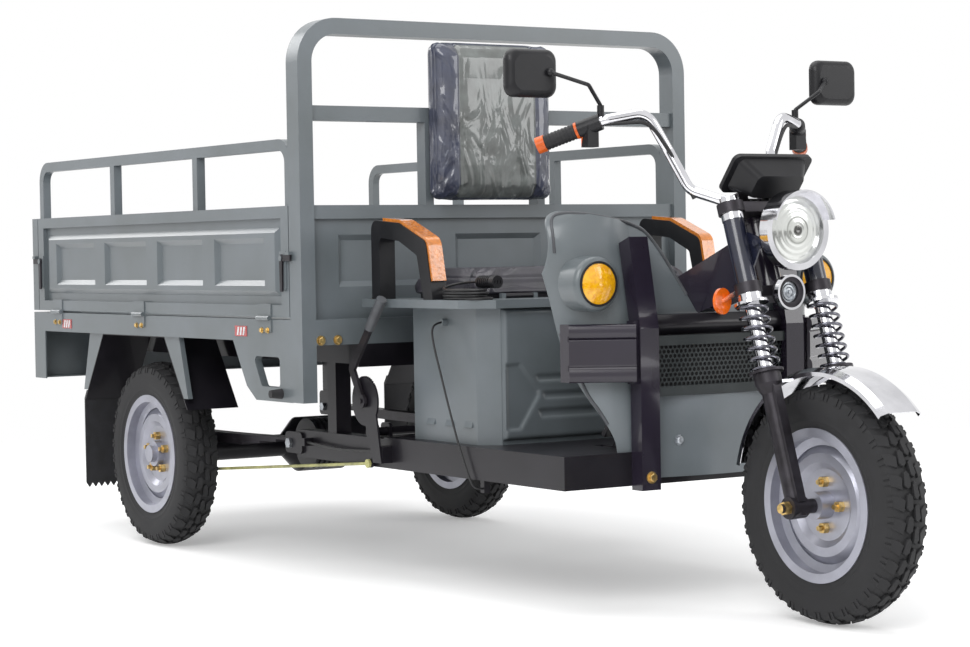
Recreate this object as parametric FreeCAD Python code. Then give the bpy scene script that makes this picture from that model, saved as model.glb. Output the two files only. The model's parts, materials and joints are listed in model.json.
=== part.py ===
import FreeCAD, Part
import math
import os

V = FreeCAD.Vector

# All lengths are in millimetres. +X is forward, +Y is the vehicle's left, +Z is up.
# The origin lies on the ground in the middle of the length. A setback is a distance behind the front axle.

# Overall layout
wheelbase = 2280.0
rear_track = 1000.0
tyre_radius = 260.0
bed_width = 1200.0
bed_length = 1645.0
hoop_front_setback = 1266.0
hoop_depth = 60.0
tail_lamp_depth = 18.0

# Clearances shared by all pieces
running_gap = 0.3
panel_gap = 4.0
overrun = 6.0

# Tyre and tread
tyre_width = 104.0
tyre_bead_radius = 152.0
tyre_bead_half_width = 43.0
tyre_shoulder_drop = 14.0
tyre_shoulder_half_width = 46.0
tread_groove_count = 24
tread_groove_width = 11.0
tread_groove_depth = 8.0
tread_groove_skew_deg = 18.0
tread_centre_rib = 12.0

# Pressed steel wheel
rim_flange_radius = 167.5
rim_flange_width = 5.0
rim_well_radius = 134.0
rim_well_half_width = 14.0
rim_seat_start = 20.0
rim_sheet = 5.0
disc_sheet = 4.0
disc_root_offset = 10.0
disc_crown_offset = 26.0
disc_crown_radius = 112.0
disc_step_radius = 92.0
disc_flat_radius = 78.0
disc_flat_offset = 15.0
nut_circle_radius = 50.0
nut_across = 21.0
nut_height = 14.0
stud_radius = 5.5
stud_reach = 10.0
front_nut_count = 4
rear_nut_count = 5

# Front hub
axle_radius = 10.0
hub_radius = 30.0
hub_right_reach = 52.0
hub_left_reach = 42.0
hub_bore_radius = 14.0
hub_flange_radius = 66.0
hub_flange_width = 8.0
drum_radius = 78.0
drum_wall = 8.0
drum_depth = 34.0
bearing_radius = 21.0
bearing_width = 12.0
brake_plate_thickness = 6.0

# Rear hub, drum and half shaft
half_shaft_radius = 17.0
rear_hub_radius = 36.0
rear_hub_reach = 34.0
rear_cap_radius = 24.0
rear_cap_reach = 14.0
rear_drum_radius = 92.0
rear_drum_depth = 46.0
rear_drum_offset = 16.0
shaft_length = 190.0

# Telescopic fork, measured along its legs from the front axle
rake_deg = 17.8
leg_half_spacing = 100.0
fork_offset = 45.0
leg_radius = 20.0
leg_foot = 22.0
leg_bore_bottom = 120.0
leg_taper_start = 252.0
collar_start = 274.0
collar_radius = 30.0
collar_height = 24.0
spring_seat_radius = 38.0
spring_seat_height = 6.0
spring_space = 150.0
spring_wire_radius = 3.6
spring_coil_radius = 31.0
spring_turns = 6.5
stanchion_radius = 17.0
stanchion_foot = 190.0
lower_ring_height = 18.0
lower_ring_radius = 27.0
clamp_height = 24.0
cover_length = 146.0
cover_radius = 23.5
upper_ring_height = 16.0
upper_ring_radius = 25.0
cap_height = 12.0
cap_radius = 21.0
leg_fin_width = 22.0
leg_fin_thickness = 6.0
leg_fin_start = 8.0
lug_radius = 24.0
lug_outer = 122.0
lug_inner = 80.0
axle_nut_across = 26.0
axle_nut_height = 14.0
axle_tip = 8.0
spacer_radius = 16.0

# Fork crowns and steering head
clamp_eye_radius = 30.0
clamp_front_reach = 16.0
lower_clamp_front_reach = -14.0
clamp_rear_reach = 72.0
clamp_rear_half_width = 30.0
clamp_leg_rear_reach = 22.0
stem_radius = 14.0
head_tube_radius = 30.0
head_cup_radius = 35.0
head_cup_height = 12.0
head_end_gap = 0.5
bar_clamp_half_spacing = 34.0
bar_clamp_width = 26.0
bar_clamp_length = 38.0
bar_clamp_height = 36.0

# Handlebar, one half from the clamp to the bar end
bar_radius = 12.0
bar_height_on_clamp = 20.0
bar_straight_half = 70.0
bar_low_bend = V(-326.0, -120.0, 948.0)
bar_riser = V(-366.0, -150.0, 1040.0)
bar_top_bend = V(-384.0, -195.0, 1124.0)
bar_grip_root = V(-425.0, -280.0, 1108.0)
bar_end = V(-539.0, -386.0, 1054.0)
bar_bend_radius = 42.0

# Hand controls along the bar ends, measured outwards from the grip root
housing_start = 10.0
housing_length = 54.0
housing_radius = 19.0
housing_block_width = 30.0
housing_block_length = 26.0
housing_block_drop = 48.0
grip_gap = 0.5
grip_ring_length = 6.0
grip_ring_radius = 19.0
grip_radius = 16.5
grip_rib_count = 9
grip_rib_height = 1.2
grip_end_length = 20.0

# Mirrors
mirror_stem_radius = 4.5
mirror_boss_radius = 8.0
mirror_boss_height = 14.0
mirror_stem_foot = V(-436.0, -284.0, 1127.0)
mirror_stem_bend = V(-408.0, -336.0, 1184.0)
mirror_ball = V(-462.0, -402.0, 1214.0)
mirror_ball_radius = 9.0
mirror_head_offset = V(-16.0, -40.0, -2.0)
mirror_width = 132.0
mirror_height = 106.0
mirror_depth = 26.0
mirror_corner = 24.0
mirror_back_inset = 14.0
mirror_glass = 3.0
mirror_glass_inset = 5.0

# Headlight, horn, reflectors and instrument cluster
lamp_height = 854.0
lamp_face_setback = 98.0
lamp_radius = 88.0
lamp_rim_width = 14.0
lamp_rim_depth = 26.0
lamp_visor_reach = 26.0
lamp_visor_thickness = 4.0
lamp_visor_deg = 150.0
lamp_lens_dome = 12.0
bucket_depth = 58.0
bucket_radius = 80.0
bucket_mid_share = 0.3
bucket_rear_radius = 34.0
ear_thickness = 4.0
ear_inner = 81.0
ear_boss_radius = 11.0
ear_boss_setback = 138.0
ear_boss_height = 828.0
ear_bolt_radius = 8.0
ear_bolt_height = 6.0
horn_clearance = 9.0
horn_face_setback = 122.0
horn_radius = 39.0
horn_depth = 26.0
horn_rim = 5.0
horn_mouth_radius = 24.0
horn_mouth_depth = 12.0
horn_stud_radius = 7.0
reflector_half_height = 29.0
reflector_half_width = 22.5
reflector_depth = 9.0
reflector_height = 701.0
reflector_half_spacing = 141.0
reflector_setback = 186.0
reflector_arm_radius = 5.0
cluster_top_setback = 178.0
cluster_top_height = 1024.0
cluster_tilt_deg = 51.0
cluster_width = 222.0
cluster_length = 100.0
cluster_lip = 10.0
cluster_body_depth = 46.0
cluster_body_share = 0.86
cluster_base_share = 0.6
cluster_window_inset = 12.0
cluster_window_depth = 3.0
cluster_strut_radius = 9.0
cluster_strut_front = 6.0

# Front mudguard
fender_radius = 288.0
fender_centre_forward = 20.0
fender_centre_up = 10.0
fender_half_width = 57.0
fender_crown_half_width = 40.0
fender_crown_height = 9.0
fender_sheet = 2.0
fender_front_deg = 44.0
fender_rear_deg = 167.0
fender_lip = 9.0
fender_bracket_width = 28.0
fender_bracket_thickness = 6.0
fender_bracket_reach = 20.0

# Floor, side beams and steering neck
floor_top = 358.0
floor_beam_height = 72.0
floor_beam_width = 46.0
floor_half_width = 423.0
floor_front_setback = 400.0
floor_rear_setback = 1625.0
floor_sheet = 4.0
floor_plate_rear_setback = 1180.0
neck_half_width = 26.0
neck_knee_setback = 540.0
neck_knee_height = 735.0
neck_post_rear_setback = 560.0
neck_post_depth = 60.0
neck_under_setback = 470.0
neck_under_drop = 81.0
neck_top_height = 852.0
neck_bottom_height = 736.0

# Chassis under the bed
rail_inner = 375.0
rail_width = 50.0
rail_depth = 59.0
chassis_post_setback = 1420.0
chassis_post_depth = 44.0
chassis_post_width = 44.0
front_cross_depth = 50.0
front_cross_height = 58.0
front_cross_half_width = 440.0
rear_hanger_setback = 2880.0
rear_hanger_depth = 40.0
cross_tube_width = 40.0
cross_tube_setbacks = (1700.0, 2560.0)

# Leaf springs and rear axle
leaf_width = 44.0
leaf_thickness = 7.0
leaf_count = 4
leaf_step = 96.0
leaf_eye_room = 339.0
leaf_eye_radius = 13.0
leaf_eye_bolt_radius = 8.0
leaf_arch = 10.0
leaf_pad = 4.0
hanger_cheek = 7.0
hanger_reach = 26.0
axle_tube_radius = 32.0
axle_tube_bore = 21.0
axle_bearing_width = 14.0
rear_brake_plate_radius = 92.0
rear_brake_plate_thickness = 6.0
diff_radius = 80.0
diff_half_width = 70.0
diff_cone = 50.0
motor_radius = 72.0
motor_length = 190.0
motor_forward = 150.0
motor_rise = 14.0
motor_fin_count = 6
motor_fin_depth = 5.0
ubolt_radius = 4.0
ubolt_nut = 8.0

# Bed frame and floor
bed_beam_bottom = 599.0
bed_beam_height = 57.0
bed_beam_width = 40.0
bed_floor_sheet = 3.0
bed_cross_width = 40.0
bed_cross_count = 5
front_beam_depth = 40.0

# Headboard hoop
hoop_top = 1404.0
hoop_leg_bottom = 450.0
hoop_tube = 40.0
hoop_corner_radius = 110.0
hoop_bar_depth = 40.0
mid_bar_top = 1187.0
mid_bar_height = 37.0
low_bar_top = 940.0
low_bar_height = 34.0
backrest_centre_y = -45.0
backrest_bar_half_spacing = 172.0
backrest_bar_width = 24.0
head_panel_sheet = 4.0
head_panel_field = 12.0
head_panel_recesses = 3
head_panel_margin = 40.0
head_panel_web = 80.0
press_bevel = 14.0

# Drop sides and tailgate
panel_seam = 6.0
panel_height = 278.0
panel_thickness = 40.0
panel_rail = 30.0
panel_post = 40.0
panel_sheet = 4.0
panel_recess = 12.0
panel_field_height = 10.0
panel_field_margin = 22.0
panel_pocket_count = 4
panel_pocket_margin = 26.0
panel_pocket_web = 70.0
side_rail_height = 168.0
side_rail_tube = 28.0
side_rail_depth = 24.0
side_rail_radius = 60.0

# Hinges of the drop sides and the tailgate
hinge_offset = 7.0
hinge_barrel_radius = 6.0
hinge_pin_radius = 3.0
hinge_length = 66.0
hinge_middle = 24.0
hinge_leaf = 3.0
hinge_leaf_height = 36.0
hinge_bore_gap = 0.05
side_hinge_shares = (0.09, 0.45, 0.92)
gate_hinge_shares = (0.1, 0.5, 0.9)

# Lever latches
latch_plate = 4.0
latch_width = 34.0
latch_plate_height = 96.0
latch_pivot_radius = 5.0
latch_lever_thickness = 5.0
latch_lever_width = 15.0
latch_lever_length = 84.0
latch_nose_length = 22.0
latch_pivot_drop = 130.0
latch_inset = 26.0
keeper_width = 16.0
keeper_thickness = 8.0

# Gussets, braces and rear mudguards
gusset_length = 315.0
gusset_depth = 150.0
gusset_foot = 190.0
gusset_knee = 34.0
gusset_thickness = 20.0
gusset_window_top = 38.0
gusset_window_bottom = 36.0
gusset_window_front = 60.0
gusset_window_back_top = 112.0
gusset_window_back_bottom = 32.0
gusset_window_radius = 12.0
guard_half_top = 205.0
guard_half_bottom = 342.0
guard_bottom = 402.0
guard_sheet = 3.0
guard_inner = 436.0
brace_thickness = 14.0
brace_top_width = 92.0
brace_foot_width = 26.0
flap_bottom = 142.0
flap_thickness = 6.0
flap_tooth_count = 8
flap_tooth_height = 14.0
flap_clip = 30.0
bump_stop_radius = 13.0
bump_stop_length = 32.0
bump_stop_setback = 1380.0
bump_stop_height = 470.0

# Tail board and tail lamps
tail_board_bottom = 455.0
tail_board_return = 82.0
tail_board_sheet = 4.0
tail_lamp_width = 190.0
tail_lamp_height = 84.0
tail_lamp_centre_y = 430.0
tail_lamp_corner = 18.0
tail_lamp_rise = 22.0

# Seat box, plate, battery and controller
seat_box_half_width = 385.0
seat_box_rear_setback = 1092.0
seat_box_front_setback = 767.0
seat_box_bevel = 42.0
seat_box_sheet = 3.0
seat_plate_top = 705.0
seat_plate_thickness = 20.0
seat_plate_half_width = 440.0
seat_plate_front_setback = 735.0
seat_plate_rear_setback = 1246.0
seat_plate_bevel = 64.0
seat_hatch_margin = 70.0
seat_emboss = 5.0
louvre_count = 3
louvre_width = 34.0
louvre_height = 14.0
louvre_depth = 5.0
louvre_pitch = 84.0
louvre_rise = 40.0
battery_count = 5
battery_length = 210.0
battery_width = 130.0
battery_height = 200.0
battery_gap = 12.0
battery_terminal_radius = 9.0
battery_terminal_height = 12.0
controller_depth = 52.0
controller_width = 220.0
controller_height = 150.0
controller_rise = 70.0
controller_fin_count = 7
controller_fin_width = 6.0
controller_fin_depth = 14.0

# Seat cushion and backrest pad
cushion_rear_setback = 1212.0
cushion_front_setback = 872.0
cushion_half_width = 338.0
cushion_height = 66.0
cushion_corner = 46.0
cushion_pan = 10.0
cushion_draw_in = 9.0
cushion_crown_inset = 46.0
cushion_hinge_radius = 6.0
cushion_hinge_length = 80.0
cushion_hinge_half_spacing = 220.0
pad_half_width = 186.0
pad_bottom = 944.0
pad_height = 416.0
pad_thickness = 62.0
pad_corner = 26.0
pad_board = 12.0
pad_draw_in = 7.0

# Armrests with marker lenses
armrest_outer = 436.0
armrest_width = 44.0
armrest_rear_setback = 1202.0
armrest_front_setback = 918.0
armrest_height = 196.0
armrest_leg = 40.0
armrest_top_drop = 10.0
armrest_nose_drop = 56.0
armrest_nose_setback = 948.0
armrest_bend_setback = 1070.0
armrest_bar = 44.0
armrest_radius = 24.0
lens_thickness = 8.0
lens_width_share = 0.86
lens_front_foot = 44.0
lens_rear_setback = 1150.0

# Front shield
shield_sheet = 4.0
shield_top = 908.0
shield_heights_share = (0.0, 0.115, 0.235, 0.435, 0.665, 1.0)
shield_front_setbacks = (405.0, 406.0, 408.0, 412.0, 426.0, 466.0)
shield_front_half_widths = (200.0, 200.0, 200.0, 200.0, 200.0, 194.0)
shield_end_setbacks = (414.0, 428.0, 456.0, 505.0, 526.0, 546.0)
shield_end_half_widths = (268.0, 286.0, 322.0, 352.0, 375.0, 382.0)
shield_bow_back_share = 0.28
shield_bow_side_share = 0.7
shield_notch_half_width = 31.0
shield_notch_bottom = 668.0
shield_lobe_inner = 150.0
shield_lobe_inner_top = 874.0
shield_lobe_corner = 40.0
pod_height = 742.0
pod_half_spacing = 319.0
pod_front_setback = 404.0
pod_radius = 62.0
pod_lens_radius = 46.0
pod_depth = 70.0
pod_round = 14.0
pod_lens_recess = 6.0
pod_lens_dome = 10.0

# Bumper frame, grille and wings
post_front_setback = 361.0
post_depth = 39.0
post_inner = 186.0
post_width = 52.0
post_bottom = 277.0
post_knee = 640.0
post_top = 846.0
post_lean = 38.0
post_top_slope = 14.0
grille_bar_height = 22.0
grille_bar_depth = 26.0
grille_top = 600.0
grille_bottom = 508.0
grille_sheet = 2.0
grille_hole_across = 10.0
grille_pitch = 22.0
grille_row = 16.0
apron_bottom = 300.0
apron_sheet = 4.0
grille_cover_top = 670.0
wing_bottom = 522.0
wing_height = 130.0
wing_depth = 34.0
wing_length = 150.0
wing_sweep_deg = 34.0
wing_groove = 5.0
wing_groove_share = 0.1
wing_flange = 6.0
wing_flange_depth = 26.0

# Handbrake
handbrake_y = -462.0
handbrake_pivot_setback = 1216.0
handbrake_pivot_height = 452.0
handbrake_bend_setback = 1262.0
handbrake_bend_height = 530.0
handbrake_top_setback = 1112.0
handbrake_top_height = 706.0
handbrake_bar_width = 22.0
handbrake_bar_thickness = 8.0
handbrake_grip_radius = 13.0
handbrake_grip_length = 96.0
handbrake_pin_radius = 6.0
quadrant_radius = 62.0
quadrant_thickness = 5.0
quadrant_teeth = 11
quadrant_tooth = 4.0
quadrant_arm_width = 40.0

# Foot brake
pedal_pivot_setback = 560.0
pedal_pivot_height = 330.0
pedal_y = -180.0
pedal_arm_width = 20.0
pedal_arm_thickness = 10.0
pedal_reach = 130.0
pedal_pad_width = 84.0
pedal_pad_length = 64.0
pedal_pad_thickness = 12.0
pedal_angle_deg = 52.0
pedal_slot_width = 26.0
pedal_slot_length = 120.0
pedal_slot_front_share = 0.6
pedal_ear_thickness = 6.0
pedal_ear_half_length = 16.0
pedal_pin_radius = 7.0
pedal_boss_radius = 13.0
pedal_tail = 60.0
brake_shaft_setback = 1236.0
brake_shaft_height = 372.0
brake_shaft_radius = 11.0
brake_shaft_outer = 432.0
brake_shaft_inner = 300.0
brake_arm_length = 78.0
brake_arm_width = 22.0
brake_arm_thickness = 7.0
brake_hole_radius = 4.0
brake_rod_radius = 4.0
brake_rod_rear_setback = 2196.0
brake_rod_rear_height = 214.0
brake_bracket = 8.0

# Cords: the charging lead lies coiled on the seat plate, a thin lead hangs beside the seat box
lead_radius = 3.0
lead_coil_half_length = 75.0
lead_coil_half_width = 38.0
lead_coil_step = 7.0
lead_layer = 6.6
lead_layers = 4
lead_turns_per_layer = 2
lead_coil_centre_setback = 836.0
lead_coil_centre_y = -396.0
lead_tail = 8.0
lead_gland_length = 24.0
lead_gland_width = 12.0
lead_in = 12.0
lead_plug_radius = 15.0
lead_plug_length = 74.0
lead_plug_ribs = 6
lead_plug_rib_depth = 2.0
seat_lead_radius = 2.5
seat_lead_route = (
    V(-940.0, -399.0, 650.0), V(-940.0, -416.0, 648.0), V(-937.0, -428.0, 634.0), V(-928.0, -432.0, 612.0),
    V(-913.0, -433.0, 576.0), V(-890.0, -434.0, 528.0), V(-866.0, -434.5, 474.0), V(-840.0, -435.5, 420.0),
    V(-816.0, -434.5, 366.0), V(-791.0, -433.0, 318.0), V(-774.0, -433.0, 290.0), V(-767.0, -429.0, 272.0),
    V(-764.0, -416.0, 264.0), V(-763.0, -404.0, 264.0),
)
bend_reach_share = 0.45
wire_sides = 6
cable_radius = 4.0
handbrake_cable_route = (V(-1180.0, -440.0, 330.0), V(-1300.0, -440.0, 322.0), V(-1420.0, -440.0, 322.0),
                         V(-1540.0, -440.0, 330.0))
cable_clip_length = 16.0
cable_clip_half_height = 10.0

# Fasteners
bolt_head_radius = 9.0
bolt_head_height = 6.0

# Places worked out from the sizes above
front_axle_x = (hoop_front_setback + hoop_depth + bed_length + tail_lamp_depth - tyre_radius) / 2
rear_axle_x = front_axle_x - wheelbase
hoop_front_x = front_axle_x - hoop_front_setback
hoop_rear_x = hoop_front_x - hoop_depth
bed_rear_x = hoop_rear_x - bed_length
half_bed = bed_width / 2
bed_top = bed_beam_bottom + bed_beam_height
panel_bottom = bed_top + panel_seam
panel_front_x = hoop_rear_x - panel_gap
panel_rear_x = bed_rear_x + panel_thickness + panel_gap
floor_bottom = floor_top - floor_beam_height
floor_surface = floor_top + floor_sheet
seat_plate_bottom = seat_plate_top - seat_plate_thickness
half_track = rear_track / 2
front_axle = V(front_axle_x, 0, tyre_radius)
rear_axle = V(rear_axle_x, 0, tyre_radius)
beam_inner = floor_half_width - floor_beam_width
beam_centre = floor_half_width - floor_beam_width / 2
whole_turn_deg = 360.0
half_turn_deg = 180.0
AXIS_X = V(1, 0, 0)
AXIS_Y = V(0, 1, 0)
AXIS_Z = V(0, 0, 1)
ORIGIN = V(0, 0, 0)
same_place = 1e-6


def behind(setback):
    """X of a point a given distance behind the front axle."""
    return front_axle_x - setback


def from_axle(point):
    """A point given from the front axle's X, moved into the vehicle's frame."""
    return V(front_axle_x + point.x, point.y, point.z)


def block(x0, x1, y0, y1, z0, z1):
    return Part.makeBox(x1 - x0, y1 - y0, z1 - z0, V(x0, y0, z0))


def rod(start, end, radius):
    return Part.makeCylinder(radius, (end - start).Length, start, end - start)


def ring(start, end, radius, bore):
    run = (end - start).normalize() * overrun
    return rod(start, end, radius).cut(rod(start - run, end + run, bore))


def mirrored(shape):
    return shape.mirror(ORIGIN, AXIS_Y)


def pair(shape):
    return [shape, mirrored(shape)]


def joined(shapes):
    result = shapes[0]
    for shape in shapes[1:]:
        result = result.fuse(shape)
    return result.removeSplitter()


def solids_of(shapes):
    return [solid for shape in shapes for solid in shape.Solids]


def rounded(points, radii, closed):
    """A wire through the points with a tangent arc of the given radius at each corner."""
    count = len(points)
    if not isinstance(radii, (list, tuple)):
        radii = [radii] * count
    arrivals, departures, middles = [], [], []
    for index, point in enumerate(points):
        is_end = not closed and index in (0, count - 1)
        if is_end or radii[index] == 0:
            arrivals.append(point)
            departures.append(point)
            middles.append(None)
            continue
        before = (points[index - 1] - point).normalize()
        after = (points[(index + 1) % count] - point).normalize()
        half = before.getAngle(after) / 2
        reach = radii[index] / math.tan(half)
        inward = (before + after).normalize()
        arrivals.append(point + before * reach)
        departures.append(point + after * reach)
        middles.append(point + inward * (radii[index] / math.sin(half) - radii[index]))
    edges = []
    for index in range(count):
        if middles[index] is not None:
            edges.append(Part.Arc(arrivals[index], middles[index], departures[index]).toShape())
        follower = (index + 1) % count
        last = not closed and index == count - 1
        if not last and not departures[index].isEqual(arrivals[follower], same_place):
            edges.append(Part.makeLine(departures[index], arrivals[follower]))
    return Part.Wire(edges)


def along_y(points, y0, y1, radii=0):
    """A prism between two Y values on an outline of (x, z) points."""
    wire = rounded([V(x, y0, z) for x, z in points], radii, True)
    return Part.Face(wire).extrude(V(0, y1 - y0, 0))


def along_x(points, x0, x1, radii=0):
    """A prism between two X values on an outline of (y, z) points."""
    wire = rounded([V(x0, y, z) for y, z in points], radii, True)
    return Part.Face(wire).extrude(V(x1 - x0, 0, 0))


def along_z(points, z0, z1, radii=0):
    """A prism between two Z values on an outline of (x, y) points."""
    wire = rounded([V(x, y, z0) for x, y in points], radii, True)
    return Part.Face(wire).extrude(V(0, 0, z1 - z0))


def rectangle(a0, a1, b0, b1):
    return [(a0, b0), (a1, b0), (a1, b1), (a0, b1)]


def turned_y(profile, centre=ORIGIN):
    """A solid of revolution about a Y axis from (radius, y) points."""
    wire = Part.makePolygon([V(r, y, 0) for r, y in profile] + [V(profile[0][0], profile[0][1], 0)])
    solid = Part.Face(wire).revolve(ORIGIN, AXIS_Y, whole_turn_deg)
    solid.translate(centre)
    return solid


def turned_x(profile, centre=ORIGIN):
    """A solid of revolution about an X axis from (x, radius) points."""
    wire = Part.makePolygon([V(x, r, 0) for x, r in profile] + [V(profile[0][0], profile[0][1], 0)])
    solid = Part.Face(wire).revolve(ORIGIN, AXIS_X, whole_turn_deg)
    solid.translate(centre)
    return solid


def turned_z(profile, centre=ORIGIN):
    """A solid of revolution about a Z axis from (radius, z) points."""
    wire = Part.makePolygon([V(r, 0, z) for r, z in profile] + [V(profile[0][0], 0, profile[0][1])])
    solid = Part.Face(wire).revolve(ORIGIN, AXIS_Z, whole_turn_deg)
    solid.translate(centre)
    return solid


def swept(wire, radius, sides=0):
    """A bar along a wire of lines and arcs, round or with a number of flat sides."""
    edge = wire.OrderedEdges[0]
    start = edge.valueAt(edge.FirstParameter)
    way = edge.tangentAt(edge.FirstParameter)
    section = Part.Wire([Part.makeCircle(radius, start, way)])
    if sides:
        turn = FreeCAD.Rotation(AXIS_Z, way)
        corners = []
        for index in range(sides + 1):
            angle = 2 * math.pi * index / sides
            corners.append(start + turn.multVec(V(radius * math.cos(angle), radius * math.sin(angle), 0)))
        section = Part.makePolygon(corners)
    return wire.makePipeShell([section], True, False)


def hexagon(across, height, base, direction):
    """A hexagonal prism standing on base along direction."""
    corner = across / math.sqrt(3)
    points = []
    for index in range(6):
        angle = math.radians(index * whole_turn_deg / 6)
        points.append(V(corner * math.cos(angle), corner * math.sin(angle), 0))
    prism = Part.Face(Part.makePolygon(points + points[:1])).extrude(V(0, 0, height))
    prism.Placement = FreeCAD.Placement(base, FreeCAD.Rotation(AXIS_Z, direction))
    return prism


def nut(across, height, tip_radius, tip, base, direction):
    """A nut with its stud's tip standing out of it."""
    way = V(direction).normalize()
    return hexagon(across, height, base, way).fuse(rod(base, base + way * (height + tip), tip_radius))


def biarc(start, start_way, end, end_way):
    """Two tangent arcs that leave start along start_way and reach end along end_way."""
    span = end - start
    both = start_way + end_way
    bend = 1 - start_way.dot(end_way)
    along = span.dot(both)
    reach = (math.sqrt(along * along + 2 * bend * span.dot(span)) - along) / (2 * bend)
    middle = (start + start_way * reach + end - end_way * reach) * 0.5
    edges = []
    for first, last, way in ((start, middle, start_way), (end, middle, end_way * -1)):
        chord = last - first
        unit = V(chord).normalize()
        side = way - unit * way.dot(unit)
        lean = way.getAngle(unit)
        crest = first + chord * 0.5 + side.normalize() * (chord.Length / 2 * math.tan(lean / 2))
        edges.append(Part.Arc(first, crest, last).toShape())
    return edges


def wound(curve, turns, radius, tail=0.0):
    """A round bar wound along curve(turn), as one tube on biarcs of a quarter turn.

    Straight runs as long as tail close its two ends.
    """
    steps = int(round(turns * 4))
    nudge = 1e-4
    places = [curve(turns * index / steps) for index in range(steps + 1)]
    ways = []
    for index in range(steps + 1):
        at = turns * index / steps
        ways.append((curve(at + nudge) - curve(at - nudge)).normalize())
    edges = []
    if tail:
        edges.append(Part.makeLine(places[0] - ways[0] * tail, places[0]))
    for index in range(steps):
        edges += biarc(places[index], ways[index], places[index + 1], ways[index + 1])
    if tail:
        edges.append(Part.makeLine(places[-1], places[-1] + ways[-1] * tail))
    return swept(Part.Wire(edges), radius, wire_sides)


def frustum(x0, x1, z0, z1, y_base, y_top, bevel):
    """A pressed field on a plane of constant Y, narrower by the bevel at its top."""
    base = [V(x, y_base, z) for x, z in rectangle(x0, x1, z0, z1)]
    top = [V(x, y_top, z) for x, z in rectangle(x0 + bevel, x1 - bevel, z0 + bevel, z1 - bevel)]
    wires = [Part.makePolygon(points + points[:1]) for points in (base, top)]
    return Part.makeLoft(wires, True, True)


def soft_block(sections, corner):
    """A loft through rounded rectangles, each given as four corner points in order."""
    wires = [rounded(points, corner, True) for points in sections]
    return Part.makeLoft(wires, True, False)


def tilted(shape):
    """Leans a piece built upright on the front axle back onto the fork's rake."""
    leaned = shape.copy()
    leaned.rotate(ORIGIN, AXIS_Y, -rake_deg)
    leaned.translate(front_axle)
    return leaned


def fork_point(x, y, s):
    """A point of the upright fork frame, in the vehicle's frame."""
    rake = math.radians(rake_deg)
    return front_axle + V(x * math.cos(rake) - s * math.sin(rake), y, s * math.cos(rake) + x * math.sin(rake))


parts = {}


# Tyres and wheels, built about the Y axis with the outer side towards -Y

def tyre():
    shoulder = tyre_radius - tyre_shoulder_drop
    bulge = (rim_flange_radius + shoulder) / 2
    half = tyre_width / 2
    seat, edge = tyre_bead_half_width, tyre_shoulder_half_width
    outline = [
        Part.makeLine(V(tyre_bead_radius, -seat, 0), V(tyre_bead_radius, seat, 0)),
        Part.makeLine(V(tyre_bead_radius, seat, 0), V(rim_flange_radius, seat, 0)),
        Part.Arc(V(rim_flange_radius, seat, 0), V(bulge, half, 0), V(shoulder, edge, 0)).toShape(),
        Part.Arc(V(shoulder, edge, 0), V(tyre_radius, 0, 0), V(shoulder, -edge, 0)).toShape(),
        Part.Arc(V(shoulder, -edge, 0), V(bulge, -half, 0), V(rim_flange_radius, -seat, 0)).toShape(),
        Part.makeLine(V(rim_flange_radius, -seat, 0), V(tyre_bead_radius, -seat, 0)),
    ]
    carcass = Part.Face(Part.Wire(outline)).revolve(ORIGIN, AXIS_Y, whole_turn_deg)
    groove = block(-tread_groove_width / 2, tread_groove_width / 2, tread_centre_rib / 2,
                   half + overrun, -tread_groove_depth, overrun + tyre_shoulder_drop)
    groove.rotate(ORIGIN, AXIS_X, -math.degrees(math.atan2(tyre_shoulder_drop, edge)))
    groove.rotate(ORIGIN, AXIS_Z, tread_groove_skew_deg)
    pitch = whole_turn_deg / tread_groove_count
    grooves = []
    for index in range(tread_groove_count):
        for turn, offset in ((0, 0), (half_turn_deg, pitch / 2)):
            cutter = groove.copy()
            cutter.rotate(ORIGIN, AXIS_Z, turn)
            cutter.translate(V(0, 0, tyre_radius))
            cutter.rotate(ORIGIN, AXIS_Y, index * pitch + offset)
            grooves.append(cutter)
    return carcass.cut(Part.Compound(grooves))


def pressed_wheel(hole_radius):
    flange_outer = tyre_bead_half_width + rim_flange_width
    inner_seat = tyre_bead_radius - rim_sheet
    inner_well = rim_well_radius - rim_sheet
    inner_well_half = rim_well_half_width + rim_sheet / 2
    inner_seat_start = rim_seat_start + rim_sheet / 2
    right_half = [
        (rim_flange_radius, flange_outer),
        (rim_flange_radius, tyre_bead_half_width),
        (tyre_bead_radius, tyre_bead_half_width),
        (tyre_bead_radius, rim_seat_start),
        (rim_well_radius, rim_well_half_width),
    ]
    inner_half = [
        (inner_well, inner_well_half),
        (inner_seat, inner_seat_start),
        (inner_seat, flange_outer),
    ]
    profile = right_half + [(r, -y) for r, y in reversed(right_half)]
    profile += [(r, -y) for r, y in reversed(inner_half)] + inner_half
    rim = turned_y(profile)
    face = [
        (rim_well_radius - rim_sheet / 2, -disc_root_offset),
        (disc_crown_radius, -disc_crown_offset),
        (disc_step_radius, -disc_crown_offset),
        (disc_flat_radius, -disc_flat_offset),
        (hole_radius, -disc_flat_offset),
    ]
    disc = turned_y(face + [(r, y + disc_sheet) for r, y in reversed(face)])
    return joined([rim, disc])


def wheel_nuts(count):
    nuts = []
    for index in range(count):
        angle = math.radians(index * whole_turn_deg / count)
        base = V(nut_circle_radius * math.sin(angle), -disc_flat_offset, nut_circle_radius * math.cos(angle))
        nuts.append(nut(nut_across, nut_height, stud_radius, stud_reach, base, V(0, -1, 0)))
    return nuts


flange_face = disc_sheet - disc_flat_offset
flange_back = flange_face + hub_flange_width


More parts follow.
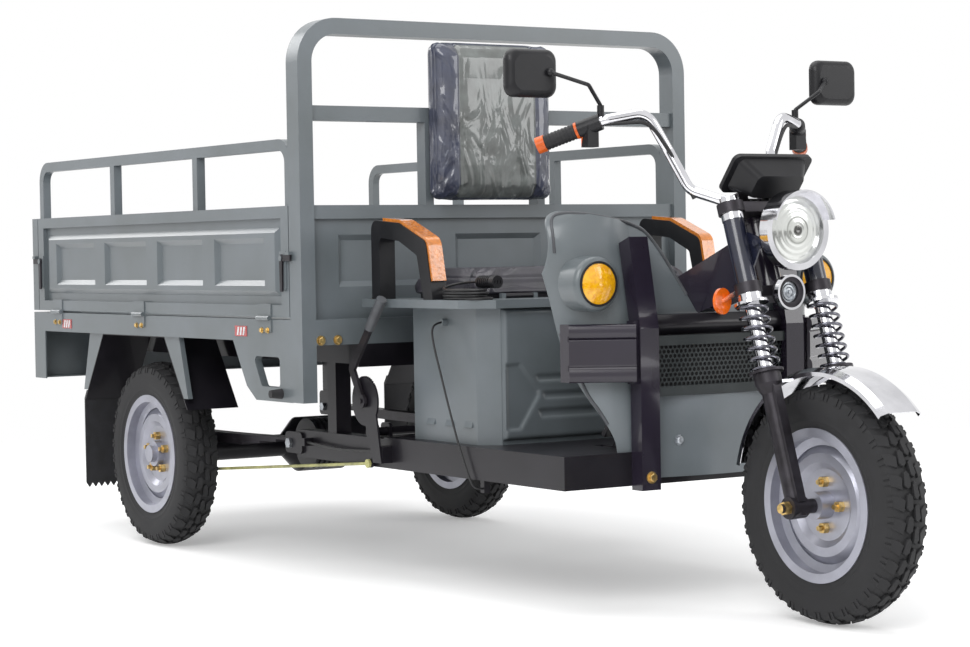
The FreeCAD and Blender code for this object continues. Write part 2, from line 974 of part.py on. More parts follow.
def front_hub():
    drum_web = hub_left_reach - drum_depth
    right_seat = bearing_width - hub_right_reach
    left_seat = hub_left_reach - bearing_width
    body = turned_y([
        (bearing_radius, -hub_right_reach), (hub_radius, -hub_right_reach),
        (hub_radius, flange_face), (hub_flange_radius, flange_face),
        (hub_flange_radius, flange_back), (hub_radius, flange_back),
        (hub_radius, drum_web), (drum_radius, drum_web),
        (drum_radius, hub_left_reach), (drum_radius - drum_wall, hub_left_reach),
        (drum_radius - drum_wall, drum_web + drum_wall), (hub_radius, drum_web + drum_wall),
        (hub_radius, hub_left_reach), (bearing_radius, hub_left_reach),
        (bearing_radius, left_seat), (hub_bore_radius, left_seat),
        (hub_bore_radius, right_seat), (bearing_radius, right_seat),
    ])
    bore = axle_radius + running_gap
    bearings = [
        ring(V(0, -hub_right_reach, 0), V(0, right_seat, 0), bearing_radius, bore),
        ring(V(0, left_seat, 0), V(0, hub_left_reach, 0), bearing_radius, bore),
    ]
    return [body] + bearings


def rear_hub():
    drum_end = rear_drum_offset + rear_drum_depth
    drum_bore = rear_drum_radius - drum_wall
    cap_face = rear_hub_reach + rear_cap_reach
    return turned_y([
        (0, -cap_face), (rear_cap_radius, -cap_face), (rear_cap_radius, -rear_hub_reach),
        (rear_hub_radius, -rear_hub_reach), (rear_hub_radius, flange_face),
        (hub_flange_radius, flange_face), (hub_flange_radius, flange_back),
        (rear_hub_radius, flange_back), (rear_hub_radius, rear_drum_offset),
        (rear_drum_radius, rear_drum_offset), (rear_drum_radius, drum_end),
        (drum_bore, drum_end), (drum_bore, rear_drum_offset + drum_wall),
        (half_shaft_radius, rear_drum_offset + drum_wall), (half_shaft_radius, shaft_length),
        (0, shaft_length),
    ])


def moved(shapes, offset):
    copies = []
    for shape in shapes:
        copy = shape.copy()
        copy.translate(offset)
        copies.append(copy)
    return copies


bare_tyre = tyre()
front_wheel = [pressed_wheel(hub_radius)] + front_hub() + wheel_nuts(front_nut_count)
rear_wheel = [pressed_wheel(rear_hub_radius), rear_hub()] + wheel_nuts(rear_nut_count)
right_wheel_place = rear_axle - V(0, half_track, 0)
parts["front_tyre"] = moved([bare_tyre], front_axle)
parts["front_wheel"] = moved(front_wheel, front_axle)
parts["rear_tyre_right"] = moved([bare_tyre], right_wheel_place)
parts["rear_wheel_right"] = moved(rear_wheel, right_wheel_place)
parts["rear_tyre_left"] = [mirrored(shape) for shape in parts["rear_tyre_right"]]
parts["rear_wheel_left"] = [mirrored(shape) for shape in parts["rear_wheel_right"]]

# Telescopic fork, built upright on the front axle and then leaned back
collar_end = collar_start + collar_height
spring_start = collar_end + spring_seat_height
spring_end = spring_start + spring_space
lower_ring_start = spring_end + spring_seat_height
lower_clamp_start = lower_ring_start + lower_ring_height
cover_start = lower_clamp_start + clamp_height
upper_ring_start = cover_start + cover_length
upper_clamp_start = upper_ring_start + upper_ring_height
upper_clamp_end = upper_clamp_start + clamp_height


def fork_leg():
    """The right lower leg with its axle lug, front fin, collar and spring seat."""
    tube = turned_z([
        (0, -leg_foot), (leg_radius, -leg_foot), (leg_radius, leg_taper_start),
        (collar_radius, collar_start), (collar_radius, collar_end),
        (spring_seat_radius, collar_end), (spring_seat_radius, spring_start), (0, spring_start),
    ], V(0, -leg_half_spacing, 0))
    lug = rod(V(0, -lug_outer, 0), V(0, -lug_inner, 0), lug_radius)
    fin = block(leg_radius - leg_fin_thickness / 4, leg_radius + leg_fin_thickness,
                -leg_half_spacing - leg_fin_width / 2, -leg_half_spacing + leg_fin_width / 2,
                leg_fin_start, collar_start + collar_height / 2)
    bore_radius = stanchion_radius + running_gap
    bore = rod(V(0, -leg_half_spacing, leg_bore_bottom), V(0, -leg_half_spacing, spring_start + overrun),
               bore_radius)
    eye = rod(V(0, -lug_outer - overrun, 0), V(0, -lug_inner + overrun, 0), axle_radius)
    return joined([tube, lug, fin]).cut(bore).cut(eye)


def front_axle_set():
    """The front axle with its nuts, spacers and the brake plate that the drum runs against."""
    tip = lug_outer + axle_nut_height + axle_tip
    plate_start = hub_left_reach + running_gap
    plate_end = plate_start + brake_plate_thickness
    pieces = [rod(V(0, -tip, 0), V(0, tip, 0), axle_radius)]
    bored = rod(V(0, -tip - overrun, 0), V(0, tip + overrun, 0), axle_radius)
    for side in (-1, 1):
        base = V(0, side * lug_outer, 0)
        pieces.append(hexagon(axle_nut_across, axle_nut_height, base, V(0, side, 0)).cut(bored))
    pieces.append(ring(V(0, -lug_inner, 0), V(0, -hub_right_reach - running_gap, 0), spacer_radius, axle_radius))
    pieces.append(ring(V(0, plate_end, 0), V(0, lug_inner, 0), spacer_radius, axle_radius))
    pieces.append(ring(V(0, plate_start, 0), V(0, plate_end, 0), drum_radius, axle_radius))
    return pieces


leg = fork_leg()
parts["fork_lowers"] = [tilted(shape) for shape in pair(leg) + front_axle_set()]


def spring_curve(turn):
    """The fork spring's centre line, upright round the right leg."""
    climb = (spring_space - 2 * spring_wire_radius - 2 * running_gap) / spring_turns
    angle = turn * 2 * math.pi
    base = spring_start + spring_wire_radius + running_gap
    return V(spring_coil_radius * math.cos(angle),
             -leg_half_spacing + spring_coil_radius * math.sin(angle), base + climb * turn)


right_spring = wound(spring_curve, spring_turns, spring_wire_radius)
parts["fork_springs"] = [tilted(shape) for shape in pair(right_spring)]


def on_leg(start, end, radius, bore):
    return ring(V(0, -leg_half_spacing, start), V(0, -leg_half_spacing, end), radius, bore)


stanchion = rod(V(0, -leg_half_spacing, stanchion_foot),
                V(0, -leg_half_spacing, upper_clamp_end), stanchion_radius)
fork_cap = joined([
    on_leg(upper_clamp_end, upper_clamp_end + cap_height, cap_radius, axle_radius / 2),
    rod(V(0, -leg_half_spacing, upper_clamp_end), V(0, -leg_half_spacing, upper_clamp_end + cap_height / 2),
        axle_radius),
])
upper_seat = on_leg(spring_end, lower_ring_start, spring_seat_radius, stanchion_radius)
lower_ring = on_leg(lower_ring_start, lower_clamp_start, lower_ring_radius, stanchion_radius)
upper_ring = on_leg(upper_ring_start, upper_clamp_start, upper_ring_radius, stanchion_radius)
right_stanchion = [stanchion, fork_cap, joined([upper_seat, lower_ring]), upper_ring]
parts["fork_stanchions"] = [tilted(shape) for piece in right_stanchion for shape in pair(piece)]


def fork_cover():
    """The right fork cover with the ear that carries the headlight."""
    tube = tilted(rod(V(0, -leg_half_spacing, cover_start),
                      V(0, -leg_half_spacing, upper_ring_start), cover_radius))
    root_top = fork_point(0, 0, upper_ring_start - ear_inner / 4)
    root_low = fork_point(0, 0, cover_start + ear_inner / 4)
    tip = V(behind(ear_boss_setback), 0, ear_boss_height)
    ear = along_y([
        (root_top.x, root_top.z), (root_low.x, root_low.z),
        (tip.x + ear_boss_radius, tip.z - ear_boss_radius), (tip.x + ear_boss_radius, tip.z + ear_boss_radius),
    ], -ear_inner - ear_thickness, -ear_inner, [0, 0, ear_boss_radius, ear_boss_radius])
    core = tilted(rod(V(0, -leg_half_spacing, cover_start - overrun),
                      V(0, -leg_half_spacing, upper_ring_start + overrun), stanchion_radius))
    return joined([tube, ear]).cut(core)


parts["fork_covers"] = pair(fork_cover())


def crown(start, front_reach):
    """A fork clamp with its two leg eyes and the boss of the steering stem."""
    plate = along_z([
        (front_reach, -leg_half_spacing), (front_reach, leg_half_spacing),
        (-clamp_leg_rear_reach, leg_half_spacing), (-clamp_rear_reach, clamp_rear_half_width),
        (-clamp_rear_reach, -clamp_rear_half_width), (-clamp_leg_rear_reach, -leg_half_spacing),
    ], start, start + clamp_height)
    eyes, bores = [], []
    for side in (-1, 1):
        foot = V(0, side * leg_half_spacing, start)
        eyes.append(rod(foot, foot + V(0, 0, clamp_height), clamp_eye_radius))
        bores.append(rod(foot - V(0, 0, overrun), foot + V(0, 0, clamp_height + overrun), stanchion_radius))
    return joined([plate] + eyes).cut(bores[0]).cut(bores[1])


bar_centre_s = upper_clamp_end + bar_height_on_clamp
stem = rod(V(-fork_offset, 0, lower_clamp_start), V(-fork_offset, 0, upper_clamp_end), stem_radius)
steering_yoke = joined([crown(lower_clamp_start, lower_clamp_front_reach),
                        crown(upper_clamp_start, clamp_front_reach), stem])


def bar_clamp():
    """The right handlebar riser on the upper clamp."""
    body = block(-fork_offset - bar_clamp_length / 2, -fork_offset + bar_clamp_length / 2,
                 -bar_clamp_half_spacing - bar_clamp_width / 2, -bar_clamp_half_spacing + bar_clamp_width / 2,
                 upper_clamp_end, upper_clamp_end + bar_clamp_height)
    hole = rod(V(-fork_offset, -bar_straight_half, bar_centre_s), V(-fork_offset, 0, bar_centre_s), bar_radius)
    return body.cut(hole)


parts["fork_crowns"] = [tilted(shape) for shape in [steering_yoke] + pair(bar_clamp())]


# Handlebar and hand controls, the right half first
def bar_points():
    """The right half of the handlebar, from the clamp outwards to the end of the tube."""
    clamp_end = fork_point(-fork_offset, -bar_straight_half, bar_centre_s)
    bends = [from_axle(p) for p in (bar_low_bend, bar_riser, bar_top_bend, bar_grip_root)]
    return [clamp_end] + bends + [grip_at(grip_span - grip_end_length - grip_gap)]


def grip_at(distance):
    """A point on the right grip's axis, measured outwards from the grip root."""
    way = (bar_end - bar_grip_root).normalize()
    return from_axle(bar_grip_root + way * distance)


def on_grip(start, end, radius, bore):
    return ring(grip_at(start), grip_at(end), radius, bore)


def flipped(point):
    return V(point.x, -point.y, point.z)


grip_span = (bar_end - bar_grip_root).Length
housing_end = housing_start + housing_length
grip_finish = grip_span - grip_end_length
bar_right = bar_points()
bar_route = [flipped(point) for point in reversed(bar_right)] + bar_right
parts["handlebar"] = [swept(rounded(bar_route, bar_bend_radius, False), bar_radius)]


def ribbed_grip(bore, root):
    """A twist grip with an end ring, moulded ribs and a closed end cap."""
    pieces = [on_grip(root, root + grip_ring_length, grip_ring_radius, bore)]
    pieces.append(on_grip(root + grip_ring_length, grip_finish, grip_radius, bore))
    pitch = (grip_finish - root - grip_ring_length) / grip_rib_count
    for index in range(grip_rib_count):
        start = root + grip_ring_length + (index + 1 / 4) * pitch
        pieces.append(on_grip(start, start + pitch / 2, grip_radius + grip_rib_height, bore))
    pieces.append(rod(grip_at(grip_finish), grip_at(grip_span), grip_ring_radius))
    return joined(pieces)


mirror_foot = from_axle(mirror_stem_foot)


def control_housing():
    """The switch housing clamped on the bar, with the boss that carries the mirror stem."""
    body = rod(grip_at(housing_start), grip_at(housing_end), housing_radius)
    boss = rod(V(mirror_foot.x, mirror_foot.y, grip_at(housing_start).z), mirror_foot, mirror_boss_radius)
    middle = grip_at((housing_start + housing_end) / 2)
    hanger = block(middle.x - housing_block_length / 2, middle.x + housing_block_length / 2,
                   middle.y - housing_block_width / 2, middle.y + housing_block_width / 2,
                   middle.z - housing_block_drop, middle.z)
    bore = rod(grip_at(-housing_length), grip_at(housing_end + overrun), bar_radius)
    return joined([body, boss, hanger]).cut(bore)


housing = control_housing()
left_grip = mirrored(ribbed_grip(bar_radius, housing_end + grip_gap))
parts["hand_controls"] = pair(housing) + [left_grip]
parts["throttle_grip"] = [ribbed_grip(bar_radius + running_gap, housing_end + grip_gap)]


def mirror():
    """The right mirror: foot, bent stem, ball and a crowned shell with its glass let in behind."""
    base = mirror_foot + V(0, 0, running_gap)
    top = base + V(0, 0, mirror_boss_height)
    foot = rod(base, top, mirror_boss_radius)
    ball = from_axle(mirror_ball)
    route = [top - V(0, 0, mirror_boss_height / 2), top, from_axle(mirror_stem_bend), ball]
    stem_bend = mirror_boss_height / 2
    stem = swept(rounded(route, stem_bend, False), mirror_stem_radius)
    centre = ball + mirror_head_offset
    knob = Part.makeSphere(mirror_ball_radius, ball)

    def outline(x, inset):
        half_y, half_z = mirror_width / 2 - inset, mirror_height / 2 - inset
        return [V(centre.x + x, centre.y + y, centre.z + z)
                for y, z in rectangle(-half_y, half_y, -half_z, half_z)]

    half = mirror_depth / 2
    shell = soft_block([outline(-half, 0), outline(0, 0), outline(half, mirror_back_inset)], mirror_corner)
    glass_corner = mirror_corner - mirror_glass_inset
    seat = rounded(outline(-half, mirror_glass_inset), glass_corner, True)
    glass = Part.Face(seat).extrude(V(mirror_glass, 0, 0))
    return [joined([shell.cut(glass), knob, stem, foot]), glass]


parts["mirror_right"] = mirror()
parts["mirror_left"] = [mirrored(shape) for shape in parts["mirror_right"]]


# Headlight, horn, instrument cluster and reflectors on the fork
def domed(back, edge, tip, radius, centre):
    """A lens about an X axis with a flat back and a domed face."""
    rise = tip - edge
    bow = (radius * radius + rise * rise) / (2 * rise)
    lean = math.asin(radius / abs(bow)) / 2
    crest = V(tip - bow + bow * math.cos(lean), abs(bow) * math.sin(lean), 0)
    wire = Part.Wire([
        Part.makeLine(V(tip, 0, 0), V(back, 0, 0)),
        Part.makeLine(V(back, 0, 0), V(back, radius, 0)),
        Part.makeLine(V(back, radius, 0), V(edge, radius, 0)),
        Part.Arc(V(edge, radius, 0), crest, V(tip, 0, 0)).toShape(),
    ])
    lens = Part.Face(wire).revolve(ORIGIN, AXIS_X, whole_turn_deg)
    lens.translate(centre)
    return lens


lamp_centre = V(behind(lamp_face_setback), 0, lamp_height)
horn_height = lamp_height - lamp_radius - horn_radius - horn_clearance
lamp_bore = lamp_radius - lamp_rim_width


def lamp_rim():
    body = ring(lamp_centre - V(lamp_rim_depth, 0, 0), lamp_centre, lamp_radius, lamp_bore)
    corners = rectangle(-lamp_rim_depth / 2, lamp_visor_reach, lamp_radius - lamp_visor_thickness, lamp_radius)
    wire = Part.makePolygon([V(x, 0, r) for x, r in corners + corners[:1]])
    wire.rotate(ORIGIN, AXIS_X, -lamp_visor_deg / 2)
    visor = Part.Face(wire).revolve(ORIGIN, AXIS_X, lamp_visor_deg)
    visor.translate(lamp_centre)
    return joined([body, visor])


def lamp_bucket():
    """The rounded lamp body behind the rim, with a boss to the ear on each side."""
    front, rear = -lamp_rim_depth, -lamp_rim_depth - bucket_depth
    via = V(front - bucket_depth * (1 - bucket_mid_share), bucket_radius * (1 - bucket_mid_share), 0)
    wire = Part.Wire([
        Part.makeLine(V(rear, 0, 0), V(front, 0, 0)),
        Part.makeLine(V(front, 0, 0), V(front, bucket_radius, 0)),
        Part.Arc(V(front, bucket_radius, 0), via, V(rear, bucket_rear_radius, 0)).toShape(),
        Part.makeLine(V(rear, bucket_rear_radius, 0), V(rear, 0, 0)),
    ])
    body = Part.Face(wire).revolve(ORIGIN, AXIS_X, whole_turn_deg)
    body.translate(lamp_centre)
    boss = rod(V(behind(ear_boss_setback), -ear_inner, ear_boss_height),
               V(behind(ear_boss_setback), ear_inner, ear_boss_height), ear_boss_radius)
    return joined([body, boss])


parts["headlight_rim"] = [lamp_rim()]
parts["headlight_lens"] = [domed(-lamp_rim_depth, -lamp_lens_dome, 0, lamp_bore, lamp_centre)]
parts["headlight_bucket"] = [lamp_bucket()]
ear_face = ear_inner + ear_thickness
ear_bolt_seat = V(behind(ear_boss_setback), -ear_face, ear_boss_height)
ear_bolt = rod(ear_bolt_seat, ear_bolt_seat - V(0, ear_bolt_height, 0), ear_bolt_radius)
parts["fork_covers"] += pair(ear_bolt)


def horn():
    """A disc horn with a raised rim and a round mouth, on a stud from the lower clamp."""
    face, rear = 0, -horn_depth
    body = turned_x([
        (rear, 0), (rear, horn_radius - horn_rim), (rear / 2, horn_radius), (face, horn_radius),
        (face, horn_radius - horn_rim), (-horn_rim, horn_radius - horn_rim),
        (-horn_rim, horn_mouth_radius), (-horn_mouth_depth, horn_mouth_radius), (-horn_mouth_depth, 0),
    ], V(behind(horn_face_setback), 0, horn_height))
    clamp_middle = lower_clamp_start + clamp_height / 2
    seat = fork_point(lower_clamp_front_reach, 0, clamp_middle)
    knee = fork_point(lower_clamp_front_reach + horn_stud_radius, 0, clamp_middle)
    stud = rod(seat, fork_point(lower_clamp_front_reach + horn_depth, 0, clamp_middle), horn_stud_radius)
    arm = rod(knee, V(behind(horn_face_setback) - horn_depth / 2, 0, horn_height), horn_stud_radius)
    return joined([body, stud, arm])


parts["horn"] = [horn()]


def instrument_cluster():
    """A raked panel with a tapered body below it, on a strut from the upper clamp."""
    tilt = math.radians(cluster_tilt_deg)
    down = V(-math.cos(tilt), 0, -math.sin(tilt))
    forward = V(math.sin(tilt), 0, -math.cos(tilt))
    top = V(behind(cluster_top_setback), 0, cluster_top_height)
    middle = top + down * (cluster_length / 2)

    def outline(depth, share, inset=0):
        half_b = cluster_length * share / 2 - inset
        half_y = cluster_width * share / 2 - inset
        return [middle + down * b + V(0, y, 0) + forward * depth
                for b, y in rectangle(-half_b, half_b, -half_y, half_y)]

    corner = cluster_length / 6
    plate = Part.Face(rounded(outline(0, 1), corner, True)).extrude(forward * cluster_lip)
    base_depth = cluster_lip + cluster_body_depth
    wires = [rounded(outline(cluster_lip, cluster_body_share), corner, True),
             rounded(outline(base_depth, cluster_base_share), corner, True)]
    body = Part.makeLoft(wires, True, True)
    window = Part.Face(rounded(outline(0, 1, cluster_window_inset), corner / 2, True))
    pocket = window.extrude(forward * cluster_window_depth)
    strut = rod(fork_point(cluster_strut_front, 0, upper_clamp_end),
                fork_point(cluster_strut_front, 0, upper_clamp_end + cluster_body_depth * 3 / 4),
                cluster_strut_radius)
    return joined([plate, body, strut]).cut(pocket)


parts["instrument_cluster"] = [instrument_cluster()]


def fork_reflector():
    """The right oval reflector, facing forward on a short arm from the lower clamp's eye."""
    oval = Part.Ellipse(ORIGIN, reflector_half_height, reflector_half_width).toShape()
    disc = Part.Face(Part.Wire([oval])).extrude(V(0, 0, reflector_depth))
    disc.rotate(ORIGIN, AXIS_Y, -half_turn_deg / 2)
    centre = V(behind(reflector_setback), -reflector_half_spacing, reflector_height)
    disc.translate(centre)
    clamp_middle = lower_clamp_start + clamp_height / 2
    inside = clamp_eye_radius / 2
    root = fork_point(-inside, -leg_half_spacing - inside, clamp_middle)
    arm = rod(root, centre - V(reflector_depth / 2, 0, 0), reflector_arm_radius)
    eye = tilted(rod(V(0, -leg_half_spacing, lower_clamp_start - overrun),
                     V(0, -leg_half_spacing, cover_start + overrun), clamp_eye_radius))
    return joined([disc, arm]).cut(eye)


parts["fork_reflectors"] = pair(fork_reflector())


# Front mudguard
def front_fender():
    """A crowned sheet with turned-down lips, swept round the tyre, on two tabs to the leg collars."""
    edge_radius = fender_radius - fender_crown_height
    lip_radius = edge_radius - fender_lip
    slope = fender_sheet / 2
    outer = [(lip_radius, -fender_half_width), (edge_radius, -fender_half_width),
             (fender_radius, -fender_crown_half_width)]
    outer += [(r, -y) for r, y in reversed(outer)]
    inner_edge = fender_half_width - fender_sheet
    inner_crown = fender_crown_half_width - slope
    inner = [(lip_radius, -inner_edge), (edge_radius - slope, -inner_edge),
             (fender_radius - fender_sheet, -inner_crown)]
    inner += [(r, -y) for r, y in reversed(inner)]
    profile = outer + list(reversed(inner))
    wire = Part.makePolygon([V(r, y, 0) for r, y in profile + profile[:1]])
    upward = V(0, -1, 0)
    wire.rotate(ORIGIN, upward, fender_front_deg)
    sheet = Part.Face(wire).revolve(ORIGIN, upward, fender_rear_deg - fender_front_deg)
    sheet.translate(front_axle + V(fender_centre_forward, 0, fender_centre_up))
    tab = block(-fender_bracket_width / 2, fender_bracket_width / 2,
                -leg_half_spacing + fender_bracket_reach, -fender_half_width + fender_sheet / 2,
                collar_start, collar_start + fender_bracket_thickness)
    collar = rod(V(0, -leg_half_spacing, 0), V(0, -leg_half_spacing, collar_end + overrun), collar_radius)
    return joined([sheet] + [tilted(shape) for shape in pair(tab.cut(collar))])


parts["front_fender"] = [front_fender()]


# Chassis: side beams, neck, rails, posts, hangers and brackets as separate members
cross_beam_rear_setback = hoop_front_setback + front_cross_depth
leaf_half_span = wheelbase - cross_beam_rear_setback - leaf_eye_room
leaf_bottom = tyre_radius + axle_tube_radius + leaf_pad
leaf_stack_top = leaf_bottom + leaf_count * leaf_thickness
leaf_curve_radius = (leaf_half_span ** 2 + leaf_arch ** 2) / (2 * leaf_arch)
leaf_curve_centre_z = leaf_stack_top + leaf_curve_radius
eye_drop = leaf_eye_radius - leaf_thickness
leaf_eye_height = leaf_stack_top + leaf_arch - leaf_thickness - eye_drop
leaf_front_x = rear_axle_x + leaf_half_span
leaf_rear_x = rear_axle_x - leaf_half_span
rail_top = bed_beam_bottom
rail_bottom = rail_top - rail_depth
rail_rear_x = behind(rear_hanger_setback + rear_hanger_depth)
cross_beam_top = bed_beam_bottom - hanger_cheek
cheek_inner = beam_inner - hanger_cheek
cheek_outer = floor_half_width + hanger_cheek


def steering_head():
    """The head tube with a bearing cup at each end."""
    low = cover_start + head_end_gap
    high = upper_clamp_start - head_end_gap
    bore = stem_radius + running_gap

    def sleeve(start, end, radius):
        return ring(V(-fork_offset, 0, start), V(-fork_offset, 0, end), radius, bore)

    return tilted(joined([
        sleeve(low, high, head_tube_radius),
        sleeve(low, low + head_cup_height, head_cup_radius),
        sleeve(high - head_cup_height, high, head_cup_radius),
    ]))


neck_under_height = neck_bottom_height - neck_under_drop


def neck():
    """The gusseted neck from the floor up to the head tube."""
    upper = fork_point(-fork_offset, 0, upper_clamp_start - 2 * head_cup_height)
    lower = fork_point(-fork_offset, 0, cover_start + head_cup_height + head_end_gap)
    outline = [
        (upper.x, neck_top_height), (behind(neck_knee_setback), neck_knee_height),
        (behind(neck_post_rear_setback), neck_under_height), (behind(neck_post_rear_setback), floor_surface),
        (behind(neck_post_rear_setback - neck_post_depth), floor_surface),
        (behind(neck_post_rear_setback - neck_post_depth), neck_under_height - neck_post_depth / 2),
        (behind(neck_under_setback), neck_under_height), (lower.x, neck_bottom_height),
    ]
    body = along_y(outline, -neck_half_width, neck_half_width)
    tube = tilted(rod(V(-fork_offset, 0, lower_clamp_start),
                      V(-fork_offset, 0, upper_clamp_end), head_tube_radius))
    cut = body.cut(tube)
    return max(cut.Solids, key=lambda solid: solid.Volume)


def hanger(eye_x, toward, top):
    """Two cheeks beside a spring eye, reaching along X to the member that carries them."""
    far = eye_x + toward * leaf_eye_radius * 5
    near = eye_x - toward * hanger_reach
    low = leaf_eye_height - hanger_reach
    cheeks = []
    for y0, y1 in ((-beam_inner, -cheek_inner), (-cheek_outer, -floor_half_width)):
        plate = along_y(rectangle(min(far, near), max(far, near), low, top), y0, y1, hanger_reach / 2)
        bolt = rod(V(eye_x, y0 - overrun, leaf_eye_height), V(eye_x, y1 + overrun, leaf_eye_height),
                   leaf_eye_bolt_radius)
        cheeks += pair(plate.cut(bolt))
    return cheeks


def chassis_members():
    members = pair(block(behind(floor_rear_setback), behind(floor_front_setback),
                         -floor_half_width, -beam_inner, floor_bottom, floor_top))
    members.append(block(behind(floor_front_setback + floor_beam_width), behind(floor_front_setback),
                         -beam_inner, beam_inner, floor_bottom, floor_top))
    members.append(block(behind(floor_plate_rear_setback), behind(floor_plate_rear_setback - cross_tube_width),
                         -beam_inner, beam_inner, floor_top - cross_tube_width, floor_top))
    members.append(block(behind(neck_post_rear_setback), behind(floor_front_setback + floor_beam_width),
                         -neck_half_width, neck_half_width, floor_bottom, floor_top))
    members += pair(block(rail_rear_x, behind(cross_beam_rear_setback),
                          -rail_inner - rail_width, -rail_inner, rail_bottom, rail_top))
    post_rear = chassis_post_setback + chassis_post_depth
    members += pair(block(behind(post_rear), behind(chassis_post_setback),
                          -beam_inner - chassis_post_width, -beam_inner, floor_top, rail_bottom))
    members.append(block(behind(cross_beam_rear_setback), behind(hoop_front_setback), -front_cross_half_width,
                         front_cross_half_width, cross_beam_top - front_cross_height, cross_beam_top))
    for setback in cross_tube_setbacks:
        members.append(block(behind(setback + cross_tube_width), behind(setback), -rail_inner, rail_inner,
                             rail_bottom, rail_bottom + cross_tube_width))
    members.append(block(rail_rear_x, behind(rear_hanger_setback), -rail_inner, rail_inner,
                         rail_bottom, rail_bottom + cross_tube_width))
    hanger_top = leaf_eye_height + 2 * hanger_reach
    members += pair(block(rail_rear_x, behind(rear_hanger_setback),
                          -beam_inner - floor_beam_width, -beam_inner, hanger_top - hanger_reach, rail_bottom))
    members += hanger(leaf_front_x, 1, floor_top - hanger_cheek)
    members += hanger(leaf_rear_x, 1, hanger_top)
    return members


def quadrant():
    """The handbrake's toothed plate on its spacer, with the pin that the lever turns on."""
    pivot = V(behind(handbrake_pivot_setback), 0, handbrake_pivot_height)
    inner = handbrake_y + handbrake_bar_thickness / 2 + handbrake_pin_radius / 2
    outer_face = V(pivot.x, inner, pivot.z)
    plate = rod(outer_face, outer_face + V(0, quadrant_thickness, 0), quadrant_radius)
    foot_x = behind(floor_plate_rear_setback)
    foot_low = floor_bottom + quadrant_thickness * 3
    arm = along_y([
        (pivot.x - quadrant_radius / 3, pivot.z), (foot_x, foot_low),
        (foot_x + quadrant_arm_width, foot_low), (pivot.x + quadrant_radius * 3 / 4, pivot.z),
    ], inner, inner + quadrant_thickness)
    teeth = []
    for index in range(quadrant_teeth):
        tooth = block(-quadrant_tooth / 2, quadrant_tooth / 2,
                      inner - overrun, inner + quadrant_thickness + overrun,
                      quadrant_radius - quadrant_tooth, quadrant_radius + overrun)
        tooth.rotate(ORIGIN, AXIS_Y, (index - quadrant_teeth // 2) * quadrant_tooth * 2)
        tooth.translate(V(pivot.x, 0, pivot.z))
        teeth.append(tooth)
    spacer = block(foot_x, foot_x + quadrant_arm_width, inner + quadrant_thickness, -floor_half_width,
                   foot_low, foot_low + quadrant_arm_width)
    pin_end = handbrake_y - handbrake_bar_thickness / 2 - quadrant_tooth
    pin = rod(outer_face, V(pivot.x, pin_end, pivot.z), handbrake_pin_radius)
    return joined([plate.cut(Part.Compound(teeth)), arm, spacer, pin])


shaft_axis = V(behind(brake_shaft_setback), 0, brake_shaft_height)


def shaft_brackets():
    """Two plates on the right side beam that carry the brake cross shaft."""
    plates = []
    for inner in (beam_inner, floor_half_width - brake_bracket):
        plate = along_y(rectangle(shaft_axis.x - brake_arm_width, shaft_axis.x + brake_arm_width,
                                  floor_top, brake_shaft_height + brake_arm_width), -inner - brake_bracket, -inner,
                        [0, 0, brake_shaft_radius, brake_shaft_radius])
        bore = rod(V(shaft_axis.x, -floor_half_width - overrun, shaft_axis.z),
                   V(shaft_axis.x, -beam_inner + overrun, shaft_axis.z), brake_shaft_radius + hinge_bore_gap)
        plates.append(plate.cut(bore))
    return plates


pedal_pivot = V(behind(pedal_pivot_setback), pedal_y, pedal_pivot_height)


def pedal_ears():
    """Two ears under the floor with the pin of the foot pedal between them."""
    inner = pedal_arm_thickness / 2 + running_gap
    outer = inner + pedal_ear_thickness
    pieces = []
    for side in (-1, 1):
        y0, y1 = sorted((pedal_y + side * inner, pedal_y + side * outer))
        ear = along_y(rectangle(pedal_pivot.x - pedal_ear_half_length, pedal_pivot.x + pedal_ear_half_length,
                                pedal_pivot.z - pedal_ear_half_length, floor_top), y0, y1,
                      [pedal_boss_radius, pedal_boss_radius, 0, 0])
        pieces.append(ear)
        foot = pedal_slot_width / 2 + 2 * pedal_ear_thickness
        y0, y1 = sorted((pedal_y + side * inner, pedal_y + side * foot))
        pieces.append(block(pedal_pivot.x - pedal_ear_half_length, pedal_pivot.x + pedal_ear_half_length, y0, y1,
                            floor_top - pedal_ear_thickness, floor_top))
    pin = rod(pedal_pivot - V(0, outer, 0), pedal_pivot + V(0, outer, 0), pedal_pin_radius)
    return joined(pieces + [pin])


parts["chassis_frame"] = [steering_head(), neck()] + chassis_members() + shaft_brackets()
parts["chassis_frame"] += [quadrant(), pedal_ears()]

# Floor plate with the slot of the foot pedal
slot_front = pedal_pivot.x + pedal_slot_length * pedal_slot_front_share
floor_sheet_body = block(behind(floor_plate_rear_setback), behind(floor_front_setback),
                         -floor_half_width, floor_half_width, floor_top, floor_surface)
pedal_slot = block(slot_front - pedal_slot_length, slot_front, pedal_y - pedal_slot_width / 2,
                   pedal_y + pedal_slot_width / 2, floor_top - overrun, floor_surface + overrun)
parts["floor_plate"] = [floor_sheet_body.cut(pedal_slot)]


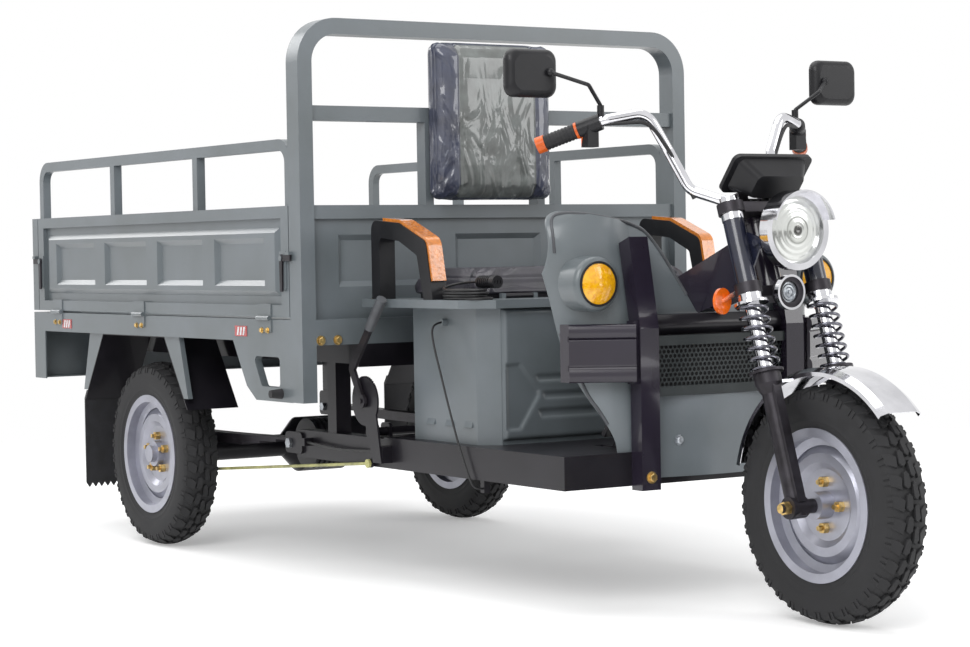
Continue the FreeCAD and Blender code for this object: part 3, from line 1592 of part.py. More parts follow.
# Leaf springs and rear axle
def leaf(index):
    """One leaf of the right spring, a strip between two concentric arcs."""
    half_angle = (leaf_half_span - index * leaf_step) / leaf_curve_radius

    def at(radius, angle):
        return V(rear_axle_x + radius * math.sin(angle), -beam_centre - leaf_width / 2,
                 leaf_curve_centre_z - radius * math.cos(angle))

    top = leaf_curve_radius + index * leaf_thickness
    low = top + leaf_thickness
    wire = Part.Wire([
        Part.Arc(at(top, -half_angle), at(top, 0), at(top, half_angle)).toShape(),
        Part.makeLine(at(top, half_angle), at(low, half_angle)),
        Part.Arc(at(low, half_angle), at(low, 0), at(low, -half_angle)).toShape(),
        Part.makeLine(at(low, -half_angle), at(top, -half_angle)),
    ])
    return Part.Face(wire).extrude(V(0, leaf_width, 0))


def leaf_spring():
    """The right spring: a main leaf with rolled eyes and shorter leaves under it."""
    main = leaf(0)
    bolts = []
    for eye_x in (leaf_front_x, leaf_rear_x):
        start = V(eye_x, -beam_centre - leaf_width / 2, leaf_eye_height)
        across = V(0, leaf_width, 0)
        main = main.fuse(rod(start, start + across, leaf_eye_radius))
        bolts.append(rod(start - V(0, overrun, 0), start + across + V(0, overrun, 0),
                         leaf_eye_bolt_radius + hinge_bore_gap))
    return [main.cut(Part.Compound(bolts))] + [leaf(index) for index in range(1, leaf_count)]


parts["leaf_springs"] = [half for piece in leaf_spring() for half in pair(piece)]


def axle_tube():
    """The right axle tube with its brake plate and outer bearing."""
    plate_outer = half_track - rear_drum_offset - rear_drum_depth - running_gap
    plate_inner = plate_outer - rear_brake_plate_thickness
    diff_end = diff_half_width + diff_cone
    tube = ring(V(0, -plate_inner, 0), V(0, -diff_end, 0), axle_tube_radius, axle_tube_bore)
    plate = ring(V(0, -plate_outer, 0), V(0, -plate_inner, 0), rear_brake_plate_radius, axle_tube_bore)
    bearing = ring(V(0, -plate_outer, 0), V(0, -plate_outer + axle_bearing_width, 0), axle_tube_bore,
                   half_shaft_radius + running_gap)
    return [joined([tube, plate]), bearing]


def drive_unit():
    """Differential, gearbox and ribbed motor in one casting."""
    diff_end = diff_half_width + diff_cone
    housing_body = turned_y([
        (0, -diff_end), (axle_tube_radius, -diff_end), (diff_radius, -diff_half_width),
        (diff_radius, diff_half_width), (axle_tube_radius, diff_end), (0, diff_end),
    ])
    motor_axis = V(motor_forward, 0, motor_rise)
    start = V(0, diff_half_width - motor_length, 0) + motor_axis
    motor = rod(start, start + V(0, motor_length, 0), motor_radius)
    pitch = (motor_length - diff_half_width) / (motor_fin_count + 1)
    for index in range(motor_fin_count):
        low = start + V(0, (index + 1 / 2) * pitch, 0)
        gap = ring(low, low + V(0, pitch / 2, 0), motor_radius + overrun, motor_radius - motor_fin_depth)
        motor = motor.cut(gap)
    gearbox = along_y([
        (0, -diff_radius * 3 / 4), (motor_forward, motor_rise - motor_radius * 3 / 4),
        (motor_forward, motor_rise + motor_radius * 3 / 4), (0, diff_radius * 3 / 4),
    ], 0, diff_half_width)
    return joined([housing_body, gearbox, motor])


def spring_seat():
    """The right spring's pad on the axle tube with its top plate, two U-bolts and four nuts."""
    pad_reach = axle_tube_radius + ubolt_radius * 4
    pad = block(-pad_reach, pad_reach, -beam_centre - leaf_width / 2, -beam_centre + leaf_width / 2,
                axle_tube_radius / 2, leaf_bottom - tyre_radius)
    pad = pad.cut(rod(V(0, -half_track, 0), V(0, 0, 0), axle_tube_radius))
    plate_rise = pad_reach ** 2 / (2 * leaf_curve_radius)
    plate_low = leaf_stack_top + plate_rise - tyre_radius
    plate_top = plate_low + ubolt_nut
    leg_offset = leaf_width / 2 + ubolt_radius + running_gap
    arch_radius = axle_tube_radius + ubolt_radius
    leg_top = plate_top + ubolt_nut + ubolt_radius
    plate = block(-pad_reach, pad_reach, -beam_centre - leg_offset, -beam_centre + leg_offset,
                  plate_low, plate_top)
    bolts, nuts = [], []
    for y in (-beam_centre - leg_offset, -beam_centre + leg_offset):
        bend = Part.Arc(V(-arch_radius, y, 0), V(0, y, -arch_radius), V(arch_radius, y, 0)).toShape()
        wire = Part.Wire([Part.makeLine(V(-arch_radius, y, leg_top), V(-arch_radius, y, 0)), bend,
                          Part.makeLine(V(arch_radius, y, 0), V(arch_radius, y, leg_top))])
        bolts.append(swept(wire, ubolt_radius))
        for x in (-arch_radius, arch_radius):
            nuts.append(hexagon(ubolt_radius * 7 / 2, ubolt_nut, V(x, y, plate_top), AXIS_Z))
    holes = Part.Compound(bolts)
    return [pad.cut(holes), plate.cut(holes)] + bolts + [one.cut(holes) for one in nuts]


right_axle = axle_tube() + spring_seat()
axle_pieces = [drive_unit()] + [half for piece in right_axle for half in pair(piece)]
parts["rear_axle"] = moved(axle_pieces, rear_axle)


# Foot brake: pedal, cross shaft and the rod towards the right rear drum
def pedal():
    half = pedal_arm_thickness / 2
    arm = block(-pedal_arm_width / 2, pedal_arm_width / 2, -half, half, -pedal_tail, pedal_reach)
    boss = rod(V(0, -half, 0), V(0, half, 0), pedal_boss_radius)
    pad = block(-pedal_arm_width / 2 - pedal_pad_thickness, -pedal_arm_width / 2, -pedal_pad_width / 2,
                pedal_pad_width / 2, pedal_reach - pedal_pad_length, pedal_reach)
    groove_pitch = pedal_pad_length / 4
    grooves = []
    for index in range(1, 4):
        z = pedal_reach - pedal_pad_length + index * groove_pitch
        grooves.append(block(-pedal_arm_width / 2 - pedal_pad_thickness - overrun,
                             -pedal_arm_width / 2 - pedal_pad_thickness * 3 / 4,
                             -pedal_pad_width, pedal_pad_width, z - groove_pitch / 6, z + groove_pitch / 6))
    bore = rod(V(0, -half - overrun, 0), V(0, half + overrun, 0), pedal_pin_radius + hinge_bore_gap)
    body = joined([arm, boss, pad]).cut(bore).cut(Part.Compound(grooves))
    body.rotate(ORIGIN, AXIS_Y, half_turn_deg / 2 - pedal_angle_deg)
    body.translate(pedal_pivot)
    return body


parts["brake_pedal"] = [pedal()]
arm_pin = shaft_axis - V(0, 0, brake_arm_length)


def brake_shaft():
    outer, inner = V(0, -brake_shaft_outer, 0), V(0, -brake_shaft_inner, 0)
    bar = rod(shaft_axis + outer, shaft_axis + inner, brake_shaft_radius)
    thick = V(0, brake_arm_thickness, 0)
    half = brake_arm_width / 2
    web = block(shaft_axis.x - half, shaft_axis.x + half, -brake_shaft_outer,
                -brake_shaft_outer + brake_arm_thickness, arm_pin.z, shaft_axis.z)
    ends = [rod(shaft_axis + outer, shaft_axis + outer + thick, half * 3 / 2),
            rod(arm_pin + outer, arm_pin + outer + thick, half)]
    hole = rod(arm_pin + outer - thick, arm_pin + outer + thick * 2, brake_hole_radius + hinge_bore_gap)
    return joined([bar, web] + ends).cut(hole)


def brake_rod():
    """The rod with the eye that hooks into the cross shaft's arm."""
    centre_y = -brake_shaft_outer - running_gap - brake_rod_radius
    front = V(arm_pin.x, centre_y, arm_pin.z)
    rear = V(behind(brake_rod_rear_setback), centre_y, brake_rod_rear_height)
    half = V(0, brake_rod_radius * 3 / 4, 0)
    eye = rod(front - half, front + half, brake_arm_width / 2)
    pin = rod(front, front + V(0, brake_rod_radius + running_gap + brake_arm_thickness, 0), brake_hole_radius)
    return joined([rod(front, rear, brake_rod_radius), eye, pin])


parts["brake_shaft"] = [brake_shaft()]
parts["brake_rod"] = [brake_rod()]


# Handbrake lever
def handbrake():
    """A cranked flat lever with a round grip."""
    pivot = V(behind(handbrake_pivot_setback), handbrake_y, handbrake_pivot_height)
    bend = V(behind(handbrake_bend_setback), handbrake_y, handbrake_bend_height)
    top = V(behind(handbrake_top_setback), handbrake_y, handbrake_top_height)
    half, thick = handbrake_bar_width / 2, V(0, handbrake_bar_thickness, 0)
    face = -thick / 2

    def strip(start, end):
        way = (end - start).normalize()
        side = V(way.z, 0, -way.x) * half
        corners = [start + side, end + side, end - side, start - side]
        return Part.Face(Part.makePolygon([c + face for c in corners + corners[:1]])).extrude(thick)

    pieces = [strip(pivot, bend), strip(bend, top)]
    pieces += [rod(point + face, point + face + thick, half) for point in (bend,)]
    pieces.append(rod(pivot + face, pivot + face + thick, half * 3 / 2))
    grip_way = (top - bend).normalize()
    pieces.append(rod(top - grip_way * handbrake_grip_length, top, handbrake_grip_radius))
    bore = rod(pivot + face - thick, pivot + face + thick * 2, handbrake_pin_radius + hinge_bore_gap)
    return joined(pieces).cut(bore)


parts["handbrake_lever"] = [handbrake()]


# Load bed: frame members, gussets, tail board, floor sheet
bed_front_x = hoop_front_x - front_beam_depth
bed_inner = half_bed - bed_beam_width
bed_cross_top = bed_top - bed_floor_sheet


def gusset():
    """The right corner plate between the hoop leg and the bed beam, with its window."""
    def at(run, drop):
        return (hoop_rear_x - run, bed_beam_bottom - drop)

    knee_run = gusset_foot + gusset_knee * 3 / 2
    plate = along_y([at(0, 0), at(gusset_length, 0), at(knee_run, gusset_depth - gusset_knee),
                     at(gusset_foot, gusset_depth), at(0, gusset_depth)],
                    -half_bed, -half_bed + gusset_thickness)
    window = along_y([
        at(gusset_window_front, gusset_window_top), at(gusset_length - gusset_window_back_top, gusset_window_top),
        at(gusset_foot - gusset_window_back_bottom, gusset_depth - gusset_window_bottom),
        at(gusset_window_front, gusset_depth - gusset_window_bottom),
    ], -half_bed - overrun, -half_bed + gusset_thickness + overrun, gusset_window_radius)
    return plate.cut(window)


def bed_members():
    members = pair(block(bed_rear_x, hoop_rear_x, -half_bed, -bed_inner, bed_beam_bottom, bed_top))
    members.append(block(bed_rear_x, bed_rear_x + bed_beam_width, -bed_inner, bed_inner,
                         bed_beam_bottom, bed_top))
    members.append(block(bed_front_x, hoop_front_x, -bed_inner, bed_inner, cross_beam_top, bed_top))
    pitch = (bed_front_x - bed_rear_x - bed_beam_width) / (bed_cross_count + 1)
    for index in range(bed_cross_count):
        middle = bed_rear_x + bed_beam_width + (index + 1) * pitch
        members.append(block(middle - bed_cross_width / 2, middle + bed_cross_width / 2,
                             -bed_inner, bed_inner, bed_beam_bottom, bed_cross_top))
    board = block(bed_rear_x, bed_rear_x + tail_board_sheet, -half_bed, half_bed,
                  tail_board_bottom, bed_beam_bottom)
    sides = pair(block(bed_rear_x, bed_rear_x + tail_board_return, -half_bed, -half_bed + tail_board_sheet,
                       tail_board_bottom, bed_beam_bottom))
    lip = block(bed_rear_x, bed_rear_x + tail_board_return / 3, -half_bed, half_bed,
                tail_board_bottom, tail_board_bottom + tail_board_sheet)
    return members + pair(gusset()) + [joined([board, lip] + sides)]


parts["bed_floor"] = [block(bed_rear_x + bed_beam_width, bed_front_x, -bed_inner, bed_inner,
                            bed_cross_top, bed_top)]


# Headboard hoop with its bars, and the pressed panel between its legs
def hoop():
    outer = [(-half_bed, hoop_leg_bottom), (-half_bed, hoop_top),
             (half_bed, hoop_top), (half_bed, hoop_leg_bottom)]
    bent = [0, hoop_corner_radius, hoop_corner_radius, 0]
    inside = half_bed - hoop_tube
    inner = [(-inside, hoop_leg_bottom - overrun), (-inside, hoop_top - hoop_tube),
             (inside, hoop_top - hoop_tube), (inside, hoop_leg_bottom - overrun)]
    inner_bend = hoop_corner_radius - hoop_tube
    frame = along_x(outer, hoop_rear_x, hoop_front_x, bent)
    return frame.cut(along_x(inner, hoop_rear_x - overrun, hoop_front_x + overrun,
                             [0, inner_bend, inner_bend, 0]))


hoop_bar_inset = (hoop_depth - hoop_bar_depth) / 2
bar_rear_x = hoop_rear_x + hoop_bar_inset
bar_front_x = hoop_front_x - hoop_bar_inset
mid_bar_bottom = mid_bar_top - mid_bar_height
low_bar_bottom = low_bar_top - low_bar_height
head_bars = [
    block(bar_rear_x, bar_front_x, -bed_inner, bed_inner, mid_bar_bottom, mid_bar_top),
    block(bar_rear_x, bar_front_x, -bed_inner, bed_inner, low_bar_bottom, low_bar_top),
]
for side in (-1, 1):
    bar_y = backrest_centre_y + side * backrest_bar_half_spacing
    head_bars.append(block(bar_rear_x, bar_front_x, bar_y - backrest_bar_width / 2,
                           bar_y + backrest_bar_width / 2, low_bar_top, mid_bar_bottom))
parts["headboard"] = [hoop()] + head_bars


def facing_x(shape, x, y):
    """Turns a panel built facing -Y so that its inner side looks towards +X, its start at y."""
    turned = shape.copy()
    turned.rotate(ORIGIN, AXIS_Z, -half_turn_deg / 2)
    turned.translate(V(x, y, 0))
    return turned


def head_panel():
    """A pressed sheet with three shallow recesses towards the driver."""
    width, thick = 2 * bed_inner, head_panel_field + head_panel_sheet
    body = block(0, width, 0, thick, bed_top, low_bar_bottom)
    pitch = (width - head_panel_web) / head_panel_recesses
    for index in range(head_panel_recesses):
        start = head_panel_web + index * pitch
        body = body.cut(frustum(start, start + pitch - head_panel_web, bed_top + 2 * head_panel_margin,
                                low_bar_bottom - head_panel_margin, thick, head_panel_sheet, press_bevel))
    return facing_x(body, bar_rear_x + hoop_bar_inset, bed_inner)


parts["headboard_panel"] = [head_panel()]


# Drop sides and tailgate, built with the outer face on Y = 0 and the foot on Z = 0
def pressed_panel(length, pockets):
    """A framed panel: recessed sheet, raised field and a row of bevelled pockets."""
    body = block(0, length, 0, panel_thickness, 0, panel_height)
    inside = rectangle(panel_post, length - panel_post, panel_rail, panel_height - panel_rail)
    sheet_back = panel_recess + panel_sheet
    body = body.cut(along_y(inside, -overrun, panel_recess))
    body = body.cut(along_y(inside, sheet_back, panel_thickness + overrun))
    x0, x1 = panel_post + panel_field_margin, length - panel_post - panel_field_margin
    z0, z1 = panel_rail + panel_field_margin, panel_height - panel_rail - panel_field_margin
    face = panel_recess - panel_field_height
    field = frustum(x0, x1, z0, z1, panel_recess, face, press_bevel)
    pitch = (x1 - x0 - panel_pocket_web) / pockets
    cuts = []
    for index in range(pockets):
        start = x0 + panel_pocket_web + index * pitch
        cuts.append(frustum(start, start + pitch - panel_pocket_web, z0 + panel_pocket_margin,
                            z1 - panel_pocket_margin, face, panel_recess, press_bevel))
    return joined([body, field.cut(Part.Compound(cuts))])


def knuckle(start, end, radius, bore=0):
    first, last = V(start, -hinge_offset, -panel_seam / 2), V(end, -hinge_offset, -panel_seam / 2)
    return ring(first, last, radius, bore) if bore else rod(first, last, radius)


def hinge_halves(middle):
    """The fixed half with its pin and the swinging half of one butt hinge."""
    half, inner = hinge_length / 2, hinge_middle / 2
    axis_z = -panel_seam / 2
    clear = hinge_barrel_radius + running_gap
    wide = inner + running_gap
    fixed = joined([
        block(middle - half, middle + half, -hinge_leaf, 0, axis_z - hinge_leaf_height, axis_z - running_gap),
        knuckle(middle - half, middle - wide, hinge_barrel_radius),
        knuckle(middle + wide, middle + half, hinge_barrel_radius),
    ]).cut(knuckle(middle - wide, middle + wide, clear))
    fixed = fixed.fuse(knuckle(middle - half, middle + half, hinge_pin_radius))
    swing = block(middle - half, middle + half, -hinge_leaf, 0, axis_z + running_gap, axis_z + hinge_leaf_height)
    swing = joined([swing, knuckle(middle - inner, middle + inner, hinge_barrel_radius)])
    swing = swing.cut(knuckle(middle - half - overrun, middle - inner, clear))
    swing = swing.cut(knuckle(middle + inner, middle + half + overrun, clear))
    pin_bore = hinge_pin_radius + hinge_bore_gap
    swing = swing.cut(knuckle(middle - half - overrun, middle + half + overrun, pin_bore))
    swing = swing.cut(block(middle - half - overrun, middle + half + overrun, 0, panel_seam, axis_z, 0))
    return fixed, swing


latch_pivot_z = panel_height - latch_pivot_drop
latch_face = latch_plate + running_gap
latch_back = latch_face + latch_lever_thickness


def latch_mount(pivot_x):
    """The plate on the panel with the pin that the latch lever turns on."""
    half = latch_width / 2
    low = latch_pivot_z + half - latch_plate_height
    plate = along_y(rectangle(pivot_x - half, pivot_x + half, low, latch_pivot_z + half), -latch_plate, 0,
                    latch_pivot_radius)
    pin = rod(V(pivot_x, -latch_plate, latch_pivot_z), V(pivot_x, -latch_back - running_gap, latch_pivot_z),
              latch_pivot_radius)
    head = rod(V(pivot_x, -latch_back - running_gap, latch_pivot_z),
               V(pivot_x, -latch_back - running_gap - latch_plate / 2, latch_pivot_z), latch_pivot_radius * 3 / 2)
    return joined([plate, pin, head])


def latch_lever(pivot_x, toward):
    """A hanging handle with a nose that reaches past the panel's end."""
    half = latch_lever_width / 2
    reach = toward * (latch_inset + latch_nose_length)
    x0, x1 = sorted((pivot_x, pivot_x + reach))
    nose = block(x0, x1, -latch_back, -latch_face, latch_pivot_z - half, latch_pivot_z + half)
    handle = along_y([
        (pivot_x - half, latch_pivot_z), (pivot_x + half, latch_pivot_z),
        (pivot_x + half * 3 / 4, latch_pivot_z - latch_lever_length),
        (pivot_x - half * 3 / 4, latch_pivot_z - latch_lever_length),
    ], -latch_back, -latch_face, [0, 0, half / 2, half / 2])
    boss = rod(V(pivot_x, -latch_back, latch_pivot_z), V(pivot_x, -latch_face, latch_pivot_z), half * 5 / 4)
    bore = rod(V(pivot_x, -latch_back - overrun, latch_pivot_z), V(pivot_x, 0, latch_pivot_z),
               latch_pivot_radius + hinge_bore_gap)
    return joined([nose, handle, boss]).cut(bore)


def keeper(x0, x1):
    """The catch above a latch nose, standing out of the face that it is fixed to."""
    low = latch_pivot_z + latch_lever_width / 2 + running_gap
    return block(x0, x1, -latch_back - latch_plate / 2, 0, low, low + keeper_thickness)


def guard_rail(length):
    """The tube hoop on a drop side with two upright posts, as separate pieces."""
    inset = (panel_thickness - side_rail_depth) / 2
    low, high = panel_height, panel_height + side_rail_height
    bent = [0, 0, side_rail_radius, side_rail_radius]
    inner_bend = side_rail_radius - side_rail_tube
    outer = along_y(rectangle(0, length, low, high), inset, inset + side_rail_depth, bent)
    inner = along_y(rectangle(side_rail_tube, length - side_rail_tube, low - overrun, high - side_rail_tube),
                    inset - overrun, inset + side_rail_depth + overrun, [0, 0, inner_bend, inner_bend])
    pieces = [outer.cut(inner)]
    for third in (1, 2):
        middle = length * third / 3
        pieces.append(block(middle - side_rail_tube / 2, middle + side_rail_tube / 2, inset,
                            inset + side_rail_depth, low, high - side_rail_tube))
    return pieces


side_length = panel_front_x - panel_rear_x
right_side_place = V(panel_rear_x, -half_bed, panel_bottom)
front_pivot = side_length - latch_inset
side_pieces = [pressed_panel(side_length, panel_pocket_count)] + guard_rail(side_length)
side_pieces += [latch_mount(front_pivot), latch_mount(latch_inset)]
fixed_hinges = []
for share in side_hinge_shares:
    fixed_half, swing_half = hinge_halves(side_length * share)
    fixed_hinges.append(fixed_half)
    side_pieces.append(swing_half)
parts["right_side_panel"] = moved(side_pieces, right_side_place)
parts["left_side_panel"] = [mirrored(shape) for shape in parts["right_side_panel"]]
parts["latch_right_front"] = moved([latch_lever(front_pivot, 1)], right_side_place)
parts["latch_right_rear"] = moved([latch_lever(latch_inset, -1)], right_side_place)
parts["latch_left_front"] = [mirrored(shape) for shape in parts["latch_right_front"]]
parts["latch_left_rear"] = [mirrored(shape) for shape in parts["latch_right_rear"]]

nose_tip = latch_nose_length - panel_gap
front_keeper = keeper(side_length + panel_gap, side_length + panel_gap + keeper_width)
rear_keeper = keeper(-panel_gap - nose_tip, -panel_gap - nose_tip + keeper_width)
right_fixed = moved(fixed_hinges + [front_keeper], right_side_place)
gate_pieces = [pressed_panel(bed_width, panel_pocket_count - 1)]
gate_fixed = []
for share in gate_hinge_shares:
    fixed_half, swing_half = hinge_halves(bed_width * share)
    gate_fixed.append(fixed_half)
    gate_pieces.append(swing_half)


def on_gate(shapes):
    return [facing_x(shape, bed_rear_x, half_bed) for shape in moved(shapes, V(0, 0, panel_bottom))]


gate_keepers = moved([rear_keeper], right_side_place)
parts["tailgate"] = on_gate(gate_pieces) + [half for piece in gate_keepers for half in pair(piece)]
side_fixed = [half for piece in right_fixed for half in pair(piece)]
parts["bed_frame"] = bed_members() + side_fixed + on_gate(gate_fixed)


# Rear mudguards, mud flaps, rubber stops and tail lamps
def rear_guard():
    """A folded sheet over the right rear wheel."""
    slope = guard_sheet * 5 / 4
    outer = [(-guard_half_bottom, guard_bottom), (-guard_half_top, bed_beam_bottom),
             (guard_half_top, bed_beam_bottom), (guard_half_bottom, guard_bottom)]
    inner = [
        (guard_half_bottom - slope, guard_bottom),
        (guard_half_top - slope / 2, bed_beam_bottom - guard_sheet),
        (slope / 2 - guard_half_top, bed_beam_bottom - guard_sheet),
        (slope - guard_half_bottom, guard_bottom),
    ]
    points = [(rear_axle_x + x, z) for x, z in outer + inner]
    return along_y(points, -half_bed + gusset_thickness / 2, -guard_inner)


def guard_brace(side):
    """A tapered brace on the outer face of one slope of the right mudguard."""
    foot = guard_bottom + flap_clip
    share = (foot - guard_bottom) / (bed_beam_bottom - guard_bottom)
    near = guard_half_bottom + (guard_half_top - guard_half_bottom) * share
    outline = [(guard_half_top, bed_beam_bottom), (guard_half_top + brace_top_width, bed_beam_bottom),
               (near + brace_foot_width, foot), (near, foot)]
    y0 = -half_bed + gusset_thickness / 2
    return along_y([(rear_axle_x + side * x, z) for x, z in outline], y0, y0 + brace_thickness)


parts["rear_fenders"] = pair(rear_guard())
parts["bed_frame"] += pair(guard_brace(1)) + pair(guard_brace(-1))


def mud_flap():
    """The right flap: a strip on the mudguard's rear slope and a hanging sheet with a toothed hem."""
    way = V(guard_half_bottom - guard_half_top, 0, bed_beam_bottom - guard_bottom).normalize()
    out = V(-way.z, 0, way.x) * flap_thickness
    foot = V(rear_axle_x - guard_half_bottom, 0, guard_bottom)
    top = foot + way * flap_clip
    y0, y1 = -half_bed + gusset_thickness / 2, -guard_inner
    strip = along_y([(p.x, p.z) for p in (foot, top, top + out, foot + out)], y0, y1)
    pitch = (y1 - y0) / flap_tooth_count
    hem = [(y0, foot.z), (y0, flap_bottom + flap_tooth_height)]
    for index in range(flap_tooth_count):
        hem.append((y0 + (index + 1 / 2) * pitch, flap_bottom))
        hem.append((y0 + (index + 1) * pitch, flap_bottom + flap_tooth_height))
    sheet = along_x(hem + [(y1, foot.z)], foot.x + out.x, foot.x)
    corner = along_y([(foot.x, foot.z), (foot.x + out.x, foot.z), (foot.x + out.x, foot.z + out.z)], y0, y1)
    return joined([strip, sheet, corner])


stop_seat = V(behind(bump_stop_setback), -half_bed, bump_stop_height)
rubber_stop = Part.makeCone(bump_stop_radius, bump_stop_radius * 3 / 4, bump_stop_length, stop_seat, V(0, -1, 0))
parts["mud_flaps"] = pair(mud_flap()) + pair(rubber_stop)


def tail_lamp():
    low = tail_board_bottom + tail_lamp_rise
    outline = rectangle(-tail_lamp_centre_y - tail_lamp_width / 2, -tail_lamp_centre_y + tail_lamp_width / 2,
                        low, low + tail_lamp_height)
    return along_x(outline, bed_rear_x - tail_lamp_depth, bed_rear_x, tail_lamp_corner)


parts["tail_lamps"] = pair(tail_lamp())


# Seat box with its top plate, hinge ears and lead gland
lead_start_y = lead_coil_centre_y + lead_coil_half_width + lead_in
lead_start_x = behind(lead_coil_centre_setback)
lead_axis_z = seat_plate_top + lead_radius + running_gap
seat_hinge = V(behind(cushion_front_setback), 0, seat_plate_top + running_gap + cushion_hinge_radius)
seat_pin_radius = cushion_hinge_radius / 2


def box_plan(inset):
    """Plan of the seat box with its front corners cut off, drawn in by the inset."""
    front = behind(seat_box_front_setback) - inset
    rear = behind(seat_box_rear_setback) + inset
    half = seat_box_half_width - inset
    cut = seat_box_bevel - inset / 2
    return [(front, -half + cut), (front, half - cut), (front - cut, half), (rear, half),
            (rear, -half), (front - cut, -half)]


def louvres():
    hoods = []
    middle = (seat_box_front_setback + seat_box_rear_setback) / 2
    low = floor_surface + louvre_rise
    for index in range(louvre_count):
        x0 = behind(middle + (index - (louvre_count - 1) / 2) * louvre_pitch + louvre_width / 2)
        hood = along_x([(-seat_box_half_width, low), (-seat_box_half_width - louvre_depth, low),
                        (-seat_box_half_width, low + louvre_height)], x0, x0 + louvre_width)
        hoods += pair(hood)
    return hoods


def box_walls():
    """Folded walls with a raised bead round the front and pressed louvres low on the sides."""
    walls = along_z(box_plan(0), floor_surface, seat_plate_bottom)
    walls = walls.cut(along_z(box_plan(seat_box_sheet), floor_surface - overrun, seat_plate_bottom + overrun))
    front = behind(seat_box_front_setback)
    half = seat_box_half_width - 2 * seat_box_bevel
    low, high = floor_surface + seat_box_bevel, seat_plate_bottom - seat_box_bevel
    bead = along_x(rectangle(-half, half, low, high), front, front + seat_emboss)
    band = 2 * seat_emboss
    hollow = along_x(rectangle(-half + band, half - band, low + band, high - band), front - overrun,
                     front + seat_emboss + overrun)
    return joined([walls, bead.cut(hollow)] + louvres())


def seat_plate():
    front, rear = behind(seat_plate_front_setback), behind(seat_plate_rear_setback)
    half, cut = seat_plate_half_width, seat_plate_bevel
    plan = [(front, -half + cut), (front, half - cut), (front - cut, half), (rear, half), (rear, -half),
            (front - cut, -half)]
    plate = along_z(plan, seat_plate_bottom, seat_plate_top)
    hatch_half = cushion_half_width - seat_hatch_margin
    hatch = block(behind(seat_box_rear_setback - seat_hatch_margin / 2),
                  behind(cushion_front_setback + seat_hatch_margin / 2), -hatch_half, hatch_half,
                  seat_plate_bottom - overrun, seat_plate_top + overrun)
    return plate.cut(hatch)


def seat_hinge_ears():
    """Ears on the plate at both ends of each seat hinge, joined by its pin."""
    ears = []
    half = cushion_hinge_length / 2
    for side in (-1, 1):
        middle = side * cushion_hinge_half_spacing
        inner, outer = half + running_gap, half + cushion_hinge_radius * 2
        pieces = [rod(seat_hinge + V(0, middle - outer, 0),
                      seat_hinge + V(0, middle + outer, 0), seat_pin_radius)]
        for y0, y1 in ((middle - outer, middle - inner), (middle + inner, middle + outer)):
            pieces.append(block(seat_hinge.x - cushion_hinge_radius, seat_hinge.x + cushion_hinge_radius, y0, y1,
                                seat_plate_top, seat_hinge.z + cushion_hinge_radius))
        ears.append(joined(pieces))
    return ears


gland_front_x = lead_start_x - lead_tail
gland = block(gland_front_x - lead_gland_length, gland_front_x, lead_start_y - lead_gland_width / 2,
              lead_start_y + lead_gland_width / 2, seat_plate_top, seat_plate_top + lead_gland_width)
seat_lock_point = from_axle(seat_lead_route[0])
seat_lock = rod(V(seat_lock_point.x, -seat_box_half_width, seat_lock_point.z), seat_lock_point, bolt_head_radius)
parts["seat_box"] = [box_walls(), seat_plate(), gland, seat_lock] + seat_hinge_ears()


# Batteries on the floor inside the box, and the controller on its rear wall
def battery(index):
    pitch = battery_width + battery_gap
    middle = (index - (battery_count - 1) / 2) * pitch
    rear = behind(seat_box_front_setback + seat_box_bevel + battery_length)
    body = block(rear, rear + battery_length, middle - battery_width / 2, middle + battery_width / 2,
                 floor_surface, floor_surface + battery_height)
    top = floor_surface + battery_height
    posts = []
    for side in (-1, 1):
        foot = V(rear + battery_length / 2 + side * battery_length / 3, middle, top)
        posts.append(rod(foot, foot + V(0, 0, battery_terminal_height), battery_terminal_radius))
    return joined([body] + posts)


def controller():
    rear = behind(seat_box_rear_setback) + seat_box_sheet
    low = floor_surface + controller_rise
    body = block(rear, rear + controller_depth, -controller_width / 2, controller_width / 2, low,
                 low + controller_height)
    pitch = controller_width / controller_fin_count
    for index in range(1, controller_fin_count):
        y = -controller_width / 2 + index * pitch
        body = body.cut(block(rear + controller_depth - controller_fin_depth, rear + controller_depth + overrun,
                              y - controller_fin_width, y + controller_fin_width, low - overrun,
                              low + controller_height + overrun))
    return body


parts["battery_pack"] = [battery(index) for index in range(battery_count)] + [controller()]


# Seat cushion on its pan, and the backrest pad on its board
def seat_cushion():
    def level(z, inset):
        half = cushion_half_width - inset
        x0, x1 = behind(cushion_rear_setback) + inset, behind(cushion_front_setback) - inset
        return [V(x, y, z) for x, y in rectangle(x0, x1, -half, half)]

    base = seat_plate_top + running_gap
    pan_top = base + cushion_pan
    top = base + cushion_height
    rise = (top - pan_top) / 2
    pan_inset = 2 * cushion_draw_in
    pan = Part.Face(rounded(level(base, pan_inset), cushion_corner, True)).extrude(V(0, 0, cushion_pan))
    pad = soft_block([level(pan_top, cushion_draw_in), level(pan_top + rise * 2 / 3, 0),
                      level(pan_top + rise * 3 / 2, cushion_draw_in),
                      level(top, cushion_crown_inset)], cushion_corner)
    pieces = [pan, pad]
    bore = seat_pin_radius + hinge_bore_gap
    across = V(0, cushion_hinge_length / 2, 0)
    for side in (-1, 1):
        middle = seat_hinge + V(0, side * cushion_hinge_half_spacing, 0)
        tongue = block(middle.x - pan_inset - cushion_pan, middle.x, middle.y - across.y, middle.y + across.y,
                       base, base + cushion_hinge_radius)
        barrel = rod(middle - across, middle + across, cushion_hinge_radius)
        hole = rod(middle - across * 2, middle + across * 2, bore)
        pan = joined([pan, tongue, barrel]).cut(hole)
    return [pan, pad]


parts["seat_cushion"] = seat_cushion()


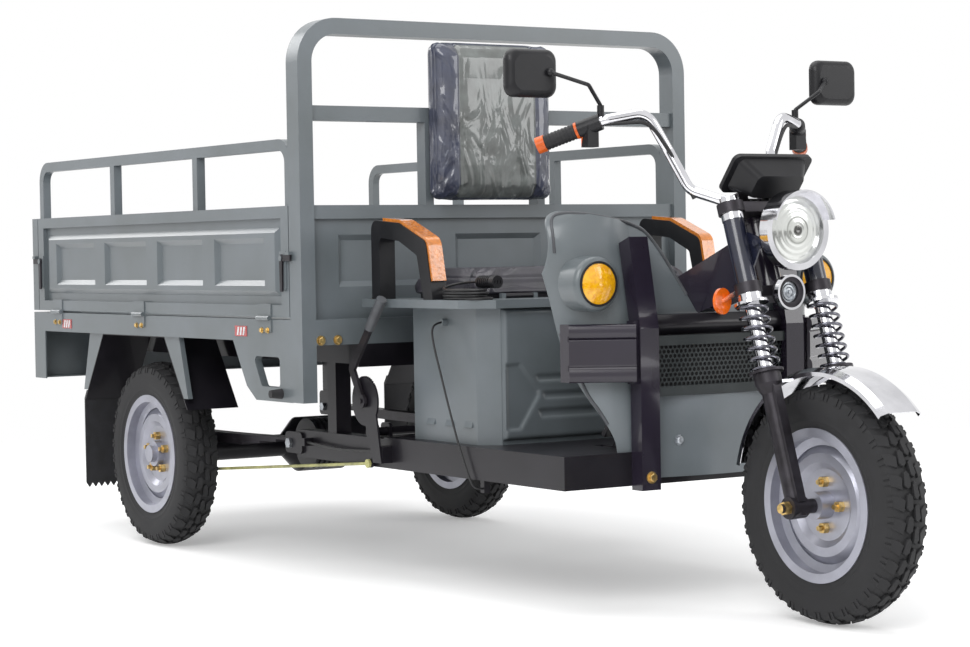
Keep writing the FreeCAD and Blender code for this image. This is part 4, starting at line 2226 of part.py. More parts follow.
def backrest():
    def level(depth, inset):
        half = pad_half_width - inset
        x = bar_front_x + depth
        corners = rectangle(backrest_centre_y - half, backrest_centre_y + half, pad_bottom + inset,
                            pad_bottom + pad_height - inset)
        return [V(x, y, z) for y, z in corners]

    board = Part.Face(rounded(level(0, pad_draw_in), pad_corner, True)).extrude(V(pad_board, 0, 0))
    soft = pad_thickness - pad_board
    pad = soft_block([level(pad_board, pad_draw_in), level(pad_board + soft / 3, 0),
                      level(pad_board + soft * 3 / 4, pad_draw_in),
                      level(pad_thickness, 4 * pad_draw_in)], pad_corner)
    return [board, pad]


parts["backrest_pad"] = backrest()


# Armrests with their marker lenses
armrest_top = seat_plate_top + armrest_height
armrest_bend = (behind(armrest_bend_setback), armrest_top - armrest_top_drop)
armrest_nose = (behind(armrest_nose_setback), armrest_top - armrest_nose_drop)
armrest_foot = (behind(armrest_front_setback), seat_plate_top)


def on_line(first, last, share):
    return (first[0] + (last[0] - first[0]) * share, first[1] + (last[1] - first[1]) * share)


def armrest():
    rear = behind(armrest_rear_setback)
    outer = [(rear, seat_plate_top), (rear, armrest_top), armrest_bend, armrest_nose, armrest_foot]
    inner_rear = rear + armrest_leg
    inner = [(inner_rear, seat_plate_top - overrun), (inner_rear, armrest_top - armrest_bar),
             (armrest_bend[0], armrest_bend[1] - armrest_bar),
             (armrest_nose[0] - armrest_leg, armrest_nose[1] - armrest_bar * 3 / 4),
             (armrest_foot[0] - armrest_leg, seat_plate_top - overrun)]
    inside = armrest_outer - armrest_width
    body = along_y(outer, -armrest_outer, -inside, [0, armrest_radius, armrest_radius, armrest_radius, 0])
    half_round = armrest_radius / 2
    hole = along_y(inner, -armrest_outer - overrun, -inside + overrun, [0, half_round, half_round, half_round, 0])
    return body.cut(hole)


def marker_lens():
    """A curved strip along the top and the front of the right armrest."""
    rear_corner = (behind(armrest_rear_setback), armrest_top)
    back_share = (armrest_rear_setback - lens_rear_setback) / (armrest_rear_setback - armrest_bend_setback)
    low_share = 1 - lens_front_foot / (armrest_height - armrest_nose_drop)
    line = [on_line(rear_corner, armrest_bend, back_share), armrest_bend, armrest_nose,
            on_line(armrest_nose, armrest_foot, low_share)]
    ways = []
    for first, last in zip(line, line[1:]):
        ways.append(V(last[0] - first[0], 0, last[1] - first[1]).normalize())
    normals = [V(-way.z, 0, way.x) for way in ways]
    raised = []
    for index, point in enumerate(line):
        near = normals[max(index - 1, 0)]
        far = normals[min(index, len(normals) - 1)]
        out = (near + far) * (lens_thickness / (1 + near.dot(far)))
        raised.append((point[0] + out.x, point[1] + out.z))
    outer_bend = armrest_radius + lens_thickness
    radii = [0, armrest_radius, armrest_radius, 0, 0, outer_bend, outer_bend, 0]
    inset = armrest_width * (1 - lens_width_share) / 2
    return along_y(line + raised[::-1], -armrest_outer + inset, -armrest_outer + armrest_width - inset, radii)


parts["armrests"] = pair(armrest())
parts["armrest_lenses"] = pair(marker_lens())


# Front shield: a lofted sheet trimmed to two lobes, with two lamp pods
def shield_section(index):
    height = floor_surface + shield_heights_share[index] * (shield_top - floor_surface)
    front, end = behind(shield_front_setbacks[index]), behind(shield_end_setbacks[index])
    near, far = shield_front_half_widths[index], shield_end_half_widths[index]

    def edges(back, side):
        """Points of one face from the right end to the left end."""
        right = [(end - back, -far + side),
                 (front - back + (end - front) * shield_bow_back_share,
                  -near - (far - near) * shield_bow_side_share + side),
                 (front - back, -near + side)]
        left = [(x, -y) for x, y in reversed(right)]
        return [V(x, y, height) for x, y in right + left]

    outer, inner = edges(0, 0), edges(shield_sheet, shield_sheet / 2)

    def face(points):
        return [Part.Arc(points[0], points[1], points[2]).toShape(), Part.makeLine(points[2], points[3]),
                Part.Arc(points[3], points[4], points[5]).toShape()]

    back = inner[::-1]
    return Part.Wire(face(outer) + [Part.makeLine(outer[-1], back[0])] + face(back)
                     + [Part.makeLine(back[-1], outer[0])])


def shield_outline():
    """The front view: two lobes with a notch for the neck between them."""
    side = seat_plate_half_width
    low = floor_surface - overrun
    edge = max(shield_end_half_widths) + overrun
    peak = shield_top + overrun
    right = [(-side, low), (-side, shield_notch_bottom), (-edge, shield_notch_bottom), (-edge, peak),
             (-shield_lobe_inner, shield_lobe_inner_top), (-shield_notch_half_width, shield_notch_bottom)]
    bends = [0, 0, 0, shield_lobe_corner, 2 * shield_lobe_corner, shield_notch_half_width / 2]
    left = [(-y, z) for y, z in reversed(right)]
    return along_x(right + left, behind(seat_plate_front_setback), front_axle_x, bends + bends[::-1])


def lamp_pod():
    """The right lamp pod as a body of revolution, and the seat of its lens."""
    front = behind(pod_front_setback)
    centre = V(front, -pod_half_spacing, pod_height)
    bend = pod_round * math.sqrt(1 / 2)
    wire = Part.Wire([
        Part.makeLine(V(0, 0, 0), V(-pod_depth, 0, 0)),
        Part.makeLine(V(-pod_depth, 0, 0), V(-pod_depth, pod_radius, 0)),
        Part.makeLine(V(-pod_depth, pod_radius, 0), V(-pod_round, pod_radius, 0)),
        Part.Arc(V(-pod_round, pod_radius, 0),
                 V(-pod_round + bend, pod_radius - pod_round + bend, 0),
                 V(0, pod_radius - pod_round, 0)).toShape(),
        Part.makeLine(V(0, pod_radius - pod_round, 0), V(0, 0, 0)),
    ])
    body = Part.Face(wire).revolve(ORIGIN, AXIS_X, whole_turn_deg)
    body.translate(centre)
    seat = rod(centre - V(pod_lens_recess, 0, 0), centre + V(overrun, 0, 0), pod_lens_radius)
    lens = domed(-pod_lens_recess, 0, pod_lens_dome, pod_lens_radius, centre)
    return body, seat, lens


def front_shield():
    sections = [shield_section(index) for index in range(len(shield_heights_share))]
    sheet = Part.makeLoft(sections, True, False).common(shield_outline())
    body, seat, lens = lamp_pod()
    trimmed = max(sheet.Solids, key=lambda solid: solid.Volume)
    shield = joined([trimmed] + pair(body)).cut(Part.Compound(pair(seat)))
    return shield, pair(lens)


shield_body, shield_lenses = front_shield()
parts["front_shield"] = [shield_body]
parts["shield_lamps"] = shield_lenses


# Bumper frame: posts, bars, apron, cover and ribbed wings; the grille sits between the bars
def bumper_post():
    front, rear = post_front_setback, post_front_setback + post_depth
    side = [(behind(front), post_bottom), (behind(front), post_knee), (behind(front + post_lean), post_top),
            (behind(rear + post_lean), post_top - post_top_slope),
            (behind(rear), post_knee), (behind(rear), post_bottom)]
    return along_y(side, -post_inner - post_width, -post_inner)


def wing():
    """The right wing: a swept channel with two grooves, bolted through a pair of flanges."""
    root = -post_inner - post_width
    start = root - 2 * wing_flange
    front = behind(post_front_setback)
    sweep = math.radians(wing_sweep_deg)
    back, side = wing_length * math.sin(sweep), wing_length * math.cos(sweep)
    plan = [(front, start), (front - wing_depth, start), (front - wing_depth - back, start - side),
            (front - back, start - side)]
    body = along_z(plan, wing_bottom, wing_bottom + wing_height)
    groove = [(front + overrun, start), (front - wing_groove, start), (front - wing_groove - back, start - side),
              (front + overrun - back, start - side)]
    band = wing_height * wing_groove_share
    for low in (wing_bottom + 2 * band, wing_bottom + wing_height - 3 * band):
        body = body.cut(along_z(groove, low, low + band))
    flanges = []
    for y1 in (root, root - wing_flange):
        flanges.append(block(front - wing_depth, front + wing_flange_depth - wing_depth, y1 - wing_flange, y1,
                             wing_bottom - wing_flange, wing_bottom + wing_height + wing_flange))
    return [joined([body, flanges[1]]), flanges[0]]


bar_span = rectangle(behind(post_front_setback + post_depth / 2 + grille_bar_depth / 2),
                     behind(post_front_setback + post_depth / 2 - grille_bar_depth / 2), -post_inner, post_inner)
upper_bar = along_z(bar_span, grille_top, grille_top + grille_bar_height)
lower_bar = along_z(bar_span, grille_bottom - grille_bar_height, grille_bottom)
apron_rear_x = behind(post_front_setback + post_depth)
apron = block(apron_rear_x, apron_rear_x + apron_sheet, -post_inner, post_inner, apron_bottom,
              grille_bottom - grille_bar_height)
grille_cover = block(apron_rear_x, apron_rear_x + apron_sheet, -post_inner, post_inner,
                     grille_top + grille_bar_height, grille_cover_top)
bumper_right = [bumper_post()] + wing()
parts["bumper_frame"] = [half for piece in bumper_right for half in pair(piece)]
parts["bumper_frame"] += [upper_bar, lower_bar, apron, grille_cover]


def grille():
    """A sheet with staggered rows of six-sided holes, one holed face made thick."""
    middle_x = behind(post_front_setback + post_depth / 2)
    corners = rectangle(-post_inner, post_inner, grille_bottom, grille_top)
    rim = Part.makePolygon([V(middle_x, y, z) for y, z in corners + corners[:1]])
    wires = [rim]
    corner = grille_hole_across / math.sqrt(3)
    rows = int((grille_top - grille_bottom - grille_hole_across) / grille_row)
    columns = int((2 * post_inner - 2 * grille_hole_across) / grille_pitch)
    for row in range(rows):
        shift = (row % 2) / 2
        z = (grille_top + grille_bottom) / 2 + (row - (rows - 1) / 2) * grille_row
        for column in range(columns - row % 2):
            y = (column - (columns - 1) / 2 + shift) * grille_pitch
            points = []
            for step in range(7):
                angle = math.radians(step * whole_turn_deg / 6)
                points.append(V(middle_x, y + corner * math.sin(angle), z + corner * math.cos(angle)))
            wires.append(Part.makePolygon(points))
    face = Part.Face(wires)
    face.validate()
    return face.extrude(V(grille_sheet, 0, 0))


parts["grille_mesh"] = [grille()]


# Cords, their clips and the loose bolts
def cord_tube(points, radius):
    """A tube along straight runs joined by arcs as large as the shorter run allows."""
    radii = [0]
    for before, point, after in zip(points, points[1:], points[2:]):
        turn = (point - before).getAngle(after - point)
        run = min((point - before).Length, (after - point).Length)
        radii.append(bend_reach_share * run / math.tan(turn / 2))
    wire = rounded(points, radii + [0], False)
    return swept(wire, radius, wire_sides)


def coil_curve(turn):
    """The charging lead's piled loops, clockwise, in and out again layer by layer."""
    total = lead_layers * lead_turns_per_layer
    layer_turn = turn / lead_turns_per_layer
    layer = min(int(layer_turn), lead_layers - 1)
    along = layer_turn - layer
    inward = along if layer % 2 == 0 else 1 - along
    step_in = lead_coil_step * lead_turns_per_layer * inward
    reach = lead_coil_half_width - step_in + lead_in * (1 - smooth(2 * turn))
    level = 0.0
    for step in range(1, lead_layers):
        level += smooth(2 * (turn - step * lead_turns_per_layer) + 1 / 2)
    rise = lead_layer * level + plug_climb * smooth(2 * (turn - total) + 1)
    angle = math.pi / 2 - turn * 2 * math.pi
    across = math.cos(angle)
    straight = (lead_coil_half_length - lead_coil_half_width) * (3 * across - across ** 3) / 2
    return V(lead_start_x + straight + reach * across, lead_coil_centre_y + reach * math.sin(angle),
             lead_axis_z + rise)


def smooth(share):
    """An S-shaped step from 0 to 1."""
    held = min(max(share, 0), 1)
    return held * held * (3 - 2 * held)


coil_turns = lead_layers * lead_turns_per_layer
plug_climb = lead_radius + running_gap * 2 + lead_plug_radius
lead_tube = wound(coil_curve, coil_turns, lead_radius, lead_tail)
parts["charge_lead"] = [lead_tube]
plug_start = coil_curve(coil_turns) + V(lead_tail, 0, 0)


def charge_plug():
    """A ribbed plug body with a flat three-slot face."""
    body = rod(plug_start, plug_start + V(lead_plug_length, 0, 0), lead_plug_radius)
    pitch = lead_plug_length * 2 / 3 / lead_plug_ribs
    for index in range(lead_plug_ribs):
        low = plug_start + V((index + 1) * pitch, 0, 0)
        body = body.cut(ring(low, low + V(pitch / 2, 0, 0), lead_plug_radius + overrun,
                             lead_plug_radius - lead_plug_rib_depth))
    face = plug_start + V(lead_plug_length, 0, 0)
    slot = lead_plug_rib_depth
    for y in (-lead_plug_radius / 2, 0, lead_plug_radius / 2):
        body = body.cut(block(face.x - 4 * slot, face.x + overrun, face.y + y - slot / 2, face.y + y + slot / 2,
                              face.z - 2 * slot, face.z + 2 * slot))
    return body


parts["charge_plug"] = [charge_plug()]
parts["seat_lead"] = [cord_tube([from_axle(p) for p in seat_lead_route], seat_lead_radius)]
parts["handbrake_cable"] = [cord_tube([from_axle(p) for p in handbrake_cable_route], cable_radius)]
lead_end = from_axle(seat_lead_route[-1])
lead_clip = block(lead_end.x - cable_clip_length / 2, lead_end.x + cable_clip_length / 2, lead_end.y,
                  lead_end.y + cable_clip_length, lead_end.z - cable_clip_half_height, floor_bottom)
cable_end = from_axle(handbrake_cable_route[-1])
cable_clip = block(cable_end.x - cable_clip_length, cable_end.x, cable_end.y - cable_clip_half_height,
                   -floor_half_width, cable_end.z - cable_clip_half_height, cable_end.z + cable_clip_half_height)
parts["chassis_frame"] += [lead_clip, cable_clip]


def eye_bolt(eye_x):
    """A bolt through a spring eye and its two cheeks, with a head and a nut."""
    outer = V(eye_x, -cheek_outer, leaf_eye_height)
    inner = V(eye_x, -cheek_inner, leaf_eye_height)
    way = V(0, 1, 0)
    head_across = leaf_eye_bolt_radius * 3
    head = hexagon(head_across, leaf_eye_bolt_radius, outer, way * -1)
    shank = rod(outer, inner + way * leaf_eye_bolt_radius, leaf_eye_bolt_radius)
    return joined([head, shank, hexagon(head_across, leaf_eye_bolt_radius, inner, way)])


apron_bolt_seat = V(apron_rear_x + apron_sheet, 0, (apron_bottom + grille_bottom - grille_bar_height) / 2)
apron_bolts = []
for side in (-1, 1):
    seat = apron_bolt_seat + V(0, side * post_inner * 2 / 3, 0)
    apron_bolts.append(hexagon(2 * bolt_head_radius, bolt_head_height, seat, AXIS_X))
eye_bolts = [half for eye_x in (leaf_front_x, leaf_rear_x) for half in pair(eye_bolt(eye_x))]
parts["chassis_bolts"] = eye_bolts + apron_bolts

# Every node is written as one file of separate solids
os.makedirs("parts", exist_ok=True)
for name, shapes in parts.items():
    Part.Compound(solids_of(shapes)).exportStep("parts/" + name + ".step")
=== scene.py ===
"""Dresses the cargo tricycle: finishes for the frame's pieces, and soft, wound and small pieces on it."""
import json
import math

import bmesh
import bpy
from mathutils import Matrix, Vector
from mathutils.bvhtree import BVHTree

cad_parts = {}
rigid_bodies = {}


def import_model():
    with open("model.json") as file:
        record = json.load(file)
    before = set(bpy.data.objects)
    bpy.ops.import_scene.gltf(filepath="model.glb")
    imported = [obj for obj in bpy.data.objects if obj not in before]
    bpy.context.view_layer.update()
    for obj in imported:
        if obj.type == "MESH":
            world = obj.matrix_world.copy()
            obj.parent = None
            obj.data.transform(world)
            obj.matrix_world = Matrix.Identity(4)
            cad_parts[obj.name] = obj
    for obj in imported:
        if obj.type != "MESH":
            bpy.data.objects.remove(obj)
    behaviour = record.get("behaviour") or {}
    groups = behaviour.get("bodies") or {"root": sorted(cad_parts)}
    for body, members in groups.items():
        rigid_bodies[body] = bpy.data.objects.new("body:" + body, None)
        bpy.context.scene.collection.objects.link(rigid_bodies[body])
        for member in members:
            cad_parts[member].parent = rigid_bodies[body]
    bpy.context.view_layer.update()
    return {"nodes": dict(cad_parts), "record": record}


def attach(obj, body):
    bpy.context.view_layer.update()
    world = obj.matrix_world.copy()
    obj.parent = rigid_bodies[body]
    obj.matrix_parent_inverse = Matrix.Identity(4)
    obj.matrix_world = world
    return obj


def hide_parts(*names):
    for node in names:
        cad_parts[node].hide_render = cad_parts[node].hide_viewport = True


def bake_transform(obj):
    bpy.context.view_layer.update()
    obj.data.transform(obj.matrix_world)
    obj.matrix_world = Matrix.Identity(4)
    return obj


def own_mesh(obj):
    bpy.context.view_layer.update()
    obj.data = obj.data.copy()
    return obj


bl_info = {
    "name": "Cargo Tricycle",
    "version": (1, 0, 0),
    "blender": (4, 5, 0),
    "location": "View3D > Sidebar > Tricycle",
    "description": "Finishes and soft pieces of an electric cargo tricycle",
    "category": "Object",
}

for spare_object in list(bpy.data.objects):
    bpy.data.objects.remove(spare_object)
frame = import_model()
nodes = frame["nodes"]
finishes = {}

# Places and sizes that the solids have, in millimetres
front_axle = (1364.5, 0.0, 260.0)
rear_axle_x = -915.5
right_wheel = (rear_axle_x, -500.0, 260.0)
left_wheel = (rear_axle_x, 500.0, 260.0)
fork_rake = math.radians(17.8)
fork_side = 100.0
spring_foot = 304.0
spring_length = 150.0
pan_top = 715.6
board_front = 100.8
grille_x = 985.0
grille_low = 508.0
grille_high = 600.0
horn_face = 1242.5
horn_height = 718.0
post_inner = 186.0
apron_x = 968.5
sheet_back = 1.0
box_front = 597.5
box_half = 342.0
box_low = 372.0
box_high = 684.0
box_wedge = [(-337.0, 393.0), (-295.0, 393.0), (-240.0, 474.0), (-240.0, 489.0), (-296.0, 556.0),
             (-337.0, 556.0)]
box_steps = ((257.0, 506.0, 527.0), (238.0, 464.0, 486.0), (250.0, 420.0, 445.0))
wing_low = 522.0
wing_high = 130.0
wing_inner = (1003.5, 250.0)
wing_outer = (919.6, 374.4)
apron_low = 301.0
apron_high = 184.0
apron_bow = 22.0
apron_skin = 2.0
cover_low = 623.0
cover_high = 46.0
cover_bow = 15.0
hinge_places = (-1418.8, -843.9, -93.3)
hinge_height = 628.0
headlight_height = 854.0
headlight_radius = 0.08
pod_setback = 404.0
pod_side = 319.0
pod_height = 742.0
reflector_starts = (-262.0, -1388.0)
reflector_low = 610.0
reflector_wide = 66.0
reflector_high = 27.0
bed_side = 599.0
seat_middle_x = 322.5
seat_seam = 756.0
back_middle_y = -45.0
back_middle_z = 1152.0
back_panel_half = 116.0
back_seam = 122.0
film_slack_low = 1.04
film_slack_high = 1.26
tyre_radius = 260.0
tread_radius = 257.0
coil_centre = (528.5, -396.0, 708.3)
coil_turns = 8
coil_outer = 38.0
coil_gather = 14.0
coil_lead_in = 12.0
coil_layer = 6.6
coil_lift = 18.6
coil_straight = 37.0
lens_facet = 9.0
glass_rib = 6.4
vinyl_grain = 2.6
far_ahead = 2000.0

# The view: focal length in millimetres, yaw, pitch and roll in degrees, and the place in metres
camera_lens = 88.30
camera_turns = (56.94031, 1.72614, -0.93104)
camera_place = (5.25969, -3.42122, 0.81758)


def metres(*point):
    """A point given in millimetres, in metres."""
    return Vector(point) / 1000.0


def from_axle(x, y, z):
    """A point by how far it lies forward of the front axle, in metres."""
    return metres(front_axle[0] + x, y, z)


def along_fork(x, y, rise):
    """A point of the raked fork: forward of its line, to the side, and up along it."""
    cosine = math.cos(fork_rake)
    sine = math.sin(fork_rake)
    return metres(front_axle[0] + x * cosine - rise * sine, y, front_axle[2] + rise * cosine + x * sine)


class TricycleColours(bpy.types.PropertyGroup):
    """Colours of the finishes, as sRGB hex values."""
    sheet_grey: bpy.props.StringProperty(name="Sheet grey",
                                         description="Gloss paint of bed, shield and seat box",
                                         default="#646B6F")
    frame_black: bpy.props.StringProperty(name="Frame black", description="Gloss paint of the chassis",
                                          default="#1B191E")
    post_black: bpy.props.StringProperty(name="Post black",
                                         description="Purple-black paint of posts and neck",
                                         default="#241F2B")
    cover_navy: bpy.props.StringProperty(name="Cover navy", description="Moulded fork covers and legs",
                                         default="#1D2030")
    wheel_silver: bpy.props.StringProperty(name="Wheel silver",
                                           description="Silver paint of the disc wheels", default="#9C9DA8")
    tyre_black: bpy.props.StringProperty(name="Tyre black", description="Rubber of the tyres",
                                         default="#1C1C1E")
    nut_gold: bpy.props.StringProperty(name="Nut gold", description="Yellow passivated zinc on nuts",
                                       default="#C2A56A")
    cap_orange: bpy.props.StringProperty(name="Cap orange", description="Grip rings and end caps",
                                         default="#D9601A")
    seat_dark: bpy.props.StringProperty(name="Seat dark", description="Vinyl of the seat cushion",
                                        default="#2E2C34")
    back_grey: bpy.props.StringProperty(name="Back grey", description="Middle panel of the backrest",
                                        default="#5E6260")
    floor_pale: bpy.props.StringProperty(name="Floor pale", description="Studio floor", default="#F4F4F4")


class TricycleSizes(bpy.types.PropertyGroup):
    """Sizes of the pieces made here."""
    tread_pitches: bpy.props.IntProperty(name="Tread pitches", description="Blocks round a tyre", default=34,
                                         min=12)
    tread_depth: bpy.props.FloatProperty(name="Tread depth", description="Height of the tread blocks",
                                         default=0.009, unit="LENGTH")
    spring_turns: bpy.props.FloatProperty(name="Spring turns", description="Turns of each fork spring",
                                          default=6.5)
    spring_wire: bpy.props.FloatProperty(name="Spring wire", description="Radius of the fork spring wire",
                                         default=0.0036, unit="LENGTH")
    spring_radius: bpy.props.FloatProperty(name="Spring radius",
                                           description="Radius of the fork springs at the wire",
                                           default=0.031, unit="LENGTH")
    mesh_pitch: bpy.props.FloatProperty(name="Mesh pitch", description="Spacing of the grille holes",
                                        default=0.0122, unit="LENGTH")
    mesh_hole: bpy.props.FloatProperty(name="Mesh hole", description="Radius of the grille holes",
                                       default=0.0046, unit="LENGTH")
    bolt_across: bpy.props.FloatProperty(name="Bolt across", description="Hex head across its flats",
                                         default=0.016, unit="LENGTH")
    bead_radius: bpy.props.FloatProperty(name="Bead radius", description="Rubber edging of the shield",
                                         default=0.004, unit="LENGTH")
    seat_swell: bpy.props.FloatProperty(name="Seat swell", description="Most that the seat foam swells",
                                        default=0.012, unit="LENGTH")
    back_swell: bpy.props.FloatProperty(name="Back swell", description="Most that the back foam swells",
                                        default=0.007, unit="LENGTH")


# Small tools

def linear(code):
    """An sRGB hex value as linear colour."""
    parts = [int(code[k:k + 2], 16) / 255 for k in (1, 3, 5)]
    return tuple(p / 12.92 if p <= 0.04045 else ((p + 0.055) / 1.055) ** 2.4 for p in parts) + (1.0,)


def tinted(code, share):
    """A hex value made lighter, or darker with a share below one."""
    parts = [min(255, round(int(code[k:k + 2], 16) * share)) for k in (1, 3, 5)]
    return "#%02X%02X%02X" % tuple(parts)


def add(tree, kind, settings=None, links=None):
    """A node with its settings and its links."""
    node = tree.nodes.new(kind)
    for key, value in (settings or {}).items():
        if key in node.inputs:
            node.inputs[key].default_value = value
        else:
            setattr(node, key, value)
    for key, source in (links or {}).items():
        tree.links.new(source, node.inputs[key])
    return node


def worked(tree, operation, first, second):
    """The result of a math node on two values, each a socket or a number."""
    node = add(tree, "ShaderNodeMath", {"operation": operation})
    for socket, value in zip(node.inputs, (first, second)):
        if isinstance(value, bpy.types.NodeSocket):
            tree.links.new(value, socket)
        else:
            socket.default_value = value
    return node.outputs[0]


def bumped(tree, shader, height, strength, distance):
    """A bump from a height pattern on a shader's normal."""
    bump = add(tree, "ShaderNodeBump", {"Strength": strength, "Distance": distance}, {"Height": height})
    tree.links.new(bump.outputs["Normal"], shader.inputs["Normal"])
    return bump


def per_metre(millimetres):
    """The scale that gives a noise pattern features of about that size."""
    return 1000.0 / millimetres


def surface(name, code, rough, metallic=0.0, coat=0.0, spread=0.12, patch=90.0, grain=1.5, depth=0.0,
            **sockets):
    """A finish with patches of tone and gloss, and a bump of a fine grain."""
    material = bpy.data.materials.new(name)
    material.use_nodes = True
    tree = material.node_tree
    shader = tree.nodes["Principled BSDF"]
    shader.inputs["Metallic"].default_value = metallic
    shader.inputs["Coat Weight"].default_value = coat
    shader.inputs["Coat Roughness"].default_value = 0.06
    for key, value in sockets.items():
        shader.inputs[key.replace("_", " ")].default_value = value
    place = add(tree, "ShaderNodeTexCoord").outputs["Object"]
    tone = add(tree, "ShaderNodeTexNoise", {"Scale": per_metre(patch), "Detail": 5.0}, {"Vector": place})
    ramp = add(tree, "ShaderNodeValToRGB", None, {"Fac": tone.outputs["Fac"]})
    for element, place_on, share in zip(ramp.color_ramp.elements, (0.34, 0.66), (1 - spread, 1 + spread)):
        element.position = place_on
        element.color = linear(tinted(code, share))
    tree.links.new(ramp.outputs["Color"], shader.inputs["Base Color"])
    fine = add(tree, "ShaderNodeTexNoise", {"Scale": per_metre(grain), "Detail": 3.0}, {"Vector": place})
    gloss = add(tree, "ShaderNodeMapRange", {"To Min": rough * 0.8, "To Max": min(1.0, rough * 1.25)},
                {"Value": tone.outputs["Fac"]})
    tree.links.new(gloss.outputs["Result"], shader.inputs["Roughness"])
    if depth:
        bumped(tree, shader, fine.outputs["Fac"], 0.6, depth / 1000.0)
    finishes[name] = material
    return tree, shader, place


def make_finishes(colours):
    """Every finish of the tricycle, named for what it is."""
    # Stoved gloss paint on pressed sheet: even colour, clear reflections, a faint orange peel
    surface("stoved_grey_paint", colours.sheet_grey, 0.36, coat=0.3, spread=0.06, patch=220.0, grain=5.0,
            depth=0.05,
            Coat_Roughness=0.18)
    # Thick black frame paint over welded tube: soft highlights, dust in random patches
    surface("black_frame_paint", colours.frame_black, 0.34, coat=0.12, spread=0.18, patch=120.0, grain=4.0,
            depth=0.08,
            Specular_IOR_Level=0.25)
    surface("purple_black_paint", colours.post_black, 0.22, coat=0.45, spread=0.04, patch=200.0, grain=6.0,
            depth=0.03,
            Specular_IOR_Level=0.35)
    surface("dark_grey_mesh_paint", "#2C3132", 0.34, coat=0.1, spread=0.08, patch=60.0, grain=2.0,
            depth=0.03,
            Specular_IOR_Level=0.3)
    # Silver wheel paint: metal flake, a little uneven
    surface("silver_wheel_paint", colours.wheel_silver, 0.34, metallic=0.55, coat=0.3, spread=0.06,
            patch=70.0, grain=0.8, depth=0.02)
    # Chrome plate: mirror bright, with faint smears
    surface("chrome_plate", "#D6D6DA", 0.09, metallic=1.0, spread=0.05, patch=60.0, grain=2.0, depth=0.004)
    # Black chrome on the fork coils: dark mirror with bright edges
    surface("black_chrome_plate", "#6A6A72", 0.13, metallic=1.0, spread=0.08, patch=30.0, grain=2.0,
            depth=0.004)
    # Yellow passivated zinc on nuts and bolts: satin gold with lighter and darker patches
    surface("yellow_zinc_plate", colours.nut_gold, 0.34, metallic=0.9, spread=0.2, patch=12.0, grain=1.2,
            depth=0.02)
    surface("bright_zinc_plate", "#A7ABB0", 0.38, metallic=0.9, spread=0.12, patch=14.0, grain=1.2,
            depth=0.02)
    # Dark worked steel of axle and springs: oil film and scale
    surface("dark_worked_steel", "#2A272C", 0.42, metallic=0.5, spread=0.25, patch=40.0, grain=2.5,
            depth=0.1)
    # Moulded ABS covers: deep navy, glossy, faint flow marks
    surface("navy_moulded_abs", colours.cover_navy, 0.24, coat=0.4, spread=0.1, patch=60.0, grain=3.0,
            depth=0.03)
    surface("black_moulded_abs", "#18181B", 0.4, spread=0.15, patch=50.0, grain=0.9, depth=0.06,
            Specular_IOR_Level=0.35)
    surface("grey_moulded_abs", "#4A4C50", 0.45, spread=0.1, patch=40.0, grain=1.0, depth=0.06)
    # Tyre rubber: matt black with grey bloom
    surface("tyre_rubber", colours.tyre_black, 0.72, spread=0.2, patch=30.0, grain=1.4, depth=0.12)
    surface("grip_rubber", "#17171A", 0.62, spread=0.15, patch=20.0, grain=0.9, depth=0.08)
    surface("flap_rubber", "#202023", 0.68, spread=0.2, patch=35.0, grain=1.6, depth=0.1)
    surface("cord_rubber", "#151517", 0.5, spread=0.15, patch=16.0, grain=0.9, depth=0.04)
    surface("orange_moulded_cap", colours.cap_orange, 0.34, spread=0.08, patch=20.0, grain=1.0, depth=0.03)
    surface("yellow_green_rod_paint", "#A8A66E", 0.4, spread=0.15, patch=30.0, grain=2.0, depth=0.04)
    surface("battery_case", "#2C3138", 0.5, spread=0.1, patch=60.0, grain=1.0, depth=0.05)
    # Lens acrylic: coloured through, with a clear gloss and moulded facets
    for name, code in (("amber_lens", "#CF7A26"), ("red_lens", "#A81A1A"), ("yellow_lens", "#FFB000"),
                       ("orange_reflector", "#EE6A12"), ("white_reflector", "#D8DADC")):
        tree, shader, place = surface(name, code, 0.14, coat=1.0, spread=0.08, patch=11.0)
        facet = add(tree, "ShaderNodeTexVoronoi", {"Scale": per_metre(lens_facet), "distance": "CHEBYCHEV"},
                    {"Vector": place})
        bumped(tree, shader, facet.outputs["Distance"], 0.45, 0.002)
    # Headlight glass over its bright bowl: silver through clear glass with pressed concentric ribs
    tree, shader, place = surface("ribbed_lamp_glass", "#DDE0E0", 0.12, metallic=0.55, coat=1.0, spread=0.05,
                                  patch=14.0)
    centre = add(tree, "ShaderNodeMapping", {"Location": tuple(-metres(0.0, 0.0, headlight_height))},
                 {"Vector": place})
    split = add(tree, "ShaderNodeSeparateXYZ", None, {"Vector": centre.outputs["Vector"]})
    flat = add(tree, "ShaderNodeCombineXYZ", None, {"Y": split.outputs["Y"], "Z": split.outputs["Z"]})
    rings = {"wave_type": "RINGS", "rings_direction": "SPHERICAL", "Scale": per_metre(glass_rib) / 6.28}
    rib = add(tree, "ShaderNodeTexWave", rings, {"Vector": flat.outputs["Vector"]})
    bumped(tree, shader, rib.outputs["Fac"], 0.7, 0.0012)
    reach = add(tree, "ShaderNodeVectorMath", {"operation": "LENGTH"})
    tree.links.new(flat.outputs["Vector"], reach.inputs[0])
    share = add(tree, "ShaderNodeMapRange", {"From Max": headlight_radius},
                {"Value": reach.outputs["Value"]})
    zones = add(tree, "ShaderNodeValToRGB", None, {"Fac": share.outputs["Result"]})
